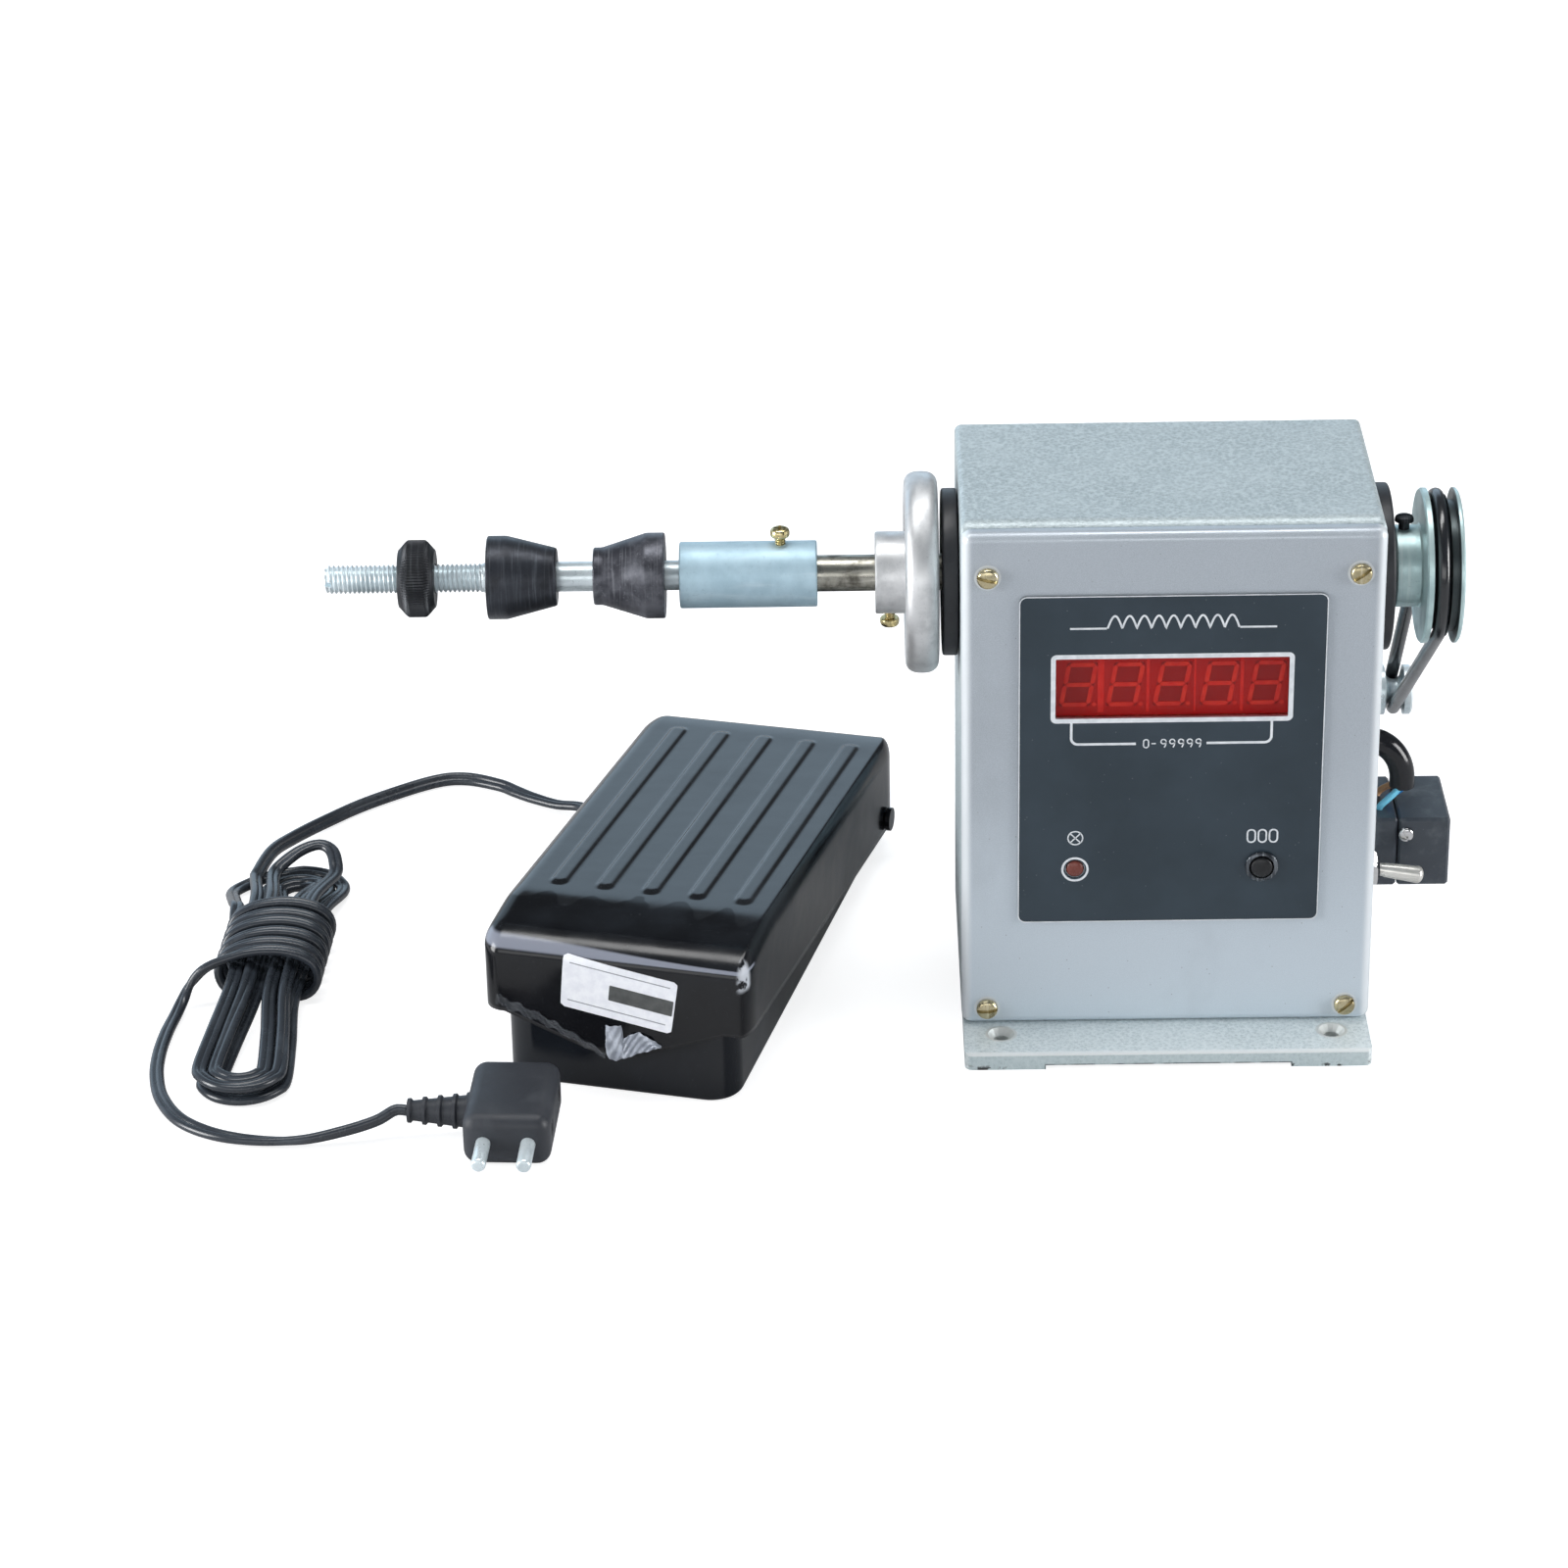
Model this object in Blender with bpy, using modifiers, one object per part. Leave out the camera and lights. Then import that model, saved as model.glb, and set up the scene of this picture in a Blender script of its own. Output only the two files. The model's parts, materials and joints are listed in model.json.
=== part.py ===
"""Electric wire coil winding machine with its foot pedal and pedal cord.

X runs along the winding spindle, +Y points away from the operator and +Z is up.
The origin is the middle of the base plate's underside. All sizes are in metres.
"""
import math

import bmesh
import bpy
import numpy as np
from mathutils import Matrix, Vector

# Clearances and overruns shared by the whole machine
FIT_GAP = 0.0003
RUN_GAP = 0.0003
CUT_OVERRUN = 0.002
MERGE_DISTANCE = 0.00002
SHARP_ANGLE = math.radians(35.0)

# Facets of round pieces
FINE_STEPS = 30
ROUND_STEPS = 24
SMALL_STEPS = 14
TINY_STEPS = 10
NUT_SIDES = 6

# Base plate
BASE_WIDTH = 0.1118
BASE_DEPTH = 0.174
BASE_THICKNESS = 0.005
BASE_CORNER = 0.002
BASE_FRONT_LIP = 0.0162
BASE_WIDE_MARGIN = 0.0014
BASE_TONGUE_WIDTH = 0.084
BASE_HOLE_R = 0.0022
BASE_HOLE_SINK_R = 0.0037
BASE_HOLE_SINK_DEPTH = 0.0018
BASE_HOLE_X = 0.0456
BASE_HOLE_INSET = 0.0112
BASE_RELIEF_WIDTH = 0.0674
BASE_RELIEF_DEPTH = 0.012
BASE_RELIEF_HEIGHT = 0.0013

# Housing and front cover
HOUSING_WIDTH = 0.11265
HOUSING_DEPTH = 0.078
HOUSING_TOP = 0.1533
SHEET = 0.0012
HOUSING_BEND = 0.0018
COVER_DEPTH = 0.0045
COVER_BEND = 0.0026
COVER_SCREW_X = 0.0494
COVER_SCREW_TOP_DROP = 0.0122
COVER_SCREW_LOW_RISE = 0.0051
TAB_SIZE = 0.0112
TAB_THICKNESS = 0.003
TAB_WELD = 0.0006

# Pan-head screws
SCREW_HEAD_R = 0.0029
SCREW_HEAD_HEIGHT = 0.0019
SCREW_SHANK_R = 0.0015
SCREW_SLOT_WIDTH = 0.0008
SCREW_SLOT_DEPTH = 0.0008
SCREW_DOME_SHARE = 0.45

# Counter panel
OVERLAY_WIDTH = 0.082
OVERLAY_HEIGHT = 0.098
OVERLAY_CENTRE_Z = 0.0866
OVERLAY_THICKNESS = 0.0004
OVERLAY_CORNER = 0.002
WINDOW_WIDTH = 0.062
WINDOW_HEIGHT = 0.0178
WINDOW_CENTRE_Z = 0.1084
WINDOW_THICKNESS = 0.0018
DISPLAY_WIDTH = 0.063
DISPLAY_HEIGHT = 0.019
DISPLAY_THICKNESS = 0.0078
BOARD_WIDTH = 0.082
BOARD_HEIGHT = 0.084
BOARD_CENTRE_Z = 0.084
BOARD_THICKNESS = 0.0016
STUD_LENGTH = 0.0094
STUD_R = 0.0025
STUD_INSET = 0.005
LED_X = -0.0255
LED_Z = 0.0539
LED_R = 0.0025
LED_PROUD = 0.0012
LED_COLLAR_R = 0.0031
LED_COLLAR_HEIGHT = 0.001
BUTTON_X = 0.0253
BUTTON_Z = 0.0543
BUTTON_R = 0.003
BUTTON_PROUD = 0.0026
BUTTON_LENGTH = 0.0068
BUTTON_TRAVEL = 0.0015
BUTTON_EDGE = 0.0005
BUSH_R = 0.0039
BUSH_LIP_R = 0.0045
BUSH_LIP_HEIGHT = 0.0009
SWITCH_R = 0.0062

# Spindle line
SPINDLE_Y = -0.0318
SPINDLE_Z = 0.1255
SHAFT_R = 0.005
SHAFT_RIGHT_X = 0.0812
ROD_R = 0.0041
THREAD_R = 0.00385
THREAD_ROOT_R = 0.003
ARBOR_LEFT_X = -0.2296
THREAD_END_X = -0.1862
ARBOR_CHAMFER = 0.0009
ARBOR_SLOT_WIDTH = 0.0012
ARBOR_SLOT_DEPTH = 0.0018

# Bearing housings on both walls
FLANGE_R = 0.0229
FLANGE_THICKNESS = 0.0043
FLANGE_CHAMFER = 0.0006
SPIGOT_R = 0.0162
SPIGOT_LENGTH = 0.0112
BEARING_R = 0.013
BEARING_WIDTH = 0.008
BEARING_LIP = 0.0012
BEARING_SHOULDER_R = 0.0108

# Handwheel
WHEEL_HUB_LEFT_X = -0.079
WHEEL_HUB_R = 0.01125
WHEEL_HUB_CHAMFER = 0.0008
WHEEL_RIM_LEFT_X = -0.071
WHEEL_RIM_WIDTH = 0.0092
WHEEL_RIM_R = 0.0276
WHEEL_RIM_INNER_R = 0.0198
WHEEL_WEB_THICKNESS = 0.0042
RIM_POINTS = 10
RIM_SWEEP_SHARE = 0.63
WHEEL_SCREW_X = -0.0751

# Coupling sleeve
SLEEVE_LEFT_X = -0.1324
SLEEVE_RIGHT_X = -0.0948
SLEEVE_R = 0.0091
SLEEVE_CHAMFER = 0.0006
SLEEVE_STEP_X = -0.1136
SLEEVE_SCREW_X = -0.1048

# Clamping screws that stand proud of the sleeve and the hubs
CLAMP_HEAD_R = 0.00265
CLAMP_HEAD_HEIGHT = 0.0025
CLAMP_PROUD = 0.0024

# Clamping cones and knurled nut
LEFT_CONE_X = -0.1858
LEFT_CONE_BIG_R = 0.01145
LEFT_CONE_BAND = 0.0061
LEFT_CONE_LENGTH = 0.0198
LEFT_CONE_SMALL_R = 0.0079
RIGHT_CONE_X = -0.156
RIGHT_CONE_SMALL_R = 0.0079
RIGHT_CONE_NOSE = 0.0024
RIGHT_CONE_BAND = 0.0051
RIGHT_CONE_LENGTH = 0.0196
RIGHT_CONE_BIG_R = 0.01175
CONE_CHAMFER = 0.0006
NUT_LEFT_X = -0.2105
NUT_LENGTH = 0.0115
NUT_KNURL_R = 0.0106
NUT_SHOULDER_R = 0.008
NUT_SHOULDER_LENGTH = 0.0018
NUT_TAPER_LENGTH = 0.0006

# Drive pulley on the spindle, belt and motor pulley
PULLEY_HUB_LEFT_X = 0.0622
PULLEY_HUB_R = 0.01125
PULLEY_RIM_LEFT_X = 0.0695
PULLEY_RIM_RIGHT_X = 0.0798
PULLEY_RIM_R = 0.02125
PULLEY_SCREW_X = 0.065
PULLEY_SCREW_PROUD = 0.0022
PULLEY_SCREW_HEAD_R = 0.0026
PULLEY_SCREW_HEAD_HEIGHT = 0.0018
BELT_X = 0.0741
BELT_R = 0.0019
BELT_PITCH_R = 0.0193
BELT_ARC_POINTS = 22
BELT_SMALL_ARC_POINTS = 10
BELT_SIDE_POINTS = 4
BELT_SEAT_GAP = 0.0004
GROOVE_FLOOR_HALF = 0.0016
GROOVE_MOUTH_HALF = 0.0031
MOTOR_PITCH_R = 0.0054
MOTOR_PULLEY_R = 0.0074
MOTOR_PULLEY_WIDTH = 0.0104

# Motor behind the housing
MOTOR_CLEARANCE = 0.011
MOTOR_Z = 0.049
MOTOR_R = 0.031
MOTOR_LEFT_X = -0.0358
MOTOR_LENGTH = 0.073
MOTOR_CAP_LENGTH = 0.013
MOTOR_CAP_NOSE_R = 0.014
MOTOR_CAP_NOSE_LENGTH = 0.004
MOTOR_CAP_ROUND = 0.004
MOTOR_SHAFT_R = 0.002
MOTOR_SHAFT_TAIL = 0.0015
MOTOR_SHAFT_NOSE = 0.0006
CRADLE_LENGTH = 0.056
CRADLE_WIDTH = 0.05
CRADLE_RISE = 0.013

# Turn counter inside the housing
DISC_X = 0.006
DISC_HUB_R = 0.008
DISC_HUB_LENGTH = 0.009
DISC_R = 0.0145
DISC_THICKNESS = 0.002
SENSOR_WIDTH = 0.008
SENSOR_HEIGHT = 0.012
SENSOR_CLEARANCE = 0.0009

# Toggle switch on the right wall
TOGGLE_Y = -0.0598
TOGGLE_Z = 0.047
TOGGLE_BODY_LENGTH = 0.0125
TOGGLE_BODY_WIDTH = 0.0078
TOGGLE_BODY_HEIGHT = 0.013
TOGGLE_BUSH_R = 0.0033
TOGGLE_BUSH_PROUD = 0.0024
TOGGLE_MOUTH_R = 0.0028
TOGGLE_WELL_DEPTH = 0.0052
TOGGLE_NUT_R = 0.0052
TOGGLE_NUT_THICKNESS = 0.0014
TOGGLE_PIVOT_SINK = 0.0018
TOGGLE_NECK_R = 0.0017
TOGGLE_ROOT_R = 0.0021
TOGGLE_SWELL_R = 0.0023
TOGGLE_TIP_SHARE = 0.87
TOGGLE_LEVER_LENGTH = 0.0143
TOGGLE_LEVER_TAIL = 0.0016
TOGGLE_NECK_LENGTH = 0.003
TOGGLE_TILT = math.radians(10.0)

# Two-part socket block on the right wall
SOCKET_FRONT_Y = -0.0508
SOCKET_DEPTH = 0.027
SOCKET_LOW_Z = 0.0366
SOCKET_HEIGHT = 0.0208
SOCKET_INNER_WIDTH = 0.008
SOCKET_OUTER_WIDTH = 0.0142
SOCKET_EDGE = 0.0007
SOCKET_HOLE_SPARE = 0.001
SOCKET_SCREW_R = 0.0021
SOCKET_SCREW_HEAD = 0.0012
SOCKET_SCREW_SHANK_R = 0.0011
SOCKET_SCREW_LENGTH = 0.006
SOCKET_SCREW_INSET = 0.002
SOCKET_SCREW_DROP = 0.0046

# Lead that leaves the right wall in a sleeve
GROMMET_Y = -0.0408
GROMMET_Z = 0.077
GROMMET_R = 0.0052
GROMMET_NECK_R = 0.0044
GROMMET_LIP = 0.0014
LEAD_SLEEVE_R = 0.0035
LEAD_SLEEVE_INSIDE = 0.004
LEAD_SLEEVE_OUT = 0.0101
LEAD_SLEEVE_DROP = 0.0122
LEAD_SLEEVE_TAIL = 0.002
LEAD_SLEEVE_POINTS = 13
WIRE_R = 0.0008
WIRE_RING_R = 0.0015
WIRE_COUNT = 3
WIRE_TURN = math.radians(240.0)
WIRE_SWEEP = 0.0056
WIRE_SPREAD = 0.0042
WIRE_BOW = 0.0016
WIRE_POINTS = 8

# Foot pedal: its own frame has +X across and +Y towards the hinge
PEDAL_X = -0.1507
PEDAL_Y = -0.0966
PEDAL_TURN = math.radians(-14.5)
TRAY_WIDTH = 0.0658
TRAY_LENGTH = 0.157
TRAY_HEIGHT = 0.024
TRAY_CORNER = 0.009
PEDAL_SHEET = 0.0012
PAN_OVERHANG = 0.0051
PAN_NEAR_OVERHANG = 0.003
PAN_FAR_OVERHANG = 0.0074
PAN_NEAR_HEIGHT = 0.0455
PAN_CROWN_HEIGHT = 0.0478
PAN_CROWN_Y = 0.02
PAN_SLOPE_END_INSET = 0.003
PAN_SLOPE_END_HEIGHT = 0.0362
PAN_FAR_HEIGHT = 0.0345
PAN_SKIRT_NEAR_Z = 0.0232
PAN_SKIRT_FAR_Z = 0.0075
PAN_SHOULDER_SHARE = 0.62
PAN_SHOULDER_Y = 0.0067
PAN_EDGE = 0.0052
TONGUE_HALF_WIDTH = 0.031
TONGUE_TIP_Z = 0.0112
RIB_COUNT = 5
RIB_PITCH = 0.0126
RIB_WIDTH = 0.0052
RIB_RISE = 0.0012
RIB_SINK = 0.0006
RIB_NEAR_Y = 0.028
RIB_FAR_INSET = 0.007
HINGE_INSET = 0.0055
HINGE_Z = 0.0125
HINGE_PIN_R = 0.002
HINGE_HEAD_R = 0.0035
HINGE_HEAD_HEIGHT = 0.0014
SPRING_Y = 0.03
SPRING_R = 0.007
SPRING_WIRE_R = 0.0008
SPRING_TURNS = 7
SPRING_POINTS_PER_TURN = 8
SPRING_SEAT_GAP = 0.0009
CONTROLLER_WIDTH = 0.046
CONTROLLER_LENGTH = 0.058
CONTROLLER_HEIGHT = 0.019
CONTROLLER_Y = 0.085
CONTROLLER_EDGE = 0.0015
CORD_EXIT_INSET = 0.017
CORD_EXIT_Z = 0.0049
CORD_BUSH_R = 0.0028
CORD_BUSH_LIP_R = 0.0036
CORD_BUSH_LIP = 0.0013

# Pedal cord, its hank and its connector
CORD_R = 0.0016
CORD_TUBE_STEPS = 2
HANK_TUBE_STEPS = 1
CORD_STEP = 0.008
# The first points of the lead are measured from the cord bush, in the pedal's own frame
CORD_LEAD_START = [
    (-0.00957, 0.00126, 0.0048),
    (-0.01720, 0.00838, 0.0046),
    (-0.02399, 0.01468, 0.0038),
    (-0.03245, 0.01704, 0.0025),
]
CORD_LEAD_ROUTE = [
    (-0.1838, 0.0776, 0.0018),
    (-0.1892, 0.0820, 0.0018),
    (-0.1948, 0.0867, 0.0018),
    (-0.2056, 0.0912, 0.0018),
    (-0.2160, 0.0889, 0.0018),
    (-0.2335, 0.0760, 0.0020),
    (-0.2452, 0.0640, 0.0023),
    (-0.2545, 0.0500, 0.0036),
    (-0.2595, 0.0375, 0.0054),
]
CORD_TAIL_ROUTE = [
    (-0.2690, -0.0438, 0.0114),
    (-0.2738, -0.0450, 0.0068),
    (-0.2760, -0.0484, 0.0033),
    (-0.2774, -0.0545, 0.0019),
    (-0.2787, -0.0640, 0.0018),
    (-0.2793, -0.0760, 0.0018),
    (-0.2785, -0.0880, 0.0018),
    (-0.2755, -0.1005, 0.0018),
    (-0.2690, -0.1120, 0.0018),
    (-0.2590, -0.1195, 0.0018),
    (-0.2470, -0.1232, 0.0019),
    (-0.2350, -0.1240, 0.0024),
    (-0.2240, -0.1225, 0.0040),
    (-0.2150, -0.1205, 0.0060),
]
HANK_X = -0.2517
HANK_Y = -0.0288
HANK_TURN = math.radians(-2.5)
HANK_LOOPS = 4
HANK_LOOP_POINTS = 24
HANK_ARC_SHARE = 0.13
HANK_TOP_A = 0.047
HANK_BOTTOM_A = -0.062
HANK_WAIST_HALF = 0.0034
HANK_END_HALF = 0.0068
HANK_STEP = 0.0043
HANK_LAYER = 0.004
HANK_END_Z = 0.0019
HANK_WAIST_Z = 0.00575
HANK_FIRST_RING = 1.5
HANK_CLIMB_POWER = 1.5
WRAP_TOP_A = 0.018
WRAP_PITCH = 0.0058
WRAP_TURNS = 5.85
WRAP_HALF_WIDTH = 0.0144
WRAP_HALF_HEIGHT = 0.00605
WRAP_ARC_POINTS = 24
WAIST_MARGIN = 0.007
RETURN_OUT = 0.0045
RETURN_RISE = 0.0012
# Knots of the lead back from the last loop to the wraps, as pairs of shares. In the first pair both
# are of the loop's half width, aside and past its end. In the others the first is of the rise up to
# the wraps, half of it for the second knot, and the other is of the way from the wraps to the loop's end.
RETURN_SHARES = ((0.75, 0.76), (0.06, 1.02), (0.80, 0.50), (1.00, 0.22))
LEAST_CORD_GAP = 0.0004
PLUG_BOOT_X = -0.2065
PLUG_BOOT_Y = -0.1186
PLUG_TURN = math.radians(-3.0)
PLUG_AXIS_Z = 0.008
PLUG_DEPTH = 0.0235
PLUG_LENGTH = 0.033
PLUG_HEIGHT = 0.015
PLUG_EDGE = 0.0038
PLUG_PIN_R = 0.002
PLUG_PIN_PITCH = 0.012
PLUG_PIN_LENGTH = 0.0118
PLUG_PIN_EDGE = 0.0006
BOOT_LENGTH = 0.0165
BOOT_BIG_R = 0.0052
BOOT_SMALL_R = 0.0033
BOOT_RINGS = 4
BOOT_GROOVE = 0.0006
BOOT_RING_SHARES = ((0.15, 0.0), (0.5, 0.0), (0.55, 1.0), (0.9, 1.0))

FRONT_Y = -BASE_DEPTH / 2.0 + BASE_FRONT_LIP
BACK_Y = FRONT_Y + HOUSING_DEPTH
MOTOR_Y = BACK_Y + MOTOR_CLEARANCE + MOTOR_R
WALL_X = HOUSING_WIDTH / 2.0
HOUSING_LOW_Z = BASE_THICKNESS + FIT_GAP
RIM_Y = FRONT_Y + COVER_DEPTH + FIT_GAP
BOARD_FRONT_Y = FRONT_Y + SHEET + STUD_LENGTH + FIT_GAP
PAN_SLOPE_END_Y = TRAY_LENGTH - PAN_SLOPE_END_INSET
RIB_FAR_Y = TRAY_LENGTH - RIB_FAR_INSET
HINGE_Y = TRAY_LENGTH - HINGE_INSET
CORD_EXIT_Y = TRAY_LENGTH - CORD_EXIT_INSET
ALONG_X = (0.0, math.pi / 2.0, 0.0)
ALONG_Y = (-math.pi / 2.0, 0.0, 0.0)

PARTS_NAME = "wire_coil_winding_machine"
CUTTERS_NAME = "cutters"


def clear_scene():
    """Remove every object and make the two collections."""
    for item in list(bpy.data.objects):
        bpy.data.objects.remove(item, do_unlink=True)
    for name in (PARTS_NAME, CUTTERS_NAME):
        group = bpy.data.collections.new(name)
        bpy.context.scene.collection.children.link(group)


def material(name, colour, roughness, metallic=0.0):
    """A Principled material with one colour."""
    made = bpy.data.materials.new(name)
    made.use_nodes = True
    shader = made.node_tree.nodes["Principled BSDF"]
    shader.inputs["Base Color"].default_value = (*colour, 1.0)
    shader.inputs["Roughness"].default_value = roughness
    shader.inputs["Metallic"].default_value = metallic
    return made


def link(item, colour, place=(0.0, 0.0, 0.0), turn=(0.0, 0.0, 0.0), parent=None):
    """Give a part its material, its place and its collection."""
    item.data.materials.append(colour)
    item.location = place
    item.rotation_euler = turn
    item.parent = parent
    bpy.data.collections[PARTS_NAME].objects.link(item)
    return item


def as_cutter(item, place=(0.0, 0.0, 0.0), turn=(0.0, 0.0, 0.0), parent=None):
    """Put a shape among the cutters, hidden from renders."""
    item.location = place
    item.rotation_euler = turn
    item.parent = parent
    item.hide_render = True
    item.display_type = "WIRE"
    bpy.data.collections[CUTTERS_NAME].objects.link(item)
    return item


def combine(item, other, operation):
    """Cut a shape out of a part or join one to it."""
    step = item.modifiers.new(operation.lower(), "BOOLEAN")
    step.operation = operation
    step.solver = "EXACT"
    step.object = other
    return item


def soften(mesh):
    """Shade a mesh smooth except at its real corners."""
    mesh.shade_smooth()
    mesh.set_sharp_from_angle(angle=SHARP_ANGLE)


def mesh_from(name, build):
    """Fill a new mesh with what a bmesh function builds."""
    work = bmesh.new()
    build(work)
    mesh = bpy.data.meshes.new(name)
    work.to_mesh(mesh)
    work.free()
    return mesh


def box_object(name, size, centre, edge=0.0, segments=2):
    """A box primitive of a given size, with rounded edges if asked."""
    def build(work):
        bmesh.ops.create_cube(work, size=1.0)
        bmesh.ops.scale(work, vec=Vector(size), verts=work.verts)
        bmesh.ops.translate(work, vec=Vector(centre), verts=work.verts)
    item = bpy.data.objects.new(name, mesh_from(name, build))
    if edge > 0.0:
        round_edges(item, edge, segments)
    return item


def round_edges(item, width, segments=2):
    """Round a part's sharp edges with a Bevel."""
    bevel = item.modifiers.new("round", "BEVEL")
    bevel.width = width
    bevel.segments = segments
    bevel.limit_method = "ANGLE"
    bevel.angle_limit = SHARP_ANGLE


def rod_object(name, radius, low, high, steps=SMALL_STEPS, top_radius=None):
    """A cylinder or cone primitive along Z, from low to high."""
    length = high - low

    def build(work):
        bmesh.ops.create_cone(work, cap_ends=True, segments=steps, radius1=radius,
                              radius2=radius if top_radius is None else top_radius, depth=length)
        bmesh.ops.translate(work, vec=Vector((0.0, 0.0, (low + high) / 2.0)), verts=work.verts)
    return bpy.data.objects.new(name, mesh_from(name, build))


def turned_object(name, outer, bore=None, steps=ROUND_STEPS):
    """A turned part about Z from (station, radius) lists in rising order of station."""
    down = [(radius, station) for station, radius in reversed(outer)]
    if bore:
        profile = down + [(radius, station) for station, radius in bore]
    else:
        profile = [(0.0, outer[-1][0])] + down + [(0.0, outer[0][0])]

    def build(work):
        corners = [work.verts.new((radius, 0.0, station)) for radius, station in profile]
        for first, second in zip(corners, corners[1:]):
            work.edges.new((first, second))
        if bore:
            work.edges.new((corners[-1], corners[0]))
    item = bpy.data.objects.new(name, mesh_from(name, build))
    screw = item.modifiers.new("turn", "SCREW")
    screw.axis = "Z"
    screw.angle = 2.0 * math.pi
    screw.steps = steps
    screw.render_steps = steps
    screw.use_merge_vertices = True
    screw.merge_threshold = MERGE_DISTANCE
    screw.use_smooth_shade = True
    return item


def frozen(item):
    """Turn a curve or a part with modifiers into a plain welded mesh object."""
    scene = bpy.context.scene.collection
    scene.objects.link(item)
    bpy.context.view_layer.update()
    mesh = bpy.data.meshes.new_from_object(item.evaluated_get(bpy.context.evaluated_depsgraph_get()))
    name = item.name
    scene.objects.unlink(item)
    bpy.data.objects.remove(item)
    work = bmesh.new()
    work.from_mesh(mesh)
    bmesh.ops.remove_doubles(work, verts=work.verts, dist=MERGE_DISTANCE)
    work.to_mesh(mesh)
    work.free()
    mesh.materials.clear()
    return bpy.data.objects.new(name, mesh)


def rounded_outline(width, height, corner, segments=4):
    """Corner points of a rounded rectangle about the origin."""
    points = []
    for quarter in range(4):
        middle = math.pi / 4.0 + quarter * math.pi / 2.0
        centre = ((width / 2.0 - corner) * math.copysign(1.0, math.cos(middle)),
                  (height / 2.0 - corner) * math.copysign(1.0, math.sin(middle)))
        for step in range(segments + 1):
            angle = quarter * math.pi / 2.0 + step * math.pi / 2.0 / segments
            points.append((centre[0] + corner * math.cos(angle), centre[1] + corner * math.sin(angle)))
    return points


def circle_outline(radius, centre=(0.0, 0.0), steps=SMALL_STEPS):
    """Points of a circle."""
    angles = [2.0 * math.pi * step / steps for step in range(steps)]
    return [(centre[0] + radius * math.cos(angle), centre[1] + radius * math.sin(angle)) for angle in angles]


def plate_object(name, outlines, thickness):
    """A flat plate from closed outlines in XY, centred on Z; inner outlines are holes."""
    curve = bpy.data.curves.new(name, "CURVE")
    curve.dimensions = "2D"
    curve.fill_mode = "BOTH"
    curve.extrude = thickness / 2.0
    for outline in outlines:
        spline = curve.splines.new("POLY")
        spline.points.add(len(outline) - 1)
        for point, (across, up) in zip(spline.points, outline):
            point.co = (across, up, 0.0, 1.0)
        spline.use_cyclic_u = True
    return frozen(bpy.data.objects.new(name, curve))


def tube_object(name, points, radius, level, closed=False):
    """A round tube along a list of points."""
    curve = bpy.data.curves.new(name, "CURVE")
    curve.dimensions = "3D"
    curve.bevel_depth = radius
    curve.bevel_resolution = level
    curve.use_fill_caps = not closed
    spline = curve.splines.new("POLY")
    spline.points.add(len(points) - 1)
    for point, place in zip(spline.points, points):
        point.co = (*place, 1.0)
    spline.use_cyclic_u = closed
    return bpy.data.objects.new(name, curve)


def smooth_route(points, step):
    """Points at an even step along a smooth curve through the given points."""
    knots = np.array(points, dtype=float)
    ends = np.vstack([2.0 * knots[0] - knots[1], knots, 2.0 * knots[-1] - knots[-2]])
    share = np.linspace(0.0, 1.0, 24, endpoint=False)[:, None]
    runs = []
    for index in range(len(knots) - 1):
        before, first, second, after = ends[index:index + 4]
        runs.append(0.5 * (2.0 * first + (second - before) * share
                           + (2.0 * before - 5.0 * first + 4.0 * second - after) * share ** 2
                           + (3.0 * first - before - 3.0 * second + after) * share ** 3))
    dense = np.vstack(runs + [knots[-1:]])
    lengths = np.concatenate([[0.0], np.cumsum(np.linalg.norm(np.diff(dense, axis=0), axis=1))])
    count = max(2, int(round(lengths[-1] / step)) + 1)
    wanted = np.linspace(0.0, lengths[-1], count)
    return np.stack([np.interp(wanted, lengths, dense[:, axis]) for axis in range(3)], axis=1)


def path_length(points):
    """Length of a line of points."""
    return float(np.sum(np.linalg.norm(np.diff(np.array(points), axis=0), axis=1)))


def base_outline():
    """Outline of the base plate: full width under the housing, narrower under the motor."""
    step = BACK_Y + BASE_WIDE_MARGIN
    rear = rounded_outline(BASE_TONGUE_WIDTH, BASE_DEPTH, BASE_CORNER, 3)
    front = rounded_outline(BASE_WIDTH, BASE_DEPTH, BASE_CORNER, 3)
    half, tongue = BASE_WIDTH / 2.0, BASE_TONGUE_WIDTH / 2.0
    return ([(half, step), (tongue, step)] + [point for point in rear if point[1] > step]
            + [(-tongue, step), (-half, step)] + [point for point in front if point[1] < step])


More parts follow.
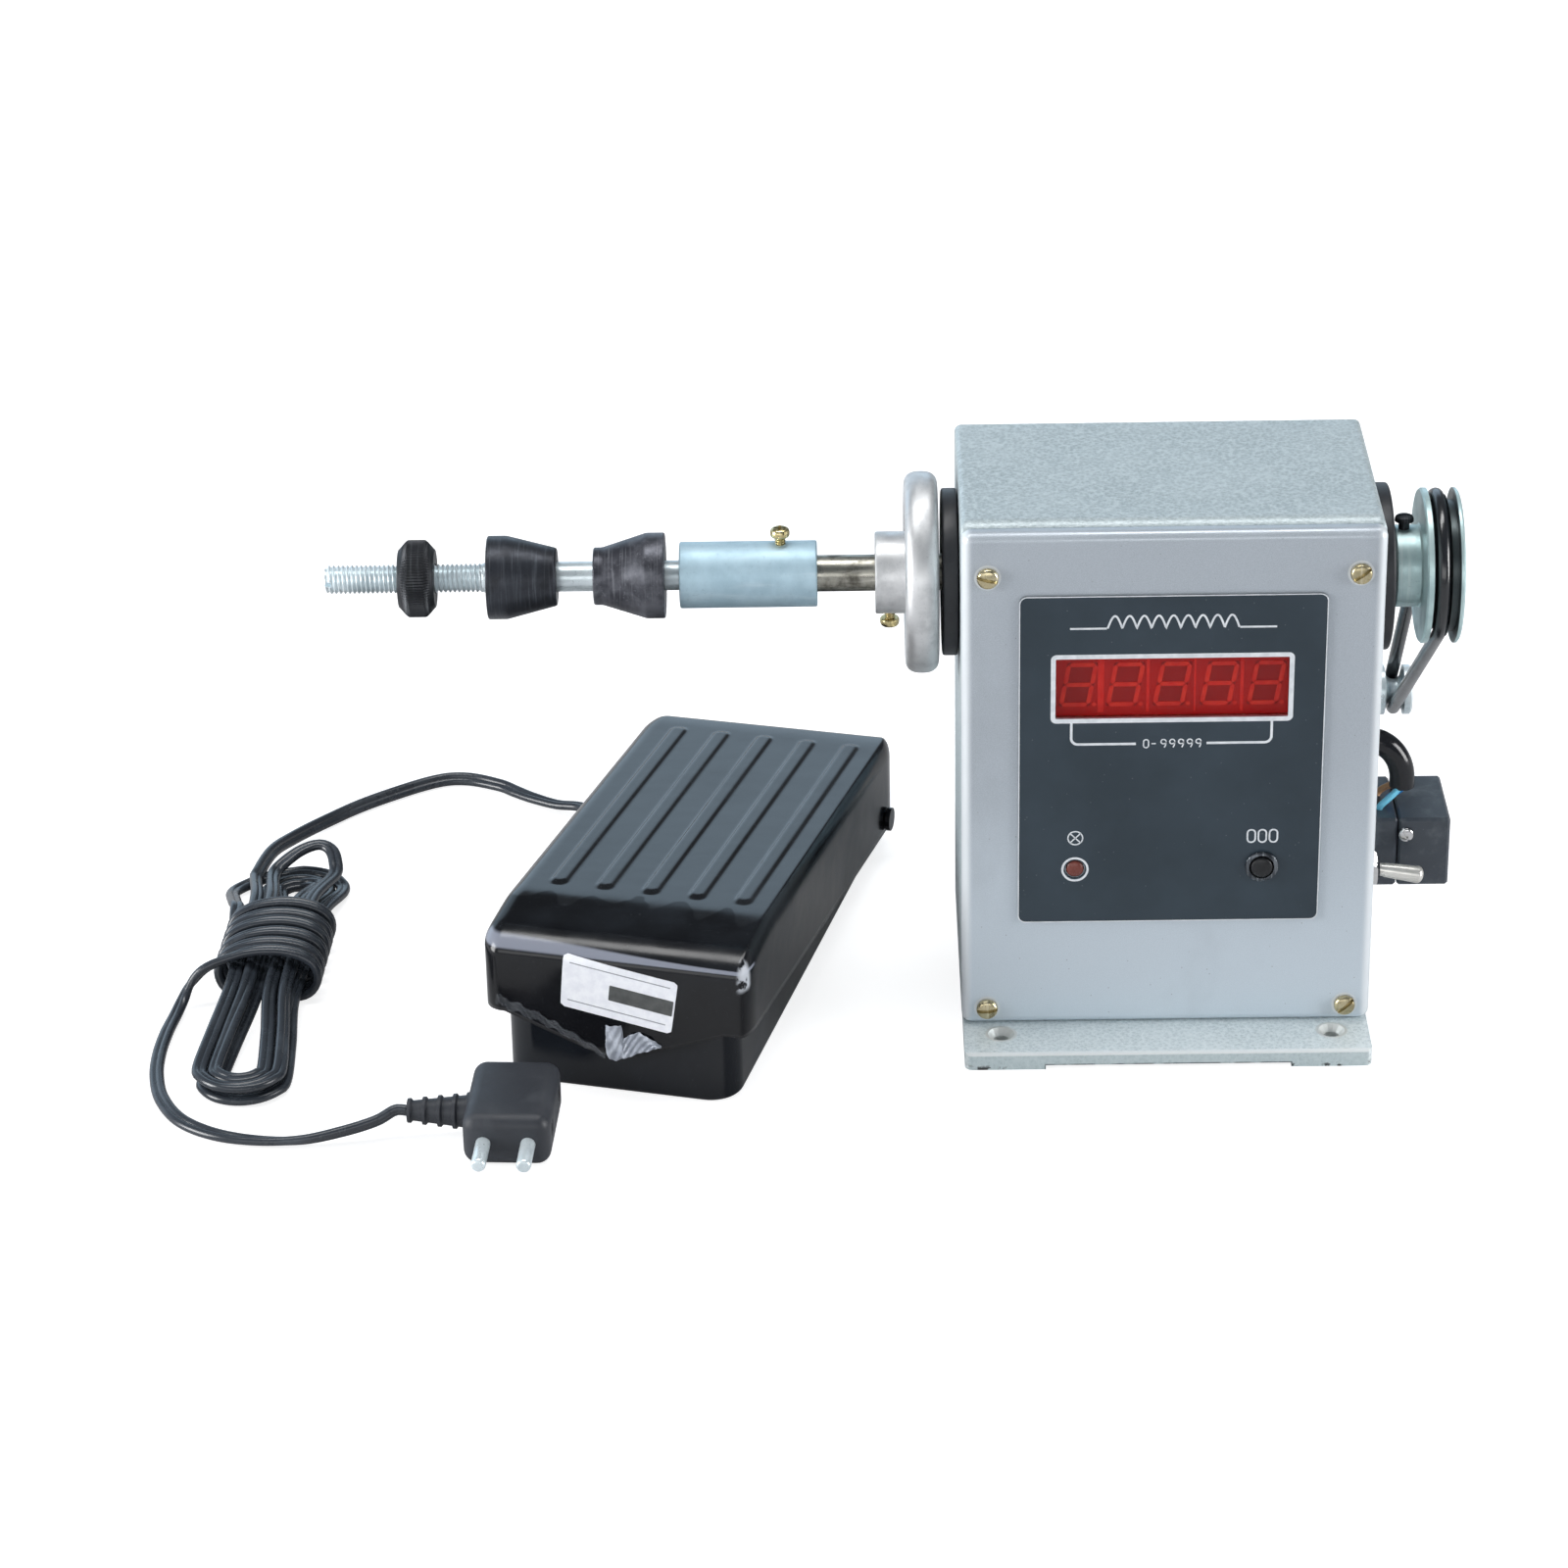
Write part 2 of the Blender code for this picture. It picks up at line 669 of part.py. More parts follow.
def make_base(paint):
    """Base plate with two countersunk holes in its front lip and a shallow front relief."""
    base = plate_object("base_plate", [base_outline()], BASE_THICKNESS)
    hole_y = -BASE_DEPTH / 2.0 + BASE_HOLE_INSET
    for index, side in enumerate((-1.0, 1.0)):
        drill = turned_object(f"base_hole_cutter_{index}", [
            (-BASE_THICKNESS / 2.0 - CUT_OVERRUN, BASE_HOLE_R),
            (BASE_THICKNESS / 2.0 - BASE_HOLE_SINK_DEPTH, BASE_HOLE_R),
            (BASE_THICKNESS / 2.0, BASE_HOLE_SINK_R),
            (BASE_THICKNESS / 2.0 + CUT_OVERRUN, BASE_HOLE_SINK_R)], steps=SMALL_STEPS)
        combine(base, as_cutter(drill, (side * BASE_HOLE_X, hole_y, BASE_THICKNESS / 2.0)), "DIFFERENCE")
    relief = box_object("base_relief_cutter",
                        (BASE_RELIEF_WIDTH, BASE_RELIEF_DEPTH + CUT_OVERRUN, BASE_RELIEF_HEIGHT + CUT_OVERRUN),
                        (0.0, -BASE_DEPTH / 2.0 + (BASE_RELIEF_DEPTH - CUT_OVERRUN) / 2.0,
                         (BASE_RELIEF_HEIGHT - CUT_OVERRUN) / 2.0))
    combine(base, as_cutter(relief), "DIFFERENCE")
    return link(base, paint, (0.0, 0.0, BASE_THICKNESS / 2.0))


def cover_screw_places():
    """X and Z of the four front cover screws."""
    rows = (HOUSING_TOP - COVER_SCREW_TOP_DROP, HOUSING_LOW_Z + COVER_SCREW_LOW_RISE)
    return [(side * COVER_SCREW_X, height) for height in rows for side in (-1.0, 1.0)]


def make_housing(paint):
    """Sheet steel box, open at the front, with screw tabs and holes for what passes its walls."""
    low, high = HOUSING_LOW_Z, HOUSING_TOP

    def build(work):
        bmesh.ops.create_cube(work, size=1.0)
        bmesh.ops.scale(work, vec=Vector((HOUSING_WIDTH, BACK_Y - RIM_Y, high - low)), verts=work.verts)
        bmesh.ops.translate(work, vec=Vector((0.0, (BACK_Y + RIM_Y) / 2.0, (high + low) / 2.0)), verts=work.verts)
        front = [face for face in work.faces if face.normal.y < -0.5]
        bmesh.ops.delete(work, geom=front, context="FACES_ONLY")
    shell = bpy.data.objects.new("housing", mesh_from("housing", build))
    round_edges(shell, HOUSING_BEND, 2)
    wall = shell.modifiers.new("sheet", "SOLIDIFY")
    wall.thickness = SHEET
    wall.offset = -1.0
    wall.use_even_offset = True
    for index, (x, z) in enumerate(cover_screw_places()):
        side = math.copysign(1.0, x)
        reach = WALL_X - SHEET + TAB_WELD
        inner = abs(x) - TAB_SIZE / 2.0
        tab = box_object(f"tab_{index}", (reach - inner, TAB_THICKNESS, TAB_SIZE),
                         (side * (reach + inner) / 2.0, RIM_Y + FIT_GAP + TAB_THICKNESS / 2.0,
                          max(z, low + SHEET - TAB_WELD + TAB_SIZE / 2.0)))
        combine(shell, as_cutter(tab), "UNION")
        hole = rod_object(f"tab_hole_cutter_{index}", SCREW_SHANK_R + FIT_GAP, -TAB_SIZE, TAB_SIZE, TINY_STEPS)
        combine(shell, as_cutter(hole, (x, RIM_Y, z), ALONG_Y), "DIFFERENCE")
    for name, radius, y, z, steps in (("spigot", SPIGOT_R, SPINDLE_Y, SPINDLE_Z, ROUND_STEPS),
                                      ("toggle_bush", TOGGLE_BUSH_R, TOGGLE_Y, TOGGLE_Z, SMALL_STEPS),
                                      ("grommet", GROMMET_NECK_R, GROMMET_Y, GROMMET_Z, SMALL_STEPS)):
        start = -WALL_X - CUT_OVERRUN if name == "spigot" else 0.0
        hole = rod_object(f"{name}_hole_cutter", radius + FIT_GAP, start, WALL_X + CUT_OVERRUN, steps)
        combine(shell, as_cutter(hole, (0.0, y, z), ALONG_X), "DIFFERENCE")
    return link(shell, paint)


def make_front_cover(paint):
    """Pressed front cover: a shallow pan with openings and four studs for the counter board."""
    low, high = HOUSING_LOW_Z, HOUSING_TOP

    def build(work):
        bmesh.ops.create_cube(work, size=1.0)
        bmesh.ops.scale(work, vec=Vector((HOUSING_WIDTH, COVER_DEPTH, high - low)), verts=work.verts)
        bmesh.ops.translate(work, vec=Vector((0.0, FRONT_Y + COVER_DEPTH / 2.0, (high + low) / 2.0)),
                            verts=work.verts)
        back = [face for face in work.faces if face.normal.y > 0.5]
        bmesh.ops.delete(work, geom=back, context="FACES_ONLY")
    pan = bpy.data.objects.new("front_cover", mesh_from("front_cover", build))
    round_edges(pan, COVER_BEND, 3)
    wall = pan.modifiers.new("sheet", "SOLIDIFY")
    wall.thickness = SHEET
    wall.offset = -1.0
    for index, (x, z) in enumerate(board_stud_places()):
        stud = rod_object(f"board_stud_{index}", STUD_R, SHEET / 2.0, SHEET + STUD_LENGTH, TINY_STEPS)
        combine(pan, as_cutter(stud, (x, FRONT_Y, z), ALONG_Y), "UNION")
    window = box_object("window_cutter", (WINDOW_WIDTH + 2.0 * FIT_GAP, COVER_DEPTH, WINDOW_HEIGHT + 2.0 * FIT_GAP),
                        (0.0, FRONT_Y, WINDOW_CENTRE_Z))
    combine(pan, as_cutter(window), "DIFFERENCE")
    holes = [(x, z, SCREW_SHANK_R) for x, z in cover_screw_places()]
    holes += [(LED_X, LED_Z, LED_R), (BUTTON_X, BUTTON_Z, BUSH_R)]
    for index, (x, z, radius) in enumerate(holes):
        hole = rod_object(f"cover_hole_cutter_{index}", radius + FIT_GAP, -COVER_DEPTH / 2.0, COVER_DEPTH / 2.0)
        combine(pan, as_cutter(hole, (x, FRONT_Y, z), ALONG_Y), "DIFFERENCE")
    return link(pan, paint)


def board_stud_places():
    """X and Z of the four studs that carry the counter board."""
    return [(side * (BOARD_WIDTH / 2.0 - STUD_INSET), BOARD_CENTRE_Z + row * (BOARD_HEIGHT / 2.0 - STUD_INSET))
            for row in (-1.0, 1.0) for side in (-1.0, 1.0)]


def slotted_screw(name, head_r, head_height, shank_r, shank_length, steps=SMALL_STEPS):
    """Pan-head screw along Z: its head lies below zero, its shank above, its slot across the head."""
    screw = turned_object(name, [(-head_height, head_r * SCREW_DOME_SHARE),
                                 (-head_height * (1.0 - SCREW_DOME_SHARE), head_r),
                                 (0.0, head_r), (0.0, shank_r), (shank_length, shank_r)], steps=steps)
    slot = box_object(f"{name}_slot_cutter", (2.0 * head_r + CUT_OVERRUN, SCREW_SLOT_WIDTH, 2.0 * SCREW_SLOT_DEPTH),
                      (0.0, 0.0, -head_height))
    combine(screw, as_cutter(slot), "DIFFERENCE")
    return frozen(screw)


def make_front_screws(brass):
    """Four cover screws that share one mesh, each with its slot at its own angle."""
    length = SHEET + COVER_DEPTH + TAB_THICKNESS
    first = slotted_screw("front_screw_1", SCREW_HEAD_R, SCREW_HEAD_HEIGHT, SCREW_SHANK_R, length)
    soften(first.data)
    for index, (x, z) in enumerate(cover_screw_places()):
        screw = first if index == 0 else bpy.data.objects.new(f"front_screw_{index + 1}", first.data)
        place = (x, FRONT_Y - FIT_GAP, z)
        if index == 0:
            link(screw, brass, place, ALONG_Y)
        else:
            screw.location = place
            screw.rotation_euler = ALONG_Y
            bpy.data.collections[PARTS_NAME].objects.link(screw)


def make_panel(dark, red, green, black):
    """Overlay, display window, display block and counter board."""
    overlay = plate_object("panel_overlay", [
        rounded_outline(OVERLAY_WIDTH, OVERLAY_HEIGHT, OVERLAY_CORNER, 3),
        [(x, z + WINDOW_CENTRE_Z - OVERLAY_CENTRE_Z) for x, z in
         rounded_outline(WINDOW_WIDTH + 2.0 * FIT_GAP, WINDOW_HEIGHT + 2.0 * FIT_GAP, FIT_GAP, 1)],
        circle_outline(LED_R + FIT_GAP, (LED_X, LED_Z - OVERLAY_CENTRE_Z)),
        circle_outline(BUSH_R + FIT_GAP, (BUTTON_X, BUTTON_Z - OVERLAY_CENTRE_Z))], OVERLAY_THICKNESS)
    overlay_y = FRONT_Y - FIT_GAP - OVERLAY_THICKNESS / 2.0
    link(overlay, dark, (0.0, overlay_y, OVERLAY_CENTRE_Z), (math.pi / 2.0, 0.0, 0.0))
    window_y = FRONT_Y - FIT_GAP - OVERLAY_THICKNESS + WINDOW_THICKNESS / 2.0
    link(box_object("display_window", (WINDOW_WIDTH, WINDOW_THICKNESS, WINDOW_HEIGHT),
                    (0.0, window_y, WINDOW_CENTRE_Z)), red)
    display_y = BOARD_FRONT_Y - FIT_GAP - DISPLAY_THICKNESS / 2.0
    link(box_object("led_display", (DISPLAY_WIDTH, DISPLAY_THICKNESS, DISPLAY_HEIGHT),
                    (0.0, display_y, WINDOW_CENTRE_Z)), black)
    link(box_object("counter_board", (BOARD_WIDTH, BOARD_THICKNESS, BOARD_HEIGHT),
                    (0.0, BOARD_FRONT_Y + BOARD_THICKNESS / 2.0, BOARD_CENTRE_Z)), green)


def make_panel_controls(led_colour, black, grey):
    """Indicator lamp, reset switch with its bush, and reset button."""
    depth = BOARD_FRONT_Y - FIT_GAP - FRONT_Y
    collar = SHEET + FIT_GAP
    lamp = turned_object("indicator_led", [
        (-LED_PROUD, LED_R * SCREW_DOME_SHARE), (-LED_PROUD / 2.0, LED_R), (collar, LED_R), (collar, LED_COLLAR_R),
        (collar + LED_COLLAR_HEIGHT, LED_COLLAR_R), (collar + LED_COLLAR_HEIGHT, LED_R), (depth, LED_R)],
        steps=SMALL_STEPS)
    link(lamp, led_colour, (LED_X, FRONT_Y, LED_Z), ALONG_Y)
    lip = -2.0 * FIT_GAP - OVERLAY_THICKNESS
    well = BUTTON_LENGTH - BUTTON_PROUD + BUTTON_TRAVEL + FIT_GAP
    switch = turned_object("reset_switch", [
        (lip - BUSH_LIP_HEIGHT, BUTTON_R + 2.0 * RUN_GAP), (lip - BUSH_LIP_HEIGHT / 2.0, BUSH_LIP_R),
        (lip, BUSH_LIP_R), (lip, BUSH_R), (collar, BUSH_R), (collar, SWITCH_R), (depth, SWITCH_R)],
        steps=SMALL_STEPS)
    drill = rod_object("reset_well_cutter", BUTTON_R + RUN_GAP, -COVER_DEPTH, well, SMALL_STEPS)
    combine(switch, as_cutter(drill, (BUTTON_X, FRONT_Y, BUTTON_Z), ALONG_Y), "DIFFERENCE")
    link(switch, grey, (BUTTON_X, FRONT_Y, BUTTON_Z), ALONG_Y)
    button = turned_object("reset_button", [
        (-BUTTON_PROUD, BUTTON_R - BUTTON_EDGE), (-BUTTON_PROUD + BUTTON_EDGE, BUTTON_R),
        (BUTTON_LENGTH - BUTTON_PROUD, BUTTON_R)], steps=SMALL_STEPS)
    link(button, black, (BUTTON_X, FRONT_Y, BUTTON_Z), ALONG_Y)


def on_spindle(item, colour):
    """Place a turned part on the spindle's axis."""
    return link(item, colour, (0.0, SPINDLE_Y, SPINDLE_Z), ALONG_X)


def make_bearings(black, steel):
    """Bearing housings on both walls, each with its bearing."""
    outer_face = WALL_X + FIT_GAP + FLANGE_THICKNESS
    spigot_end = WALL_X + FIT_GAP - SPIGOT_LENGTH
    bearing_low = spigot_end + BEARING_LIP + FIT_GAP
    for name, side in (("left", -1.0), ("right", 1.0)):
        outer = [(spigot_end, SPIGOT_R), (WALL_X + FIT_GAP, SPIGOT_R), (WALL_X + FIT_GAP, FLANGE_R),
                 (outer_face - FLANGE_CHAMFER, FLANGE_R), (outer_face, FLANGE_R - FLANGE_CHAMFER)]
        seat_end = bearing_low + BEARING_WIDTH + FIT_GAP
        bore = [(spigot_end, BEARING_SHOULDER_R), (spigot_end + BEARING_LIP, BEARING_SHOULDER_R),
                (spigot_end + BEARING_LIP, BEARING_R + FIT_GAP), (seat_end, BEARING_R + FIT_GAP),
                (seat_end, SHAFT_R + 2.0 * RUN_GAP), (outer_face, SHAFT_R + 2.0 * RUN_GAP)]
        on_spindle(turned_object(f"bearing_flange_{name}", *mirrored(side, outer, bore), steps=FINE_STEPS), black)
        ring = [(bearing_low, BEARING_R), (bearing_low + BEARING_WIDTH, BEARING_R)]
        hole = [(bearing_low, SHAFT_R + RUN_GAP), (bearing_low + BEARING_WIDTH, SHAFT_R + RUN_GAP)]
        on_spindle(turned_object(f"bearing_{name}", *mirrored(side, ring, hole)), steel)


def mirrored(side, outer, bore):
    """Profiles as given for the right side, or reversed for the left."""
    if side > 0.0:
        return outer, bore
    return ([(-station, radius) for station, radius in reversed(outer)],
            [(-station, radius) for station, radius in reversed(bore)])


def straight_bore(left, right, radius):
    """Bore profile of one radius."""
    return [(left, radius), (right, radius)]


def make_spindle(steel, zinc):
    """Spindle shaft, coupling sleeve and threaded arbor."""
    left = SLEEVE_STEP_X + FIT_GAP
    shaft = turned_object("spindle_shaft", [
        (left, SHAFT_R), (SHAFT_RIGHT_X - ARBOR_CHAMFER, SHAFT_R), (SHAFT_RIGHT_X, SHAFT_R - ARBOR_CHAMFER)])
    on_spindle(shaft, steel)
    sleeve = turned_object("coupling_sleeve", [
        (SLEEVE_LEFT_X, SLEEVE_R - SLEEVE_CHAMFER), (SLEEVE_LEFT_X + SLEEVE_CHAMFER, SLEEVE_R),
        (SLEEVE_RIGHT_X - SLEEVE_CHAMFER, SLEEVE_R), (SLEEVE_RIGHT_X, SLEEVE_R - SLEEVE_CHAMFER)],
        [(SLEEVE_LEFT_X, ROD_R + RUN_GAP), (SLEEVE_STEP_X, ROD_R + RUN_GAP),
         (SLEEVE_STEP_X, SHAFT_R + RUN_GAP), (SLEEVE_RIGHT_X, SHAFT_R + RUN_GAP)], steps=FINE_STEPS)
    drill_for_clamp(sleeve, SLEEVE_SCREW_X, SLEEVE_R, 1.0)
    on_spindle(sleeve, zinc)
    arbor = turned_object("threaded_arbor", [
        (ARBOR_LEFT_X, THREAD_ROOT_R), (ARBOR_LEFT_X + ARBOR_CHAMFER, THREAD_R),
        (THREAD_END_X, THREAD_R), (THREAD_END_X + FIT_GAP, ROD_R), (SLEEVE_STEP_X - FIT_GAP, ROD_R)])
    slot = box_object("arbor_slot_cutter", (2.0 * ARBOR_SLOT_DEPTH, 2.0 * ROD_R + CUT_OVERRUN, ARBOR_SLOT_WIDTH),
                      (ARBOR_LEFT_X, SPINDLE_Y, SPINDLE_Z))
    combine(arbor, as_cutter(slot), "DIFFERENCE")
    on_spindle(arbor, zinc)


def drill_for_clamp(item, x, radius, up):
    """Cut the radial hole that a clamping screw goes through."""
    drill = rod_object(f"{item.name}_screw_cutter", SCREW_SHANK_R + FIT_GAP, 0.0, radius + CUT_OVERRUN, TINY_STEPS)
    turn = (0.0, 0.0, 0.0) if up > 0.0 else (math.pi, 0.0, 0.0)
    combine(item, as_cutter(drill, (x, SPINDLE_Y, SPINDLE_Z), turn), "DIFFERENCE")


def make_clamp_screw(name, colour, x, surface_r, up, head_r, head_height, proud):
    """Radial clamping screw whose tip stops just off the shaft."""
    length = surface_r + proud - SHAFT_R - 2.0 * FIT_GAP
    screw = slotted_screw(name, head_r, head_height, SCREW_SHANK_R, length, TINY_STEPS)
    soften(screw.data)
    turn = (math.pi, 0.0, 0.0) if up > 0.0 else (0.0, 0.0, 0.0)
    link(screw, colour, (x, SPINDLE_Y, SPINDLE_Z + up * (surface_r + proud)), turn)


def make_handwheel(aluminium):
    """Cast handwheel: hub, recessed web and a rim of rounded section."""
    left, right = WHEEL_RIM_LEFT_X, WHEEL_RIM_LEFT_X + WHEEL_RIM_WIDTH
    middle = (left + right) / 2.0
    half_web = WHEEL_WEB_THICKNESS / 2.0
    centre_r = (WHEEL_RIM_R + WHEEL_RIM_INNER_R) / 2.0
    half_r = (WHEEL_RIM_R - WHEEL_RIM_INNER_R) / 2.0
    rim = []
    for step in range(RIM_POINTS):
        angle = math.pi * (0.5 + RIM_SWEEP_SHARE * (1.0 - 2.0 * step / (RIM_POINTS - 1)))
        rim.append((middle + WHEEL_RIM_WIDTH / 2.0 * math.cos(angle), centre_r + half_r * math.sin(angle)))
    outer = [(WHEEL_HUB_LEFT_X, WHEEL_HUB_R - WHEEL_HUB_CHAMFER),
             (WHEEL_HUB_LEFT_X + WHEEL_HUB_CHAMFER, WHEEL_HUB_R),
             (middle - half_web - WHEEL_HUB_CHAMFER, WHEEL_HUB_R),
             (middle - half_web, WHEEL_HUB_R + WHEEL_HUB_CHAMFER),
             (middle - half_web, WHEEL_RIM_INNER_R)] + rim
    outer += [(middle + half_web, WHEEL_RIM_INNER_R), (middle + half_web, WHEEL_HUB_R + WHEEL_HUB_CHAMFER),
              (middle + half_web + WHEEL_HUB_CHAMFER, WHEEL_HUB_R), (right, WHEEL_HUB_R)]
    wheel = turned_object("handwheel", outer, straight_bore(WHEEL_HUB_LEFT_X, right, SHAFT_R + RUN_GAP),
                          steps=FINE_STEPS)
    drill_for_clamp(wheel, WHEEL_SCREW_X, WHEEL_HUB_R, -1.0)
    on_spindle(wheel, aluminium)


def make_cones(black):
    """The two clamping cones, small ends facing, and the knurled nut."""
    left, right = LEFT_CONE_X, LEFT_CONE_X + LEFT_CONE_LENGTH
    cone = turned_object("cone_left", [
        (left, LEFT_CONE_BIG_R - CONE_CHAMFER), (left + CONE_CHAMFER, LEFT_CONE_BIG_R),
        (left + LEFT_CONE_BAND, LEFT_CONE_BIG_R), (right - CONE_CHAMFER, LEFT_CONE_SMALL_R),
        (right, LEFT_CONE_SMALL_R - CONE_CHAMFER)], straight_bore(left, right, ROD_R + RUN_GAP), FINE_STEPS)
    on_spindle(cone, black)
    left, right = RIGHT_CONE_X, RIGHT_CONE_X + RIGHT_CONE_LENGTH
    cone = turned_object("cone_right", [
        (left, RIGHT_CONE_SMALL_R - CONE_CHAMFER), (left + CONE_CHAMFER, RIGHT_CONE_SMALL_R),
        (left + RIGHT_CONE_NOSE, RIGHT_CONE_SMALL_R), (right - RIGHT_CONE_BAND, RIGHT_CONE_BIG_R),
        (right - CONE_CHAMFER, RIGHT_CONE_BIG_R), (right, RIGHT_CONE_BIG_R - CONE_CHAMFER)],
        straight_bore(left, right, ROD_R + RUN_GAP), FINE_STEPS)
    on_spindle(cone, black)
    left, right = NUT_LEFT_X, NUT_LEFT_X + NUT_LENGTH
    nut = turned_object("knurled_nut", [
        (left, NUT_SHOULDER_R), (left + NUT_SHOULDER_LENGTH, NUT_KNURL_R - NUT_TAPER_LENGTH),
        (left + NUT_SHOULDER_LENGTH + NUT_TAPER_LENGTH, NUT_KNURL_R),
        (right - NUT_SHOULDER_LENGTH - NUT_TAPER_LENGTH, NUT_KNURL_R),
        (right - NUT_SHOULDER_LENGTH, NUT_KNURL_R - NUT_TAPER_LENGTH), (right, NUT_SHOULDER_R)],
        straight_bore(left, right, THREAD_R + RUN_GAP), FINE_STEPS)
    on_spindle(nut, black)


def groove(pitch_r, rim_r):
    """Belt groove profile about the belt's own plane."""
    floor = pitch_r - BELT_R - BELT_SEAT_GAP
    return [(BELT_X - GROOVE_MOUTH_HALF, rim_r), (BELT_X - GROOVE_FLOOR_HALF, floor),
            (BELT_X + GROOVE_FLOOR_HALF, floor), (BELT_X + GROOVE_MOUTH_HALF, rim_r)]


def make_drive_pulley(zinc):
    """Pulley on the spindle's right end, with its hub towards the housing."""
    outer = [(PULLEY_HUB_LEFT_X, PULLEY_HUB_R - CONE_CHAMFER), (PULLEY_HUB_LEFT_X + CONE_CHAMFER, PULLEY_HUB_R),
             (PULLEY_RIM_LEFT_X, PULLEY_HUB_R), (PULLEY_RIM_LEFT_X, PULLEY_RIM_R)]
    outer += groove(BELT_PITCH_R, PULLEY_RIM_R)
    outer += [(PULLEY_RIM_RIGHT_X - CONE_CHAMFER, PULLEY_RIM_R), (PULLEY_RIM_RIGHT_X, PULLEY_RIM_R - CONE_CHAMFER)]
    pulley = turned_object("drive_pulley", outer,
                           straight_bore(PULLEY_HUB_LEFT_X, PULLEY_RIM_RIGHT_X, SHAFT_R + RUN_GAP), FINE_STEPS)
    drill_for_clamp(pulley, PULLEY_SCREW_X, PULLEY_HUB_R, 1.0)
    on_spindle(pulley, zinc)


def belt_path():
    """Open belt line round both pulleys: two arcs joined by their outer tangents."""
    large = np.array([SPINDLE_Y, SPINDLE_Z])
    small = np.array([MOTOR_Y, MOTOR_Z])
    run = small - large
    heading = math.atan2(run[1], run[0])
    spread = math.acos((BELT_PITCH_R - MOTOR_PITCH_R) / np.linalg.norm(run))
    around = np.linspace(heading + spread, heading - spread + 2.0 * math.pi, BELT_ARC_POINTS)
    big_arc = large + BELT_PITCH_R * np.stack([np.cos(around), np.sin(around)], axis=1)
    back = np.linspace(heading - spread, heading + spread, BELT_SMALL_ARC_POINTS)
    small_arc = small + MOTOR_PITCH_R * np.stack([np.cos(back), np.sin(back)], axis=1)
    share = np.linspace(0.0, 1.0, BELT_SIDE_POINTS + 2)[1:-1, None]
    down = big_arc[-1] + share * (small_arc[0] - big_arc[-1])
    up = small_arc[-1] + share * (big_arc[0] - small_arc[-1])
    loop = np.vstack([big_arc, down, small_arc, up])
    return [(BELT_X, float(y), float(z)) for y, z in loop]


def make_drive(steel, zinc, rubber, iron):
    """Belt, motor with end caps, motor shaft, motor pulley and motor cradle."""
    link(tube_object("drive_belt", belt_path(), BELT_R, 2, closed=True), rubber)
    place = (0.0, MOTOR_Y, MOTOR_Z)
    left, right = MOTOR_LEFT_X, MOTOR_LEFT_X + MOTOR_LENGTH
    link(turned_object("motor_body", straight_bore(left, right, MOTOR_R),
                       straight_bore(left, right, MOTOR_SHAFT_R + RUN_GAP), FINE_STEPS), iron, place, ALONG_X)
    start = right + FIT_GAP
    cap_outer = [(start, MOTOR_R), (start + MOTOR_CAP_LENGTH - MOTOR_CAP_ROUND, MOTOR_R),
                 (start + MOTOR_CAP_LENGTH, MOTOR_R - MOTOR_CAP_ROUND), (start + MOTOR_CAP_LENGTH, MOTOR_CAP_NOSE_R),
                 (start + MOTOR_CAP_LENGTH + MOTOR_CAP_NOSE_LENGTH, MOTOR_CAP_NOSE_R - MOTOR_CAP_NOSE_LENGTH / 2.0)]
    cap_bore = straight_bore(start, cap_outer[-1][0], MOTOR_SHAFT_R + RUN_GAP)
    link(turned_object("motor_cap_right", cap_outer, cap_bore), zinc, place, ALONG_X)
    middle = (left + right) / 2.0
    other = [(2.0 * middle - station, radius) for station, radius in reversed(cap_outer)]
    other_bore = [(2.0 * middle - station, radius) for station, radius in reversed(cap_bore)]
    link(turned_object("motor_cap_left", other, other_bore), zinc, place, ALONG_X)
    pulley_left = BELT_X - MOTOR_PULLEY_WIDTH / 2.0
    pulley_right = BELT_X + MOTOR_PULLEY_WIDTH / 2.0
    shaft_end = pulley_right + MOTOR_SHAFT_NOSE
    shaft = turned_object("motor_shaft", straight_bore(other[0][0] - MOTOR_SHAFT_TAIL, shaft_end, MOTOR_SHAFT_R),
                          steps=SMALL_STEPS)
    link(shaft, steel, place, ALONG_X)
    rim = [(pulley_left, MOTOR_PULLEY_R)] + groove(MOTOR_PITCH_R, MOTOR_PULLEY_R) + [(pulley_right, MOTOR_PULLEY_R)]
    link(turned_object("motor_pulley", rim, straight_bore(pulley_left, pulley_right, MOTOR_SHAFT_R + RUN_GAP),
                       SMALL_STEPS), zinc, place, ALONG_X)
    low = BASE_THICKNESS + FIT_GAP
    high = MOTOR_Z - MOTOR_R + CRADLE_RISE
    cradle = box_object("motor_cradle", (CRADLE_LENGTH, CRADLE_WIDTH, high - low),
                        (middle, MOTOR_Y, (low + high) / 2.0))
    bed = rod_object("cradle_bed_cutter", MOTOR_R + FIT_GAP, left, right, FINE_STEPS)
    combine(cradle, as_cutter(bed, place, ALONG_X), "DIFFERENCE")
    link(cradle, iron)


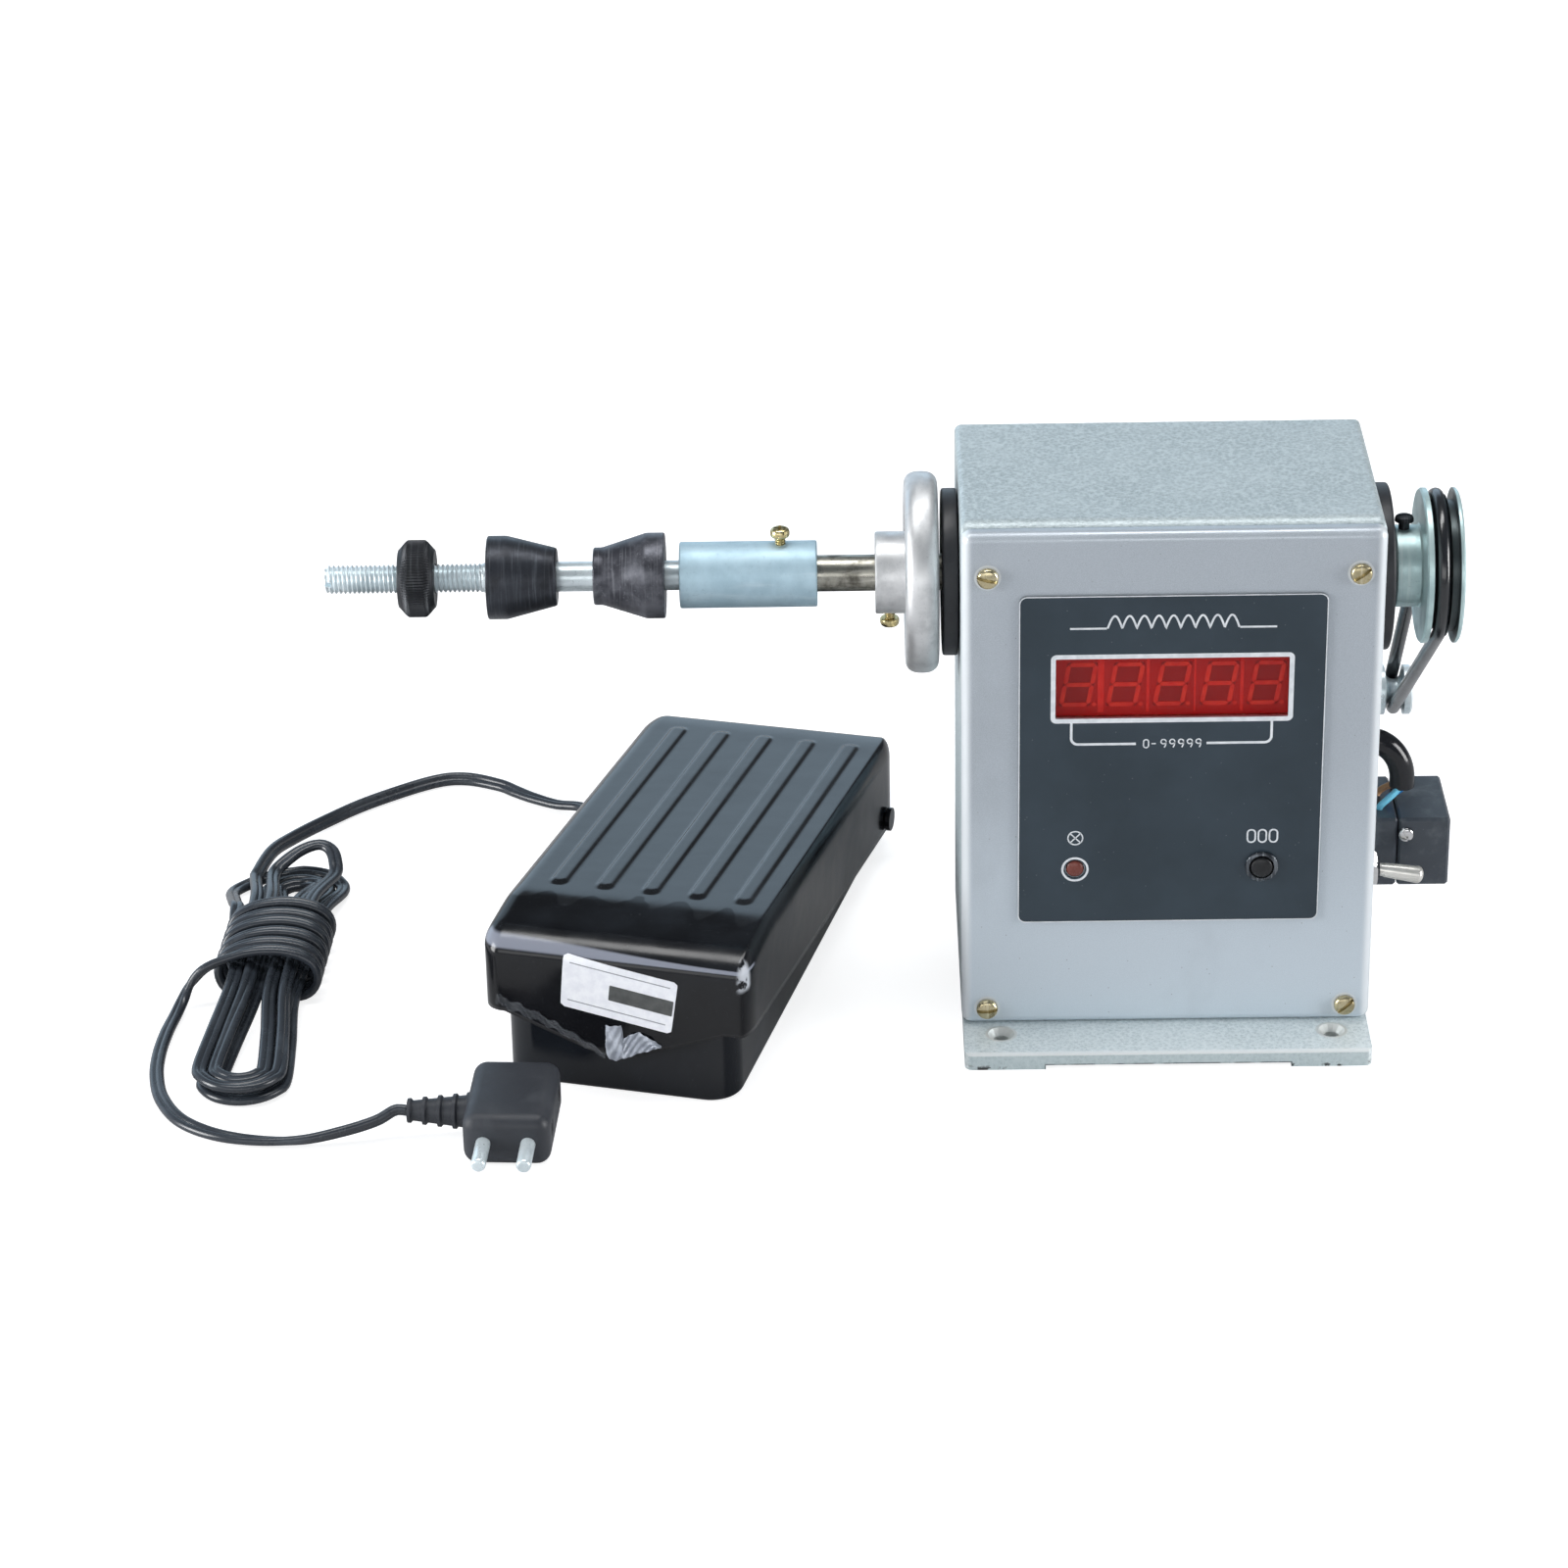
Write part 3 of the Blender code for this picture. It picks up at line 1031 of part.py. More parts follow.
def make_turn_counter(black, green):
    """Toothless signal disc on the spindle and the sensor that reads it."""
    hub_left = DISC_X - DISC_HUB_LENGTH / 2.0
    hub_right = DISC_X + DISC_HUB_LENGTH / 2.0
    half = DISC_THICKNESS / 2.0
    disc = turned_object("counter_disc", [
        (hub_left, DISC_HUB_R), (DISC_X - half, DISC_HUB_R), (DISC_X - half, DISC_R), (DISC_X + half, DISC_R),
        (DISC_X + half, DISC_HUB_R), (hub_right, DISC_HUB_R)],
        straight_bore(hub_left, hub_right, SHAFT_R + RUN_GAP))
    on_spindle(disc, black)
    near = SPINDLE_Y + DISC_R + SENSOR_CLEARANCE
    far = BACK_Y - SHEET - FIT_GAP
    link(box_object("counter_sensor", (SENSOR_WIDTH, far - near, SENSOR_HEIGHT),
                    (DISC_X, (near + far) / 2.0, SPINDLE_Z)), green)


def make_toggle(black, chrome):
    """Toggle switch body behind the right wall, its nut outside and its lever."""
    inner = WALL_X - SHEET - FIT_GAP
    mouth = WALL_X + TOGGLE_BUSH_PROUD
    body = box_object("toggle_body", (TOGGLE_BODY_LENGTH, TOGGLE_BODY_WIDTH, TOGGLE_BODY_HEIGHT),
                      (inner - TOGGLE_BODY_LENGTH / 2.0, TOGGLE_Y, TOGGLE_Z))
    bush = rod_object("toggle_bush", TOGGLE_BUSH_R, inner - TAB_WELD, mouth)
    combine(body, as_cutter(bush, (0.0, TOGGLE_Y, TOGGLE_Z), ALONG_X), "UNION")
    well = rod_object("toggle_well_cutter", TOGGLE_ROOT_R + RUN_GAP, mouth - TOGGLE_WELL_DEPTH,
                      mouth, SMALL_STEPS, TOGGLE_MOUTH_R)
    combine(body, as_cutter(well, (0.0, TOGGLE_Y, TOGGLE_Z), ALONG_X), "DIFFERENCE")
    link(body, black)
    nut = plate_object("toggle_nut", [circle_outline(TOGGLE_NUT_R, steps=NUT_SIDES),
                                      circle_outline(TOGGLE_BUSH_R + FIT_GAP)], TOGGLE_NUT_THICKNESS)
    link(nut, chrome, (WALL_X + FIT_GAP + TOGGLE_NUT_THICKNESS / 2.0, TOGGLE_Y, TOGGLE_Z), ALONG_X)
    tip = TOGGLE_LEVER_LENGTH
    lever = turned_object("toggle_lever", [
        (-TOGGLE_LEVER_TAIL, TOGGLE_NECK_R), (0.0, TOGGLE_ROOT_R - RUN_GAP), (TOGGLE_LEVER_TAIL, TOGGLE_NECK_R),
        (TOGGLE_NECK_LENGTH, TOGGLE_ROOT_R), (tip - TOGGLE_SWELL_R, TOGGLE_SWELL_R),
        (tip - TOGGLE_SWELL_R * (1.0 - SCREW_DOME_SHARE), TOGGLE_SWELL_R * TOGGLE_TIP_SHARE),
        (tip, TOGGLE_SWELL_R * SCREW_DOME_SHARE)], steps=SMALL_STEPS)
    link(lever, chrome, (mouth - TOGGLE_PIVOT_SINK, TOGGLE_Y, TOGGLE_Z), (0.0, math.pi / 2.0 + TOGGLE_TILT, 0.0))


def make_socket(black, steel):
    """Two-part socket block with two pin holes in its outer face, and its screw."""
    middle_y = SOCKET_FRONT_Y + SOCKET_DEPTH / 2.0
    middle_z = SOCKET_LOW_Z + SOCKET_HEIGHT / 2.0
    inner_left = WALL_X + FIT_GAP
    seam = inner_left + SOCKET_INNER_WIDTH
    outer_left = seam + FIT_GAP
    outer_right = outer_left + SOCKET_OUTER_WIDTH
    link(box_object("socket_base", (SOCKET_INNER_WIDTH, SOCKET_DEPTH, SOCKET_HEIGHT),
                    ((inner_left + seam) / 2.0, middle_y, middle_z), SOCKET_EDGE, 1), black)
    cover = box_object("socket_cover", (SOCKET_OUTER_WIDTH, SOCKET_DEPTH, SOCKET_HEIGHT),
                       ((outer_left + outer_right) / 2.0, middle_y, middle_z), SOCKET_EDGE, 1)
    for index, side in enumerate((-1.0, 1.0)):
        hole = rod_object(f"socket_hole_cutter_{index}", PLUG_PIN_R + FIT_GAP,
                          outer_right - PLUG_PIN_LENGTH - SOCKET_HOLE_SPARE, outer_right + CUT_OVERRUN, TINY_STEPS)
        place = (0.0, middle_y + side * PLUG_PIN_PITCH / 2.0, middle_z)
        combine(cover, as_cutter(hole, place, ALONG_X), "DIFFERENCE")
    screw_x = outer_left + SOCKET_SCREW_INSET
    screw_z = SOCKET_LOW_Z + SOCKET_HEIGHT - SOCKET_SCREW_DROP
    bore = rod_object("socket_screw_cutter", SOCKET_SCREW_SHANK_R + FIT_GAP, -CUT_OVERRUN,
                      SOCKET_SCREW_LENGTH + 2.0 * FIT_GAP, TINY_STEPS)
    combine(cover, as_cutter(bore, (screw_x, SOCKET_FRONT_Y, screw_z), ALONG_Y), "DIFFERENCE")
    link(cover, black)
    screw = slotted_screw("socket_screw", SOCKET_SCREW_R, SOCKET_SCREW_HEAD, SOCKET_SCREW_SHANK_R,
                          SOCKET_SCREW_LENGTH, TINY_STEPS)
    soften(screw.data)
    link(screw, steel, (screw_x, SOCKET_FRONT_Y - FIT_GAP, screw_z), ALONG_Y)


def sleeve_path():
    """Sleeve line: out of the wall, over a quarter ellipse and straight down."""
    start_x = WALL_X - LEAD_SLEEVE_INSIDE
    angles = np.linspace(0.0, math.pi / 2.0, LEAD_SLEEVE_POINTS)
    arc = [(WALL_X + LEAD_SLEEVE_OUT * math.sin(angle), GROMMET_Y,
            GROMMET_Z - LEAD_SLEEVE_DROP * (1.0 - math.cos(angle))) for angle in angles]
    end = (arc[-1][0], GROMMET_Y, GROMMET_Z - LEAD_SLEEVE_DROP - LEAD_SLEEVE_TAIL)
    return [(start_x, GROMMET_Y, GROMMET_Z)] + arc + [end]


def make_side_lead(black, blues, tan):
    """Grommet, black sleeve and the three wires that go on from it into the socket block."""
    lip = GROMMET_LIP
    outer = [(WALL_X - SHEET - FIT_GAP - lip, GROMMET_R), (WALL_X - SHEET - FIT_GAP, GROMMET_R),
             (WALL_X - SHEET - FIT_GAP, GROMMET_NECK_R), (WALL_X + FIT_GAP, GROMMET_NECK_R),
             (WALL_X + FIT_GAP, GROMMET_R), (WALL_X + FIT_GAP + lip, GROMMET_R - FIT_GAP)]
    grommet = turned_object("lead_grommet", outer,
                            straight_bore(outer[0][0], outer[-1][0], LEAD_SLEEVE_R + 2.0 * FIT_GAP), SMALL_STEPS)
    link(grommet, black, (0.0, GROMMET_Y, GROMMET_Z), ALONG_X)
    path = sleeve_path()
    link(tube_object("lead_sleeve", path, LEAD_SLEEVE_R, 2), black)
    end = Vector(path[-1])
    landing_z = SOCKET_LOW_Z + SOCKET_HEIGHT + FIT_GAP
    stub = Vector((0.0, 0.0, 2.0 * WIRE_R))
    names = ("wire_pale_blue", "wire_blue", "wire_tan")
    for index, (name, colour) in enumerate(zip(names, (*blues, tan))):
        angle = 2.0 * math.pi * index / WIRE_COUNT + WIRE_TURN
        start = end + Vector((WIRE_RING_R * math.cos(angle), WIRE_RING_R * math.sin(angle), -FIT_GAP))
        landing = Vector((end.x - WIRE_SWEEP + WIRE_RING_R * math.cos(angle),
                          end.y + WIRE_SPREAD * math.sin(angle), landing_z))
        reach = Vector((0.0, 0.0, (start.z - landing.z) / 3.0))
        bow = Vector((0.0, WIRE_BOW * math.sin(angle), 0.0))
        route = smooth_bezier(start - stub, start - reach + bow, landing + reach + bow, landing + stub, WIRE_POINTS)
        link(tube_object(name, [tuple(start)] + route + [tuple(landing)], WIRE_R, 1), colour)


def smooth_bezier(first, second, third, fourth, count):
    """Points on a cubic curve with two end points and two handles."""
    points = []
    for step in range(count):
        share = step / (count - 1)
        rest = 1.0 - share
        points.append(tuple(first * rest ** 3 + second * 3.0 * rest ** 2 * share
                            + third * 3.0 * rest * share ** 2 + fourth * share ** 3))
    return points


def pan_top(along):
    """Height of the pedal cover's upper surface at a distance from the tray's near wall."""
    stations = [-PAN_NEAR_OVERHANG, PAN_SHOULDER_Y, PAN_CROWN_Y, PAN_SLOPE_END_Y,
                TRAY_LENGTH + PAN_FAR_OVERHANG]
    shoulder = PAN_NEAR_HEIGHT + (PAN_CROWN_HEIGHT - PAN_NEAR_HEIGHT) * PAN_SHOULDER_SHARE
    heights = [PAN_NEAR_HEIGHT, shoulder, PAN_CROWN_HEIGHT, PAN_SLOPE_END_HEIGHT, PAN_FAR_HEIGHT]
    return float(np.interp(along, stations, heights))


def make_pedal_cover(enamel, frame):
    """Pressed cover: crowned top with five ribs, skirts that fall to the hinge, and a near tongue."""
    near, far = -PAN_NEAR_OVERHANG, TRAY_LENGTH + PAN_FAR_OVERHANG
    half = TRAY_WIDTH / 2.0 + PAN_OVERHANG
    cuts = [PAN_SHOULDER_Y, PAN_CROWN_Y, PAN_SLOPE_END_Y]

    def build(work):
        bmesh.ops.create_cube(work, size=1.0)
        bmesh.ops.scale(work, vec=Vector((2.0 * half, far - near, PAN_NEAR_HEIGHT)), verts=work.verts)
        bmesh.ops.translate(work, vec=Vector((0.0, (near + far) / 2.0, PAN_NEAR_HEIGHT / 2.0)), verts=work.verts)
        low = [face for face in work.faces if face.normal.z < -0.5]
        bmesh.ops.delete(work, geom=low, context="FACES_ONLY")
        for cut in cuts:
            everything = work.verts[:] + work.edges[:] + work.faces[:]
            bmesh.ops.bisect_plane(work, geom=everything, plane_co=(0.0, cut, 0.0), plane_no=(0.0, 1.0, 0.0))
        for side in (-TONGUE_HALF_WIDTH, 0.0, TONGUE_HALF_WIDTH):
            front = [face for face in work.faces if face.normal.y < -0.5]
            edges = {edge for face in front for edge in face.edges}
            corners = {corner for face in front for corner in face.verts}
            bmesh.ops.bisect_plane(work, geom=list(corners) + list(edges) + front,
                                   plane_co=(side, 0.0, 0.0), plane_no=(1.0, 0.0, 0.0))
        for corner in work.verts:
            if corner.co.z > PAN_NEAR_HEIGHT / 2.0:
                corner.co.z = pan_top(corner.co.y)
            else:
                share = (corner.co.y - near) / (far - near)
                corner.co.z = PAN_SKIRT_NEAR_Z + (PAN_SKIRT_FAR_Z - PAN_SKIRT_NEAR_Z) * share
                if abs(corner.co.x) < TONGUE_HALF_WIDTH / 2.0 and corner.co.y < near / 2.0:
                    corner.co.z = TONGUE_TIP_Z
        bmesh.ops.translate(work, vec=Vector((0.0, -HINGE_Y, -HINGE_Z)), verts=work.verts)
    pan = bpy.data.objects.new("pedal_cover", mesh_from("pedal_cover", build))
    round_edges(pan, PAN_EDGE, 3)
    wall = pan.modifiers.new("sheet", "SOLIDIFY")
    wall.thickness = PEDAL_SHEET
    wall.offset = -1.0
    add_ribs(pan, frame)
    hole = rod_object("cover_pin_cutter", HINGE_PIN_R + RUN_GAP, -half - CUT_OVERRUN, half + CUT_OVERRUN, SMALL_STEPS)
    combine(pan, as_cutter(hole, (0.0, HINGE_Y, HINGE_Z), ALONG_X, frame), "DIFFERENCE")
    return link(pan, enamel, (0.0, HINGE_Y, HINGE_Z), (0.0, 0.0, 0.0), frame)


def add_ribs(pan, frame):
    """Join the raised ribs to the straight slope of the cover."""
    rise = PAN_SLOPE_END_HEIGHT - PAN_CROWN_HEIGHT
    slope = math.atan2(rise, PAN_SLOPE_END_Y - PAN_CROWN_Y)
    middle = (RIB_NEAR_Y + RIB_FAR_Y) / 2.0
    length = (RIB_FAR_Y - RIB_NEAR_Y) / math.cos(slope)
    lift = (RIB_RISE - RIB_SINK) / 2.0
    for index in range(RIB_COUNT):
        outline = rounded_outline(RIB_WIDTH, length, RIB_WIDTH / 2.0 - FIT_GAP, 3)
        rib = plate_object(f"rib_{index}", [outline], RIB_RISE + RIB_SINK)
        across = (index - (RIB_COUNT - 1) / 2.0) * RIB_PITCH
        place = (across, middle - lift * math.sin(slope), pan_top(middle) + lift * math.cos(slope))
        combine(pan, as_cutter(rib, place, (slope, 0.0, 0.0), frame), "UNION")


def make_pedal_tray(enamel, frame):
    """Open tray under the cover, with holes for the hinge pin and the cord."""
    def build(work):
        bmesh.ops.create_cube(work, size=1.0)
        bmesh.ops.scale(work, vec=Vector((TRAY_WIDTH, TRAY_LENGTH, TRAY_HEIGHT)), verts=work.verts)
        bmesh.ops.translate(work, vec=Vector((0.0, TRAY_LENGTH / 2.0, TRAY_HEIGHT / 2.0)), verts=work.verts)
        top = [face for face in work.faces if face.normal.z > 0.5]
        bmesh.ops.delete(work, geom=top, context="FACES_ONLY")
        upright = [edge for edge in work.edges
                   if abs(edge.verts[0].co.z - edge.verts[1].co.z) > TRAY_HEIGHT / 2.0]
        bmesh.ops.bevel(work, geom=upright, offset=TRAY_CORNER, segments=4, profile=0.5, affect="EDGES")
    tray = bpy.data.objects.new("pedal_tray", mesh_from("pedal_tray", build))
    wall = tray.modifiers.new("sheet", "SOLIDIFY")
    wall.thickness = PEDAL_SHEET
    wall.offset = -1.0
    half = TRAY_WIDTH / 2.0
    pin = rod_object("tray_pin_cutter", HINGE_PIN_R + FIT_GAP, -half - CUT_OVERRUN, half + CUT_OVERRUN, SMALL_STEPS)
    combine(tray, as_cutter(pin, (0.0, HINGE_Y, HINGE_Z), ALONG_X, frame), "DIFFERENCE")
    cord = rod_object("tray_cord_cutter", CORD_BUSH_R + FIT_GAP, -half - CUT_OVERRUN, -half + TRAY_CORNER)
    combine(tray, as_cutter(cord, (0.0, CORD_EXIT_Y, CORD_EXIT_Z), ALONG_X, frame), "DIFFERENCE")
    return link(tray, enamel, parent=frame)


def make_pedal_inside(steel, black, frame):
    """Hinge pin, return spring, speed controller and cord bush."""
    grip = TRAY_WIDTH / 2.0 + PAN_OVERHANG + FIT_GAP
    pin = turned_object("hinge_pin", [
        (-grip - HINGE_HEAD_HEIGHT, HINGE_HEAD_R), (-grip, HINGE_HEAD_R), (-grip, HINGE_PIN_R),
        (grip, HINGE_PIN_R), (grip, HINGE_HEAD_R), (grip + HINGE_HEAD_HEIGHT, HINGE_HEAD_R)], steps=SMALL_STEPS)
    link(pin, steel, (0.0, HINGE_Y, HINGE_Z), ALONG_X, frame)
    floor = PEDAL_SHEET + FIT_GAP
    ceiling = pan_top(SPRING_Y + SPRING_R) - PEDAL_SHEET - SPRING_SEAT_GAP
    rise = ceiling - floor - 2.0 * SPRING_WIRE_R
    count = SPRING_TURNS * SPRING_POINTS_PER_TURN
    coil = []
    for index in range(count + 1):
        angle = 2.0 * math.pi * index / SPRING_POINTS_PER_TURN
        coil.append((SPRING_R * math.cos(angle), SPRING_R * math.sin(angle),
                     floor + SPRING_WIRE_R + rise * index / count))
    link(tube_object("pedal_spring", coil, SPRING_WIRE_R, 0), steel, (0.0, SPRING_Y, 0.0), parent=frame)
    link(box_object("speed_controller", (CONTROLLER_WIDTH, CONTROLLER_LENGTH, CONTROLLER_HEIGHT),
                    (0.0, CONTROLLER_Y, floor + CONTROLLER_HEIGHT / 2.0), CONTROLLER_EDGE, 1), black, parent=frame)
    wall = -TRAY_WIDTH / 2.0
    bush = turned_object("cord_bush", [
        (wall - FIT_GAP - CORD_BUSH_LIP, CORD_BUSH_LIP_R - FIT_GAP), (wall - FIT_GAP, CORD_BUSH_LIP_R),
        (wall - FIT_GAP, CORD_BUSH_R), (wall + PEDAL_SHEET + FIT_GAP, CORD_BUSH_R)], steps=SMALL_STEPS)
    link(bush, black, (0.0, CORD_EXIT_Y, CORD_EXIT_Z), ALONG_X, frame)


def hank_ring(turn):
    """Ring number of the hank's spiral: inwards on the upper layer, outwards on the lower."""
    reverse = HANK_LOOPS / 2.0
    return HANK_FIRST_RING - turn if turn < reverse else HANK_FIRST_RING + turn - 2.0 * reverse


def hank_layer(turn):
    """Layer height share: 1 on the upper layer, 0 on the lower, changing over half a turn."""
    start = HANK_LOOPS / 2.0 - 0.5
    share = min(max((turn - start) / 0.5, 0.0), 1.0)
    return math.cos(math.pi / 2.0 * share ** HANK_CLIMB_POWER)


def hank_half_width(along, ring):
    """Half width of a loop at a place along the hank, narrow at the waist and wide at the ends."""
    waist_high = WRAP_TOP_A + WAIST_MARGIN
    waist_low = WRAP_TOP_A - WRAP_PITCH * WRAP_TURNS - WAIST_MARGIN
    if along > waist_high:
        share = (along - waist_high) / (HANK_TOP_A - waist_high)
    else:
        share = max(0.0, (waist_low - along) / (waist_low - HANK_BOTTOM_A))
    share = min(share, 1.0)
    blend = share * share * (3.0 - 2.0 * share)
    return HANK_WAIST_HALF + (HANK_END_HALF - HANK_WAIST_HALF) * blend + ring * HANK_STEP, blend


def hank_point(turn):
    """Place on the looped part of the hank: first run down the left side, then round."""
    ring = hank_ring(turn)
    phase = turn % 1.0
    arc = HANK_ARC_SHARE
    run = 0.5 - 2.0 * arc
    end_half = HANK_END_HALF + ring * HANK_STEP
    if phase < arc or phase >= 1.0 - arc:
        angle = (phase if phase < arc else phase - 1.0) / arc * math.pi / 2.0
        across, along, blend = -end_half * math.sin(angle), HANK_TOP_A + end_half * math.cos(angle), 1.0
    elif phase < 0.5 - arc:
        along = HANK_TOP_A + (HANK_BOTTOM_A - HANK_TOP_A) * (phase - arc) / run
        half, blend = hank_half_width(along, ring)
        across = -half
    elif phase < 0.5 + arc:
        angle = (phase - 0.5) / arc * math.pi / 2.0
        across, along, blend = end_half * math.sin(angle), HANK_BOTTOM_A - end_half * math.cos(angle), 1.0
    else:
        along = HANK_BOTTOM_A + (HANK_TOP_A - HANK_BOTTOM_A) * (phase - 0.5 - arc) / run
        half, blend = hank_half_width(along, ring)
        across = half
    height = HANK_WAIST_Z + (HANK_END_Z - HANK_WAIST_Z) * blend + HANK_LAYER * hank_layer(turn)
    return across, along, height


def wrap_outline():
    """One wrap seen along the hank: from the left middle, under, up the right and over the top."""
    radius = WRAP_HALF_HEIGHT
    straight = WRAP_HALF_WIDTH - radius
    right = np.linspace(-math.pi / 2.0, math.pi / 2.0, 2 * WRAP_ARC_POINTS)
    low = np.linspace(math.pi, 1.5 * math.pi, WRAP_ARC_POINTS)
    high = np.linspace(0.5 * math.pi, math.pi, WRAP_ARC_POINTS)
    return np.vstack([
        np.stack([radius * np.cos(low) - straight, radius * np.sin(low)], axis=1),
        np.stack([radius * np.cos(right) + straight, radius * np.sin(right)], axis=1),
        np.stack([radius * np.cos(high) - straight, radius * np.sin(high)], axis=1)])


def wraps():
    """Points of the wraps round the waist, going down the hank at an even pitch."""
    outline = wrap_outline()
    lengths = np.concatenate([[0.0], np.cumsum(np.linalg.norm(np.diff(outline, axis=0), axis=1))])
    turns = np.linspace(0.0, WRAP_TURNS, int(WRAP_TURNS * HANK_LOOP_POINTS) + 1)
    wanted = (turns % 1.0) * lengths[-1]
    across = np.interp(wanted, lengths, outline[:, 0])
    height = HANK_WAIST_Z + HANK_LAYER / 2.0 + np.interp(wanted, lengths, outline[:, 1])
    return np.stack([across, WRAP_TOP_A - WRAP_PITCH * turns, height], axis=1)


def hank_route():
    """Whole hank as one line: loops, a lead back to the waist, and the wraps."""
    first_point = int(HANK_ARC_SHARE * HANK_LOOP_POINTS)
    loops = [hank_point(index / HANK_LOOP_POINTS)
             for index in range(first_point, HANK_LOOPS * HANK_LOOP_POINTS + 1)]
    around = wraps()
    end_half = HANK_END_HALF + HANK_FIRST_RING * HANK_STEP
    head, rise = HANK_TOP_A - WRAP_TOP_A, around[0][2] - HANK_END_Z
    first, second, third, fourth = RETURN_SHARES
    handles = [(-end_half * first[0], HANK_TOP_A + end_half * first[1], HANK_END_Z),
               (-WRAP_HALF_WIDTH - RETURN_OUT, WRAP_TOP_A + head * second[1], HANK_END_Z + rise * second[0] / 2.0),
               (-WRAP_HALF_WIDTH - RETURN_OUT / 2.0, WRAP_TOP_A + head * third[1], HANK_END_Z + rise * third[0]),
               (-WRAP_HALF_WIDTH, WRAP_TOP_A + head * fourth[1], HANK_END_Z + rise * fourth[0] + RETURN_RISE)]
    lead = smooth_route([loops[-1]] + handles + [around[0]], CORD_STEP / 2.0)[1:-1]
    route = np.vstack([loops, lead, around])
    entry = route[0] + np.array([0.0, 2.0 * CORD_R, 0.0])
    return np.vstack([entry, route])


def hank_to_world(points):
    """Turn the hank's own across, along and height into world places."""
    place = Matrix.Translation((HANK_X, HANK_Y, 0.0)) @ Matrix.Rotation(HANK_TURN, 4, "Z")
    return [tuple(place @ Vector(point)) for point in points]


def least_self_gap(points, radius):
    """Least gap between stretches of one tube that aren't neighbours along it."""
    dense = smooth_dense(points, radius / 2.0)
    lengths = np.concatenate([[0.0], np.cumsum(np.linalg.norm(np.diff(dense, axis=0), axis=1))])
    least = math.inf
    for index in range(0, len(dense), 2):
        apart = np.abs(lengths - lengths[index]) > 6.0 * radius
        if apart.any():
            least = min(least, float(np.min(np.linalg.norm(dense[apart] - dense[index], axis=1))))
    return least - 2.0 * radius


def smooth_dense(points, step):
    """Points along the straight pieces between the given points, at most a step apart."""
    line = np.array(points)
    pieces = []
    for first, second in zip(line, line[1:]):
        count = max(1, int(math.ceil(np.linalg.norm(second - first) / step)))
        pieces.append(first + (second - first) * np.linspace(0.0, 1.0, count, endpoint=False)[:, None])
    return np.vstack(pieces + [line[-1:]])


def joined_route(start, start_heading, points, end, end_heading):
    """Cord line from one joint to another, straight for one diameter at each and square to it."""
    straight = 2.0 * CORD_R
    first = start + start_heading * FIT_GAP
    last = end - end_heading * FIT_GAP
    inner = smooth_route([tuple(first + start_heading * straight)] + points
                         + [tuple(last - end_heading * straight)], CORD_STEP)
    return np.vstack([np.array(first), inner, np.array(last)])


def make_cord(black):
    """Pedal cord: the lead from the pedal, the hank, the tail that runs to the connector."""
    hank = hank_to_world(hank_route())
    turn = Matrix.Translation((PEDAL_X, PEDAL_Y, 0.0)) @ Matrix.Rotation(PEDAL_TURN, 4, "Z")
    exit_u = -TRAY_WIDTH / 2.0 - FIT_GAP - CORD_BUSH_LIP
    exit_point = turn @ Vector((exit_u, CORD_EXIT_Y, CORD_EXIT_Z))
    start = [tuple(turn @ Vector((exit_u + across, CORD_EXIT_Y + along, height)))
             for across, along, height in CORD_LEAD_START]
    outwards = (turn.to_3x3() @ Vector((-1.0, 0.0, 0.0))).normalized()
    enter = (Vector(hank[1]) - Vector(hank[0])).normalized()
    leave = (Vector(hank[-1]) - Vector(hank[-2])).normalized()
    into_plug = Matrix.Rotation(PLUG_TURN, 3, "Z") @ Vector((1.0, 0.0, 0.0))
    boot_end = Vector((PLUG_BOOT_X, PLUG_BOOT_Y, PLUG_AXIS_Z))
    lead = joined_route(exit_point, outwards, start + CORD_LEAD_ROUTE, Vector(hank[0]), enter)
    tail = joined_route(Vector(hank[-1]), leave, CORD_TAIL_ROUTE, boot_end, into_plug)
    link(tube_object("cord_lead", lead, CORD_R, CORD_TUBE_STEPS), black)
    link(tube_object("cord_hank", hank, CORD_R, HANK_TUBE_STEPS), black)
    link(tube_object("cord_tail", tail, CORD_R, CORD_TUBE_STEPS), black)
    gap = least_self_gap(hank, CORD_R)
    lengths = [path_length(line) for line in (lead, hank, tail)]
    print(f"hank: least gap to itself {gap * 1000.0:.2f} mm, wanted over {LEAST_CORD_GAP * 1000.0:.2f} mm")
    print("cord: lead, hank and tail in metres", [round(length, 3) for length in lengths],
          "total", round(sum(lengths), 3))
    print("cord exit", tuple(round(value, 5) for value in exit_point))


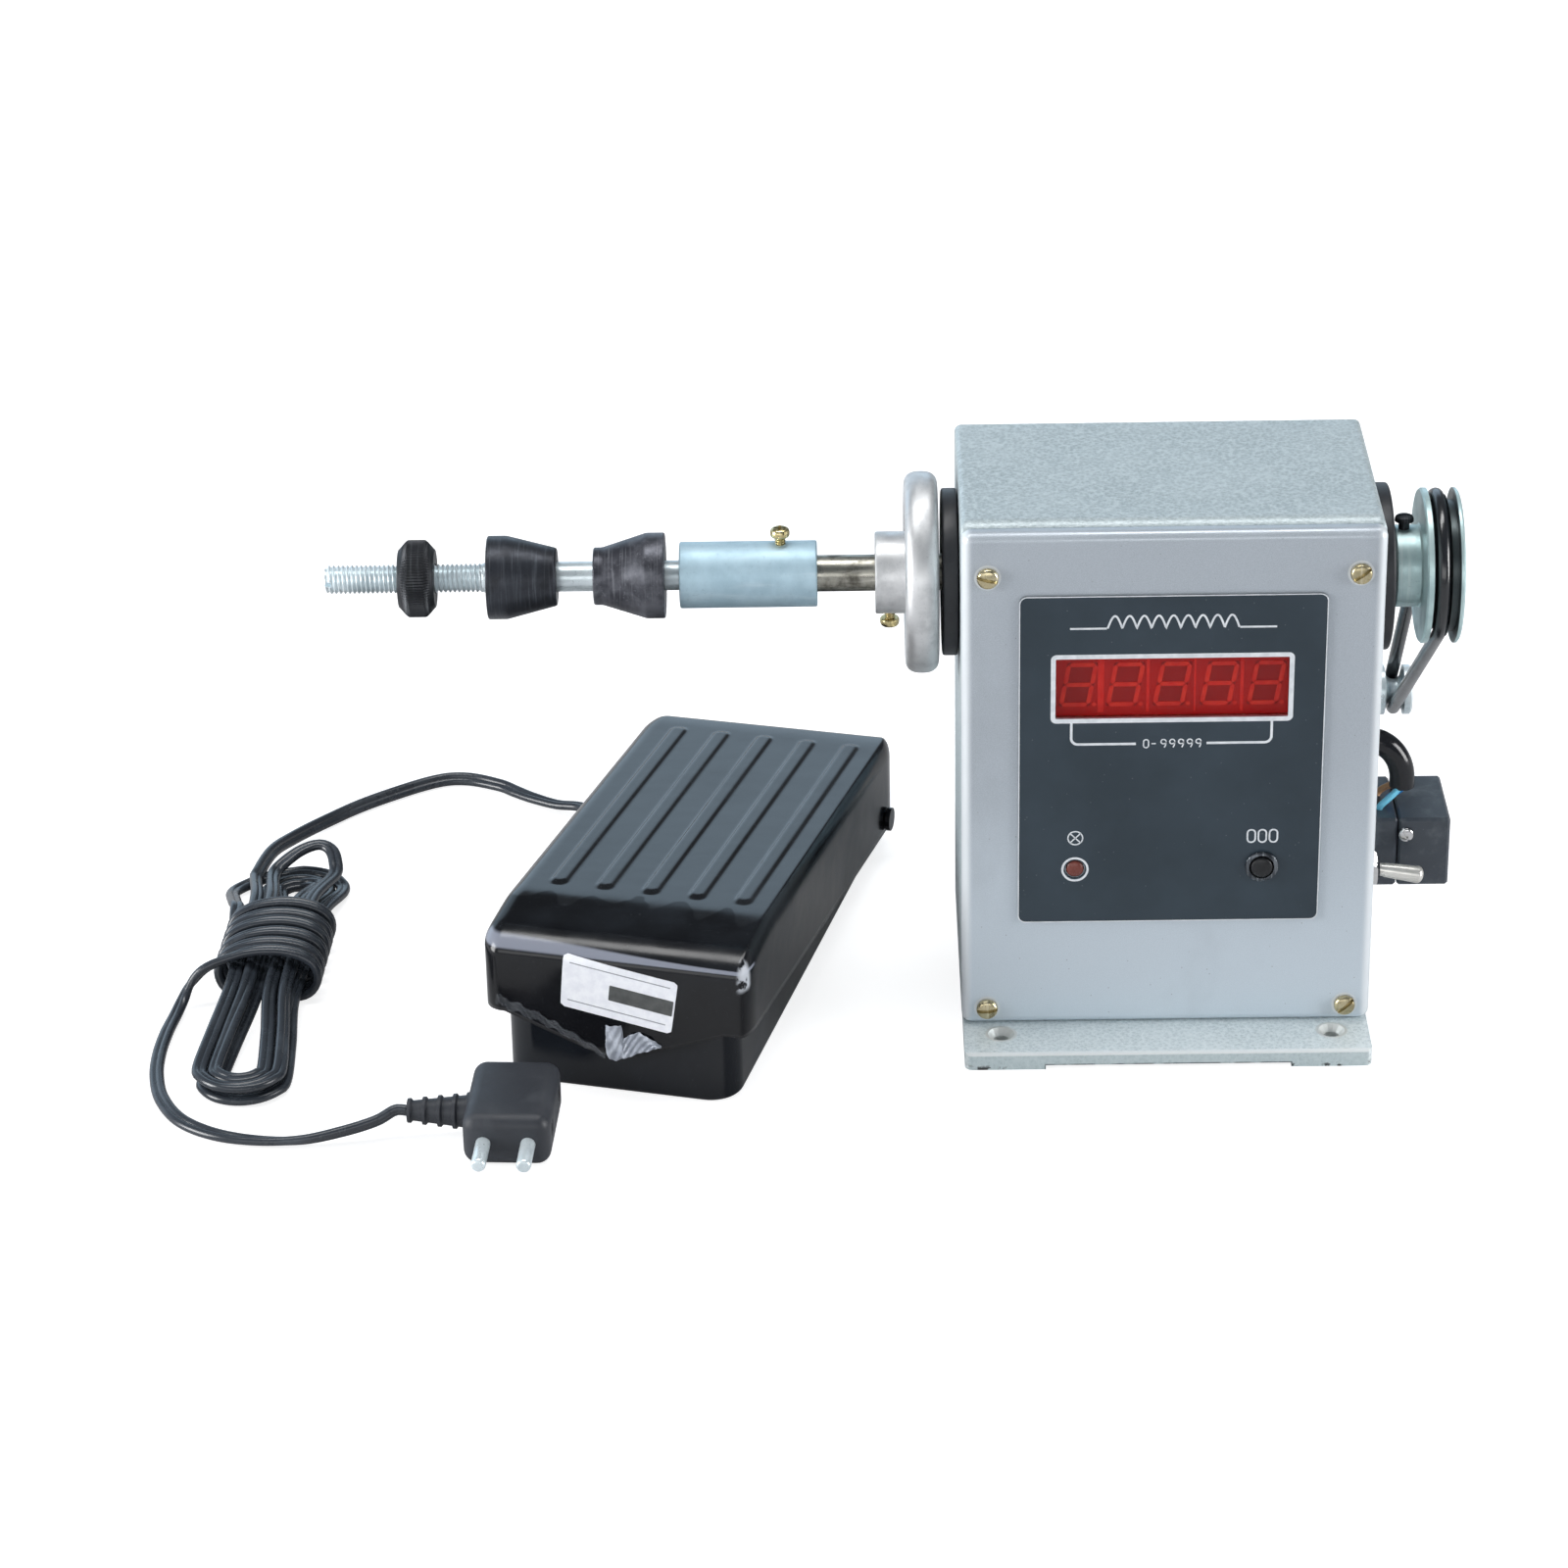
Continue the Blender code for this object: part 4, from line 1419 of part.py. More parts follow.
def make_plug(black):
    """Moulded plug with a ringed boot on one side and two pins on its near face."""
    boot = [(0.0, BOOT_SMALL_R)]
    for ring in range(BOOT_RINGS):
        for share, sunk in BOOT_RING_SHARES:
            station = (ring + share) / BOOT_RINGS
            radius = BOOT_SMALL_R + (BOOT_BIG_R - BOOT_SMALL_R) * station - sunk * BOOT_GROOVE
            boot.append((BOOT_LENGTH * station, radius))
    boot.append((BOOT_LENGTH + PLUG_EDGE, BOOT_BIG_R))
    place = Vector((PLUG_BOOT_X, PLUG_BOOT_Y, PLUG_AXIS_Z))
    middle = BOOT_LENGTH + PLUG_DEPTH / 2.0
    body = box_object("plug", (PLUG_DEPTH, PLUG_LENGTH, PLUG_HEIGHT), (middle, 0.0, 0.0), PLUG_EDGE, 2)
    boot_shape = turned_object("plug_boot", boot, steps=SMALL_STEPS)
    combine(body, as_cutter(boot_shape, place, (0.0, math.pi / 2.0, PLUG_TURN)), "UNION")
    root = PLUG_LENGTH / 2.0 - PLUG_EDGE
    tip = PLUG_LENGTH / 2.0 + PLUG_PIN_LENGTH
    turn = Matrix.Rotation(PLUG_TURN, 3, "Z")
    for index, side in enumerate((-1.0, 1.0)):
        pin = turned_object(f"plug_pin_{index}", [
            (root, PLUG_PIN_R), (tip - PLUG_PIN_EDGE, PLUG_PIN_R), (tip, PLUG_PIN_R - PLUG_PIN_EDGE)],
            steps=TINY_STEPS)
        offset = turn @ Vector((middle + side * PLUG_PIN_PITCH / 2.0, 0.0, 0.0))
        combine(body, as_cutter(pin, place + offset, (math.pi / 2.0, 0.0, PLUG_TURN)), "UNION")
    link(body, black, place, (0.0, 0.0, PLUG_TURN))


def make_pedal(enamel, steel, black):
    """Pedal pieces under one empty that carries the pedal's place and turn."""
    frame = bpy.data.objects.new("pedal_frame", None)
    frame.location = (PEDAL_X, PEDAL_Y, 0.0)
    frame.rotation_euler = (0.0, 0.0, PEDAL_TURN)
    bpy.data.collections[PARTS_NAME].objects.link(frame)
    make_pedal_tray(enamel, frame)
    make_pedal_cover(enamel, frame)
    make_pedal_inside(steel, black, frame)
    make_cord(black)


def main():
    """Model the machine, piece by piece."""
    clear_scene()
    hammer = material("grey_hammer_paint", (0.52, 0.55, 0.54), 0.45, 0.2)
    silver = material("silver_paint", (0.62, 0.64, 0.66), 0.4, 0.3)
    brass = material("brass_screw", (0.62, 0.56, 0.42), 0.35, 0.9)
    slate = material("slate_overlay", (0.06, 0.075, 0.095), 0.45)
    red = material("red_window", (0.45, 0.01, 0.01), 0.2)
    green = material("circuit_green", (0.03, 0.18, 0.08), 0.5)
    black = material("black_plastic", (0.015, 0.015, 0.017), 0.4)
    steel = material("ground_steel", (0.42, 0.4, 0.38), 0.3, 1.0)
    zinc = material("zinc_plate", (0.62, 0.68, 0.74), 0.25, 1.0)
    aluminium = material("cast_aluminium", (0.7, 0.71, 0.72), 0.45, 0.9)
    oxide = material("black_oxide", (0.03, 0.03, 0.032), 0.4, 0.8)
    chrome = material("chrome", (0.75, 0.76, 0.78), 0.12, 1.0)
    rubber = material("belt_rubber", (0.02, 0.02, 0.02), 0.6)
    iron = material("motor_iron", (0.1, 0.11, 0.12), 0.5, 0.6)
    enamel = material("black_enamel", (0.01, 0.011, 0.013), 0.12)
    lamp = material("lamp_red", (0.18, 0.03, 0.02), 0.3)
    bush_grey = material("bush_grey", (0.25, 0.26, 0.28), 0.3, 0.5)
    yellow_zinc = material("yellow_zinc", (0.72, 0.6, 0.33), 0.3, 1.0)
    blues = (material("pale_blue_wire", (0.12, 0.45, 0.75), 0.4), material("blue_wire", (0.02, 0.12, 0.5), 0.4))
    tan = material("tan_wire", (0.62, 0.48, 0.33), 0.4)

    make_base(hammer)
    make_housing(hammer)
    make_front_cover(silver)
    make_front_screws(brass)
    make_panel(slate, red, green, black)
    make_panel_controls(lamp, black, bush_grey)
    make_bearings(oxide, steel)
    make_spindle(steel, zinc)
    make_clamp_screw("coupling_screw", yellow_zinc, SLEEVE_SCREW_X, SLEEVE_R, 1.0, CLAMP_HEAD_R,
                     CLAMP_HEAD_HEIGHT, CLAMP_PROUD)
    make_handwheel(aluminium)
    make_clamp_screw("handwheel_screw", yellow_zinc, WHEEL_SCREW_X, WHEEL_HUB_R, -1.0, CLAMP_HEAD_R,
                     CLAMP_HEAD_HEIGHT, CLAMP_PROUD)
    make_cones(oxide)
    make_drive_pulley(zinc)
    make_clamp_screw("pulley_screw", oxide, PULLEY_SCREW_X, PULLEY_HUB_R, 1.0, PULLEY_SCREW_HEAD_R,
                     PULLEY_SCREW_HEAD_HEIGHT, PULLEY_SCREW_PROUD)
    make_drive(steel, zinc, rubber, iron)
    make_turn_counter(black, green)
    make_toggle(black, chrome)
    make_socket(black, steel)
    make_side_lead(black, blues, tan)
    make_pedal(enamel, steel, black)
    make_plug(black)


main()
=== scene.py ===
"""Looks of an electric wire coil winding machine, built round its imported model.

X runs along the winding spindle, the operator stands on the -Y side and +Z is up.
All sizes are in metres. The pedal's own frame has u across, v towards its hinge and z up.
"""

import json
import logging
import math
from collections.abc import Callable
from dataclasses import dataclass
from enum import Enum
from functools import reduce
from typing import ClassVar

import bmesh
import bpy
import numpy as np
from mathutils import Matrix, Vector

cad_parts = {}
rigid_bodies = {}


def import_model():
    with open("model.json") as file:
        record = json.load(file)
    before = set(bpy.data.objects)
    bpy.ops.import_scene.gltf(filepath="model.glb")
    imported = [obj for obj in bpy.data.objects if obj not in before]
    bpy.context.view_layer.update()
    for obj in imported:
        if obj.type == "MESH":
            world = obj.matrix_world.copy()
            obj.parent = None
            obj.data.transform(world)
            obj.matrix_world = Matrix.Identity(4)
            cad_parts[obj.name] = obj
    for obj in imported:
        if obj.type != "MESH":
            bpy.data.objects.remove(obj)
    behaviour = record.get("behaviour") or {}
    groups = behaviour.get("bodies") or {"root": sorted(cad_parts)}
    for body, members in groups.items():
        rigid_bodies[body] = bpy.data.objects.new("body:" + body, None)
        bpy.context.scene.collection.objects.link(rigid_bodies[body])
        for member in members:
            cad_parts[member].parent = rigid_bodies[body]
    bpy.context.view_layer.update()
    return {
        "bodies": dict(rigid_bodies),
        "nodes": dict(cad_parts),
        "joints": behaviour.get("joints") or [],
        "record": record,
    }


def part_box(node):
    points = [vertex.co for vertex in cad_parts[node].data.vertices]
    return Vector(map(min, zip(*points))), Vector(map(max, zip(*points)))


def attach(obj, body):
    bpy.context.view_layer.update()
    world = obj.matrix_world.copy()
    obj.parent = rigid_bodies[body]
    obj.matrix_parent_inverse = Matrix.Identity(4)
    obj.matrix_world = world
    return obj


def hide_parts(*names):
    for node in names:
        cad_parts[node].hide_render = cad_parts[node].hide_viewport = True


LOG = logging.getLogger("coil_winder")
Array = np.ndarray
Colour = tuple[float, float, float]
Point = tuple[float, float, float]
Band = tuple[float, float]
Ripple = Callable[[Array, Array], Array]
Socket = bpy.types.NodeSocket
AXIS_X: Point = (1.0, 0.0, 0.0)
AXIS_Y: Point = (0.0, 1.0, 0.0)
AXIS_Z: Point = (0.0, 0.0, 1.0)
TO_FRONT: Point = (0.0, -1.0, 0.0)
TINY = 1e-12
MERGE_DISTANCE = 0.000002


def tone(red: float, green: float, blue: float) -> Colour:
    """Linear colour of a screen colour from 0 to 255, by the usual screen curve.

    Args:
        red, green, blue: Screen values.

    Returns:
        Linear values from 0 to 1.
    """
    screen = np.array([red, green, blue]) / 255.0
    linear = np.where(screen <= 0.04045, screen / 12.92, ((screen + 0.055) / 1.055) ** 2.4)
    return tuple(float(value) for value in linear)


# Surfaces


@dataclass(frozen=True)
class Surface:
    """Points of a piece with the four-sided and three-sided faces that join them."""

    points: Array
    quads: Array
    fans: Array

    def plus(self, *others: "Surface") -> "Surface":
        """Several surfaces as one.

        Args:
            others: Surfaces to add.

        Returns:
            One surface that holds them all.
        """
        every = (self, *others)
        starts = np.cumsum([0] + [len(item.points) for item in every])[:-1]
        return Surface(np.vstack([item.points for item in every]),
                       np.vstack([item.quads + start for item, start in zip(every, starts)]),
                       np.vstack([item.fans + start for item, start in zip(every, starts)]))

    def moved(self, place: Point, turn: Array | None = None) -> "Surface":
        """The surface turned about the origin by a matrix, if one is given, and then moved."""
        points = self.points if turn is None else self.points @ np.asarray(turn).T
        return Surface(points + np.array(place), self.quads, self.fans)

    def turned(self, angle: float, axis: str) -> "Surface":
        """The surface turned about an axis by an angle in degrees."""
        return self.moved((0.0, 0.0, 0.0), rotation(math.radians(angle), axis))

    def mirrored(self, side: float, shift: float = 0.0) -> "Surface":
        """The surface as it is for side 1, or mirrored in X for side -1, then shifted along X."""
        return self.moved((shift, 0.0, 0.0), np.diag([side, 1.0, 1.0]))

    def aimed(self, place: Point, heading: Point) -> "Surface":
        """The surface with its +X turned to a heading and its origin moved to a place."""
        turn = Vector(AXIS_X).rotation_difference(Vector(heading).normalized()).to_matrix()
        return self.moved(place, np.array(turn))


def rotation(angle: float, axis: str) -> Array:
    """Rotation matrix about an axis, its angle in radians."""
    return np.array(Matrix.Rotation(angle, 3, axis))


def joined(shapes: list[Surface]) -> Surface:
    """Several surfaces as one."""
    return shapes[0].plus(*shapes[1:])


def unit(rows: Array) -> Array:
    """Vectors along the last axis, each divided by its length."""
    return rows / np.maximum(np.linalg.norm(rows, axis=-1, keepdims=True), TINY)


def travelled(points: Array) -> Array:
    """Distance along a line of points from its start to each of them."""
    return np.concatenate([[0.0], np.cumsum(np.linalg.norm(np.diff(points, axis=0), axis=1))])


def at_distances(points: Array, wanted: Array) -> Array:
    """Points of a line at wanted distances from its start."""
    return np.stack([np.interp(wanted, travelled(points), column) for column in points.T], axis=1)


def on_circle(angle: Array, radius: float = 1.0) -> Array:
    """Points at the given angles round a circle."""
    return radius * np.stack([np.cos(angle), np.sin(angle)], axis=-1)


def grid_surface(points: Array, wrap_rows: bool = False, wrap_columns: bool = False,
                 cap_rows: bool = False) -> Surface:
    """Surface over a grid of points, one face between each four neighbours.

    Args:
        points: Grid of shape rows, columns, 3.
        wrap_rows: Whether the last row joins the first.
        wrap_columns: Whether the last column joins the first.
        cap_rows: Whether the first and last rows are closed by fans to their middles.

    Returns:
        The surface.
    """
    rows, columns = points.shape[:2]
    index = np.arange(rows * columns).reshape(rows, columns)
    if wrap_rows:
        index = np.vstack([index, index[:1]])
    if wrap_columns:
        index = np.hstack([index, index[:, :1]])
    quads = np.stack([index[:-1, :-1], index[1:, :-1], index[1:, 1:], index[:-1, 1:]], axis=-1).reshape(-1, 4)
    flat = points.reshape(-1, 3)
    fans = np.zeros((0, 3), int)
    if cap_rows:
        middles = np.stack([points[0].mean(0), points[-1].mean(0)])
        first = np.stack([np.full(index.shape[1] - 1, len(flat)), index[0, :-1], index[0, 1:]], axis=-1)
        last = np.stack([np.full(index.shape[1] - 1, len(flat) + 1), index[-1, 1:], index[-1, :-1]], axis=-1)
        flat = np.vstack([flat, middles])
        fans = np.vstack([first, last])
    return Surface(flat, quads, fans)


def eased(profile: Array, ease: float, count: int = 4) -> Array:
    """An outline with each inner corner rounded by a short curve.

    Each corner p between a and b becomes (1-s)^2 a' + 2s(1-s) p + s^2 b', where a' and b' lie on
    the two sides at the ease distance, or at under half of a shorter side.

    Args:
        profile: Points of shape n, 2.
        ease: Distance from the corner at which the curve starts.
        count: Points on each curve.

    Returns:
        The rounded outline.
    """
    corner = profile[1:-1]
    back, ahead = profile[:-2] - corner, profile[2:] - corner
    start, end = (corner + unit(side) * np.minimum(ease, 0.45 * np.linalg.norm(side, axis=1, keepdims=True))
                  for side in (back, ahead))
    share = np.linspace(0.0, 1.0, count)[None, :, None]
    curves = (1.0 - share) ** 2 * start[:, None] + 2.0 * share * (1.0 - share) * corner[:, None] \
        + share ** 2 * end[:, None]
    return np.vstack([profile[:1], curves.reshape(-1, 2), profile[-1:]])


def refined(profile: Array, step: float) -> Array:
    """An outline with extra points, so that none lie further apart than a step."""
    lengths = travelled(profile)
    return at_distances(profile, np.union1d(lengths, np.arange(0.0, lengths[-1], step)))


def revolved(profile: Array, steps: int = 96, bore: float = 0.0, ripple: Ripple | None = None) -> Surface:
    """Turned surface about X: each point is (station, r cos a, r sin a).

    Args:
        profile: Stations and radii of the outer side.
        steps: Points round the axis.
        bore: Radius of a hole right through, or 0 for closed ends.
        ripple: Height to add to the radius, worked out from stations and angles.

    Returns:
        The closed surface.
    """
    angle = np.linspace(0.0, 2.0 * math.pi, steps, endpoint=False)[None, :]
    station, radius = profile[:, :1], profile[:, 1:]
    radius = radius + np.zeros_like(angle) if ripple is None else radius + ripple(station, angle)
    grid = np.concatenate([(station + 0.0 * angle)[..., None], on_circle(angle) * radius[..., None]], axis=-1)
    if bore <= 0.0:
        return grid_surface(grid, wrap_columns=True, cap_rows=True)
    hole = grid[[-1, 0]]
    hole[..., 1:] = on_circle(angle, bore)
    return grid_surface(np.vstack([grid, hole]), wrap_rows=True, wrap_columns=True)


def headings(path: Array, closed: bool = False) -> Array:
    """Unit directions along a path or loop, each from the point before to the point after."""
    return unit(np.roll(path, -1, axis=0) - np.roll(path, 1, axis=0) if closed else np.gradient(path, axis=0))


def swept(path: Array, section: Array, rise: Array, closed: bool = False) -> Surface:
    """A section carried along a path.

    Each point is the path's point plus the section's first value across it and its second value
    along the rise direction, once that is made square to the path.

    Args:
        path: Points of shape n, 3.
        section: Outline of shape m, 2, or n, m, 2 where it changes along the path.
        rise: Direction of the section's second axis, for all points or for each.
        closed: Whether the path is a loop.

    Returns:
        The closed surface.
    """
    along = headings(path, closed)
    up = np.broadcast_to(rise, path.shape)
    up = unit(up - along * np.sum(up * along, axis=1, keepdims=True))
    across = np.cross(along, up)
    outline = np.broadcast_to(section, (len(path), *section.shape[-2:]))
    grid = path[:, None] + outline[..., :1] * across[:, None] + outline[..., 1:] * up[:, None]
    return grid_surface(grid, wrap_rows=closed, wrap_columns=True, cap_rows=not closed)


def circle(radius: float, steps: int = 24) -> Array:
    """Points at even steps round a circle, its first point not repeated."""
    return on_circle(np.linspace(0.0, 2.0 * math.pi, steps, endpoint=False), radius)


def rounded_rectangle(width: float, height: float, radius: float, steps: int = 8) -> Array:
    """Closed outline of a rectangle with round corners: four quarter circles about inset centres.

    Args:
        width, height: Outer sizes.
        radius: Corner radius.
        steps: Points on each corner.

    Returns:
        Points of shape 4 steps, 2.
    """
    quarter = np.linspace(0.0, math.pi / 2.0, steps)
    angle = quarter[None, :] + (math.pi / 2.0 * np.arange(4))[:, None]
    signs = np.array([[1.0, 1.0], [-1.0, 1.0], [-1.0, -1.0], [1.0, -1.0]])
    centre = signs * (np.array([width, height]) / 2.0 - radius)
    return (centre[:, None] + on_circle(angle, radius)).reshape(-1, 2)


def edge_lines(low: float, high: float, radius: float, inner: int, steps: int = 6,
               extra: Array | None = None) -> Array:
    """Sample lines across a rounded block, closer together where its edges turn.

    Near each end the lines lie at radius * tan of even angles up to 45 degrees.

    Args:
        low, high: The block's two faces.
        radius: Edge radius.
        inner: Lines between the two edges.
        steps: Lines on each half edge.
        extra: More lines that have to be there.

    Returns:
        Sorted places.
    """
    turn = radius * (1.0 - np.tan(np.linspace(math.pi / 4.0, 0.0, steps)))
    lines = np.concatenate([low + turn, high - turn, np.linspace(low + radius, high - radius, inner)])
    return np.unique(np.round(np.concatenate([lines, [] if extra is None else extra]), 8))


def block_faces(lines: tuple[Array, Array, Array], skip: tuple[str, ...] = ()) -> Surface:
    """The faces of a box as grids that share their sample lines.

    Args:
        lines: Sample lines along X, Y and Z.
        skip: Faces to leave out, such as "+z".

    Returns:
        One surface with doubled points along the edges.
    """
    faces = []
    for axis in range(3):
        first, second = [other for other in range(3) if other != axis]
        for sign, place in (("-", lines[axis][0]), ("+", lines[axis][-1])):
            if sign + "xyz"[axis] in skip:
                continue
            one, two = np.meshgrid(lines[first], lines[second], indexing="ij")
            grid = np.zeros((*one.shape, 3))
            grid[..., first], grid[..., second], grid[..., axis] = one, two, place
            faces.append(grid_surface(grid))
    return joined(faces)


def rounded(points: Array, low: Array, high: Array, radius: float) -> Array:
    """Box points p moved to c + radius * (p - c) / |p - c|, where c is p held inside a smaller box.

    Args:
        points: Points on the box.
        low, high: Its corners. An infinite value leaves that side open.
        radius: Edge radius, by which the inner box is smaller.

    Returns:
        The moved points.
    """
    core = np.clip(points, np.array(low) + radius, np.array(high) - radius)
    return core + radius * unit(points - core)


def rounded_block(size: Point, centre: Point, radius: float) -> Surface:
    """Closed block with round edges.

    Args:
        size: Outer sizes.
        centre: Its middle.
        radius: Edge radius.

    Returns:
        The surface.
    """
    low, high = (np.array(centre) + side * np.array(size) / 2.0 for side in (-1.0, 1.0))
    box = block_faces(tuple(edge_lines(low[axis], high[axis], radius, 4, 5) for axis in range(3)))
    return Surface(rounded(box.points, low, high, radius), box.quads, box.fans)


def smooth_path(knots: Array, step: float) -> Array:
    """Points at an even step along a cubic through the knots, with slopes from their neighbours.

    Args:
        knots: Points of shape n, 3.
        step: Distance between the new points.

    Returns:
        The new points.
    """
    ends = np.vstack([2.0 * knots[0] - knots[1], knots, 2.0 * knots[-1] - knots[-2]])
    before, first, second, after = (ends[shift:len(ends) - 3 + shift, None] for shift in range(4))
    share = np.linspace(0.0, 1.0, 24, endpoint=False)[None, :, None]
    dense = 0.5 * (2.0 * first + (second - before) * share
                   + (2.0 * before - 5.0 * first + 4.0 * second - after) * share ** 2
                   + (3.0 * first - before - 3.0 * second + after) * share ** 3)
    dense = np.vstack([dense.reshape(-1, 3), knots[-1:]])
    whole = travelled(dense)[-1]
    return at_distances(dense, np.linspace(0.0, whole, max(2, int(round(whole / step)) + 1)))


def flat_stroke(points: Array, width: float, depth: float, closed: bool = False) -> Surface:
    """A printed line in the X-Z plane: a thin bar of even width with mitred corners.

    Each side lies half the width off the line, along the mean of its two neighbours' normals and
    divided by the cosine of half the turn.

    Args:
        points: Line of shape n, 2 in X and Z.
        width: Width of the line.
        depth: Thickness along Y.
        closed: Whether it is a loop.

    Returns:
        The closed bar, its back at Y = 0.
    """
    run = unit(np.roll(points, -1, axis=0) - points)
    if not closed:
        run[-1] = run[-2]
    before = np.roll(run, 1, axis=0)
    if not closed:
        before[0] = run[0]
    side = np.stack([-(run + before)[:, 1], (run + before)[:, 0]], axis=1) / 2.0
    offset = side / np.maximum(np.sum(side ** 2, axis=1, keepdims=True), 0.2) * width / 2.0
    left, right = points + offset, points - offset
    grid = np.stack([np.insert(line, 1, level, axis=1) for line, level in
                     ((left, -depth), (right, -depth), (right, 0.0), (left, 0.0))], axis=1)
    return grid_surface(grid, wrap_rows=closed, wrap_columns=True, cap_rows=not closed)


def flat_patch(outline: Array, depth: float) -> Surface:
    """A closed outline in X and Z made into a thin flat shape, its back at Y = 0."""
    rows = [np.insert(outline, 1, level, axis=1) for level in (0.0, -depth)]
    return grid_surface(np.stack(rows), wrap_columns=True, cap_rows=True)


def slotted_head(radius: float, height: float, slot_width: float, slot_depth: float, slots: int) -> Surface:
    """Domed screw head along +X with one slot, or two that cross.

    The head's top is x = h - (h/3) * (d/r)^2 - a steep last tenth, sampled on a square net whose
    lines are closer beside the slots, and dropped by the slot's depth inside them.

    Args:
        radius: Head radius.
        height: Head height.
        slot_width: Width of a slot.
        slot_depth: Depth of a slot.
        slots: How many slots, 1 or 2.

    Returns:
        The closed head, its underside at X = 0.
    """
    edge, wall, slack = slot_width / 2.0 / radius, 0.012, 0.001
    extra = np.array([-edge - wall, -edge, edge, edge + wall])
    lines = np.unique(np.round(np.concatenate([-np.cos(np.linspace(0.0, math.pi, 45)), extra]), 6))
    chord = np.sqrt(np.maximum(1.0 - lines ** 2, 0.0))[:, None]
    y = np.repeat(lines[:, None], len(lines), axis=1)
    z = np.clip(np.where(np.abs(y.T) < edge + 0.02, y.T, y.T * chord), -chord, chord)
    far = np.clip(y ** 2 + z ** 2, 0.0, 1.0)
    top = height * (1.0 - far / 3.0 - far ** 8 / 3.0)
    inside = np.abs(y) <= edge + slack
    if slots > 1:
        inside = (inside | (np.abs(z) <= edge + slack)) & (np.sqrt(far) <= 0.62)
    top = np.where(inside, np.maximum(top - slot_depth, 0.0), top)
    upper = np.stack([top, radius * y, radius * z], axis=-1)
    under = upper.copy()
    under[..., 0] = 0.0
    rim = np.stack([upper[:, [0, -1]], under[:, [0, -1]]])
    sides = [grid_surface(rim[:, :, column]) for column in range(2)]
    return grid_surface(upper).plus(grid_surface(under), *sides)


# Shaders


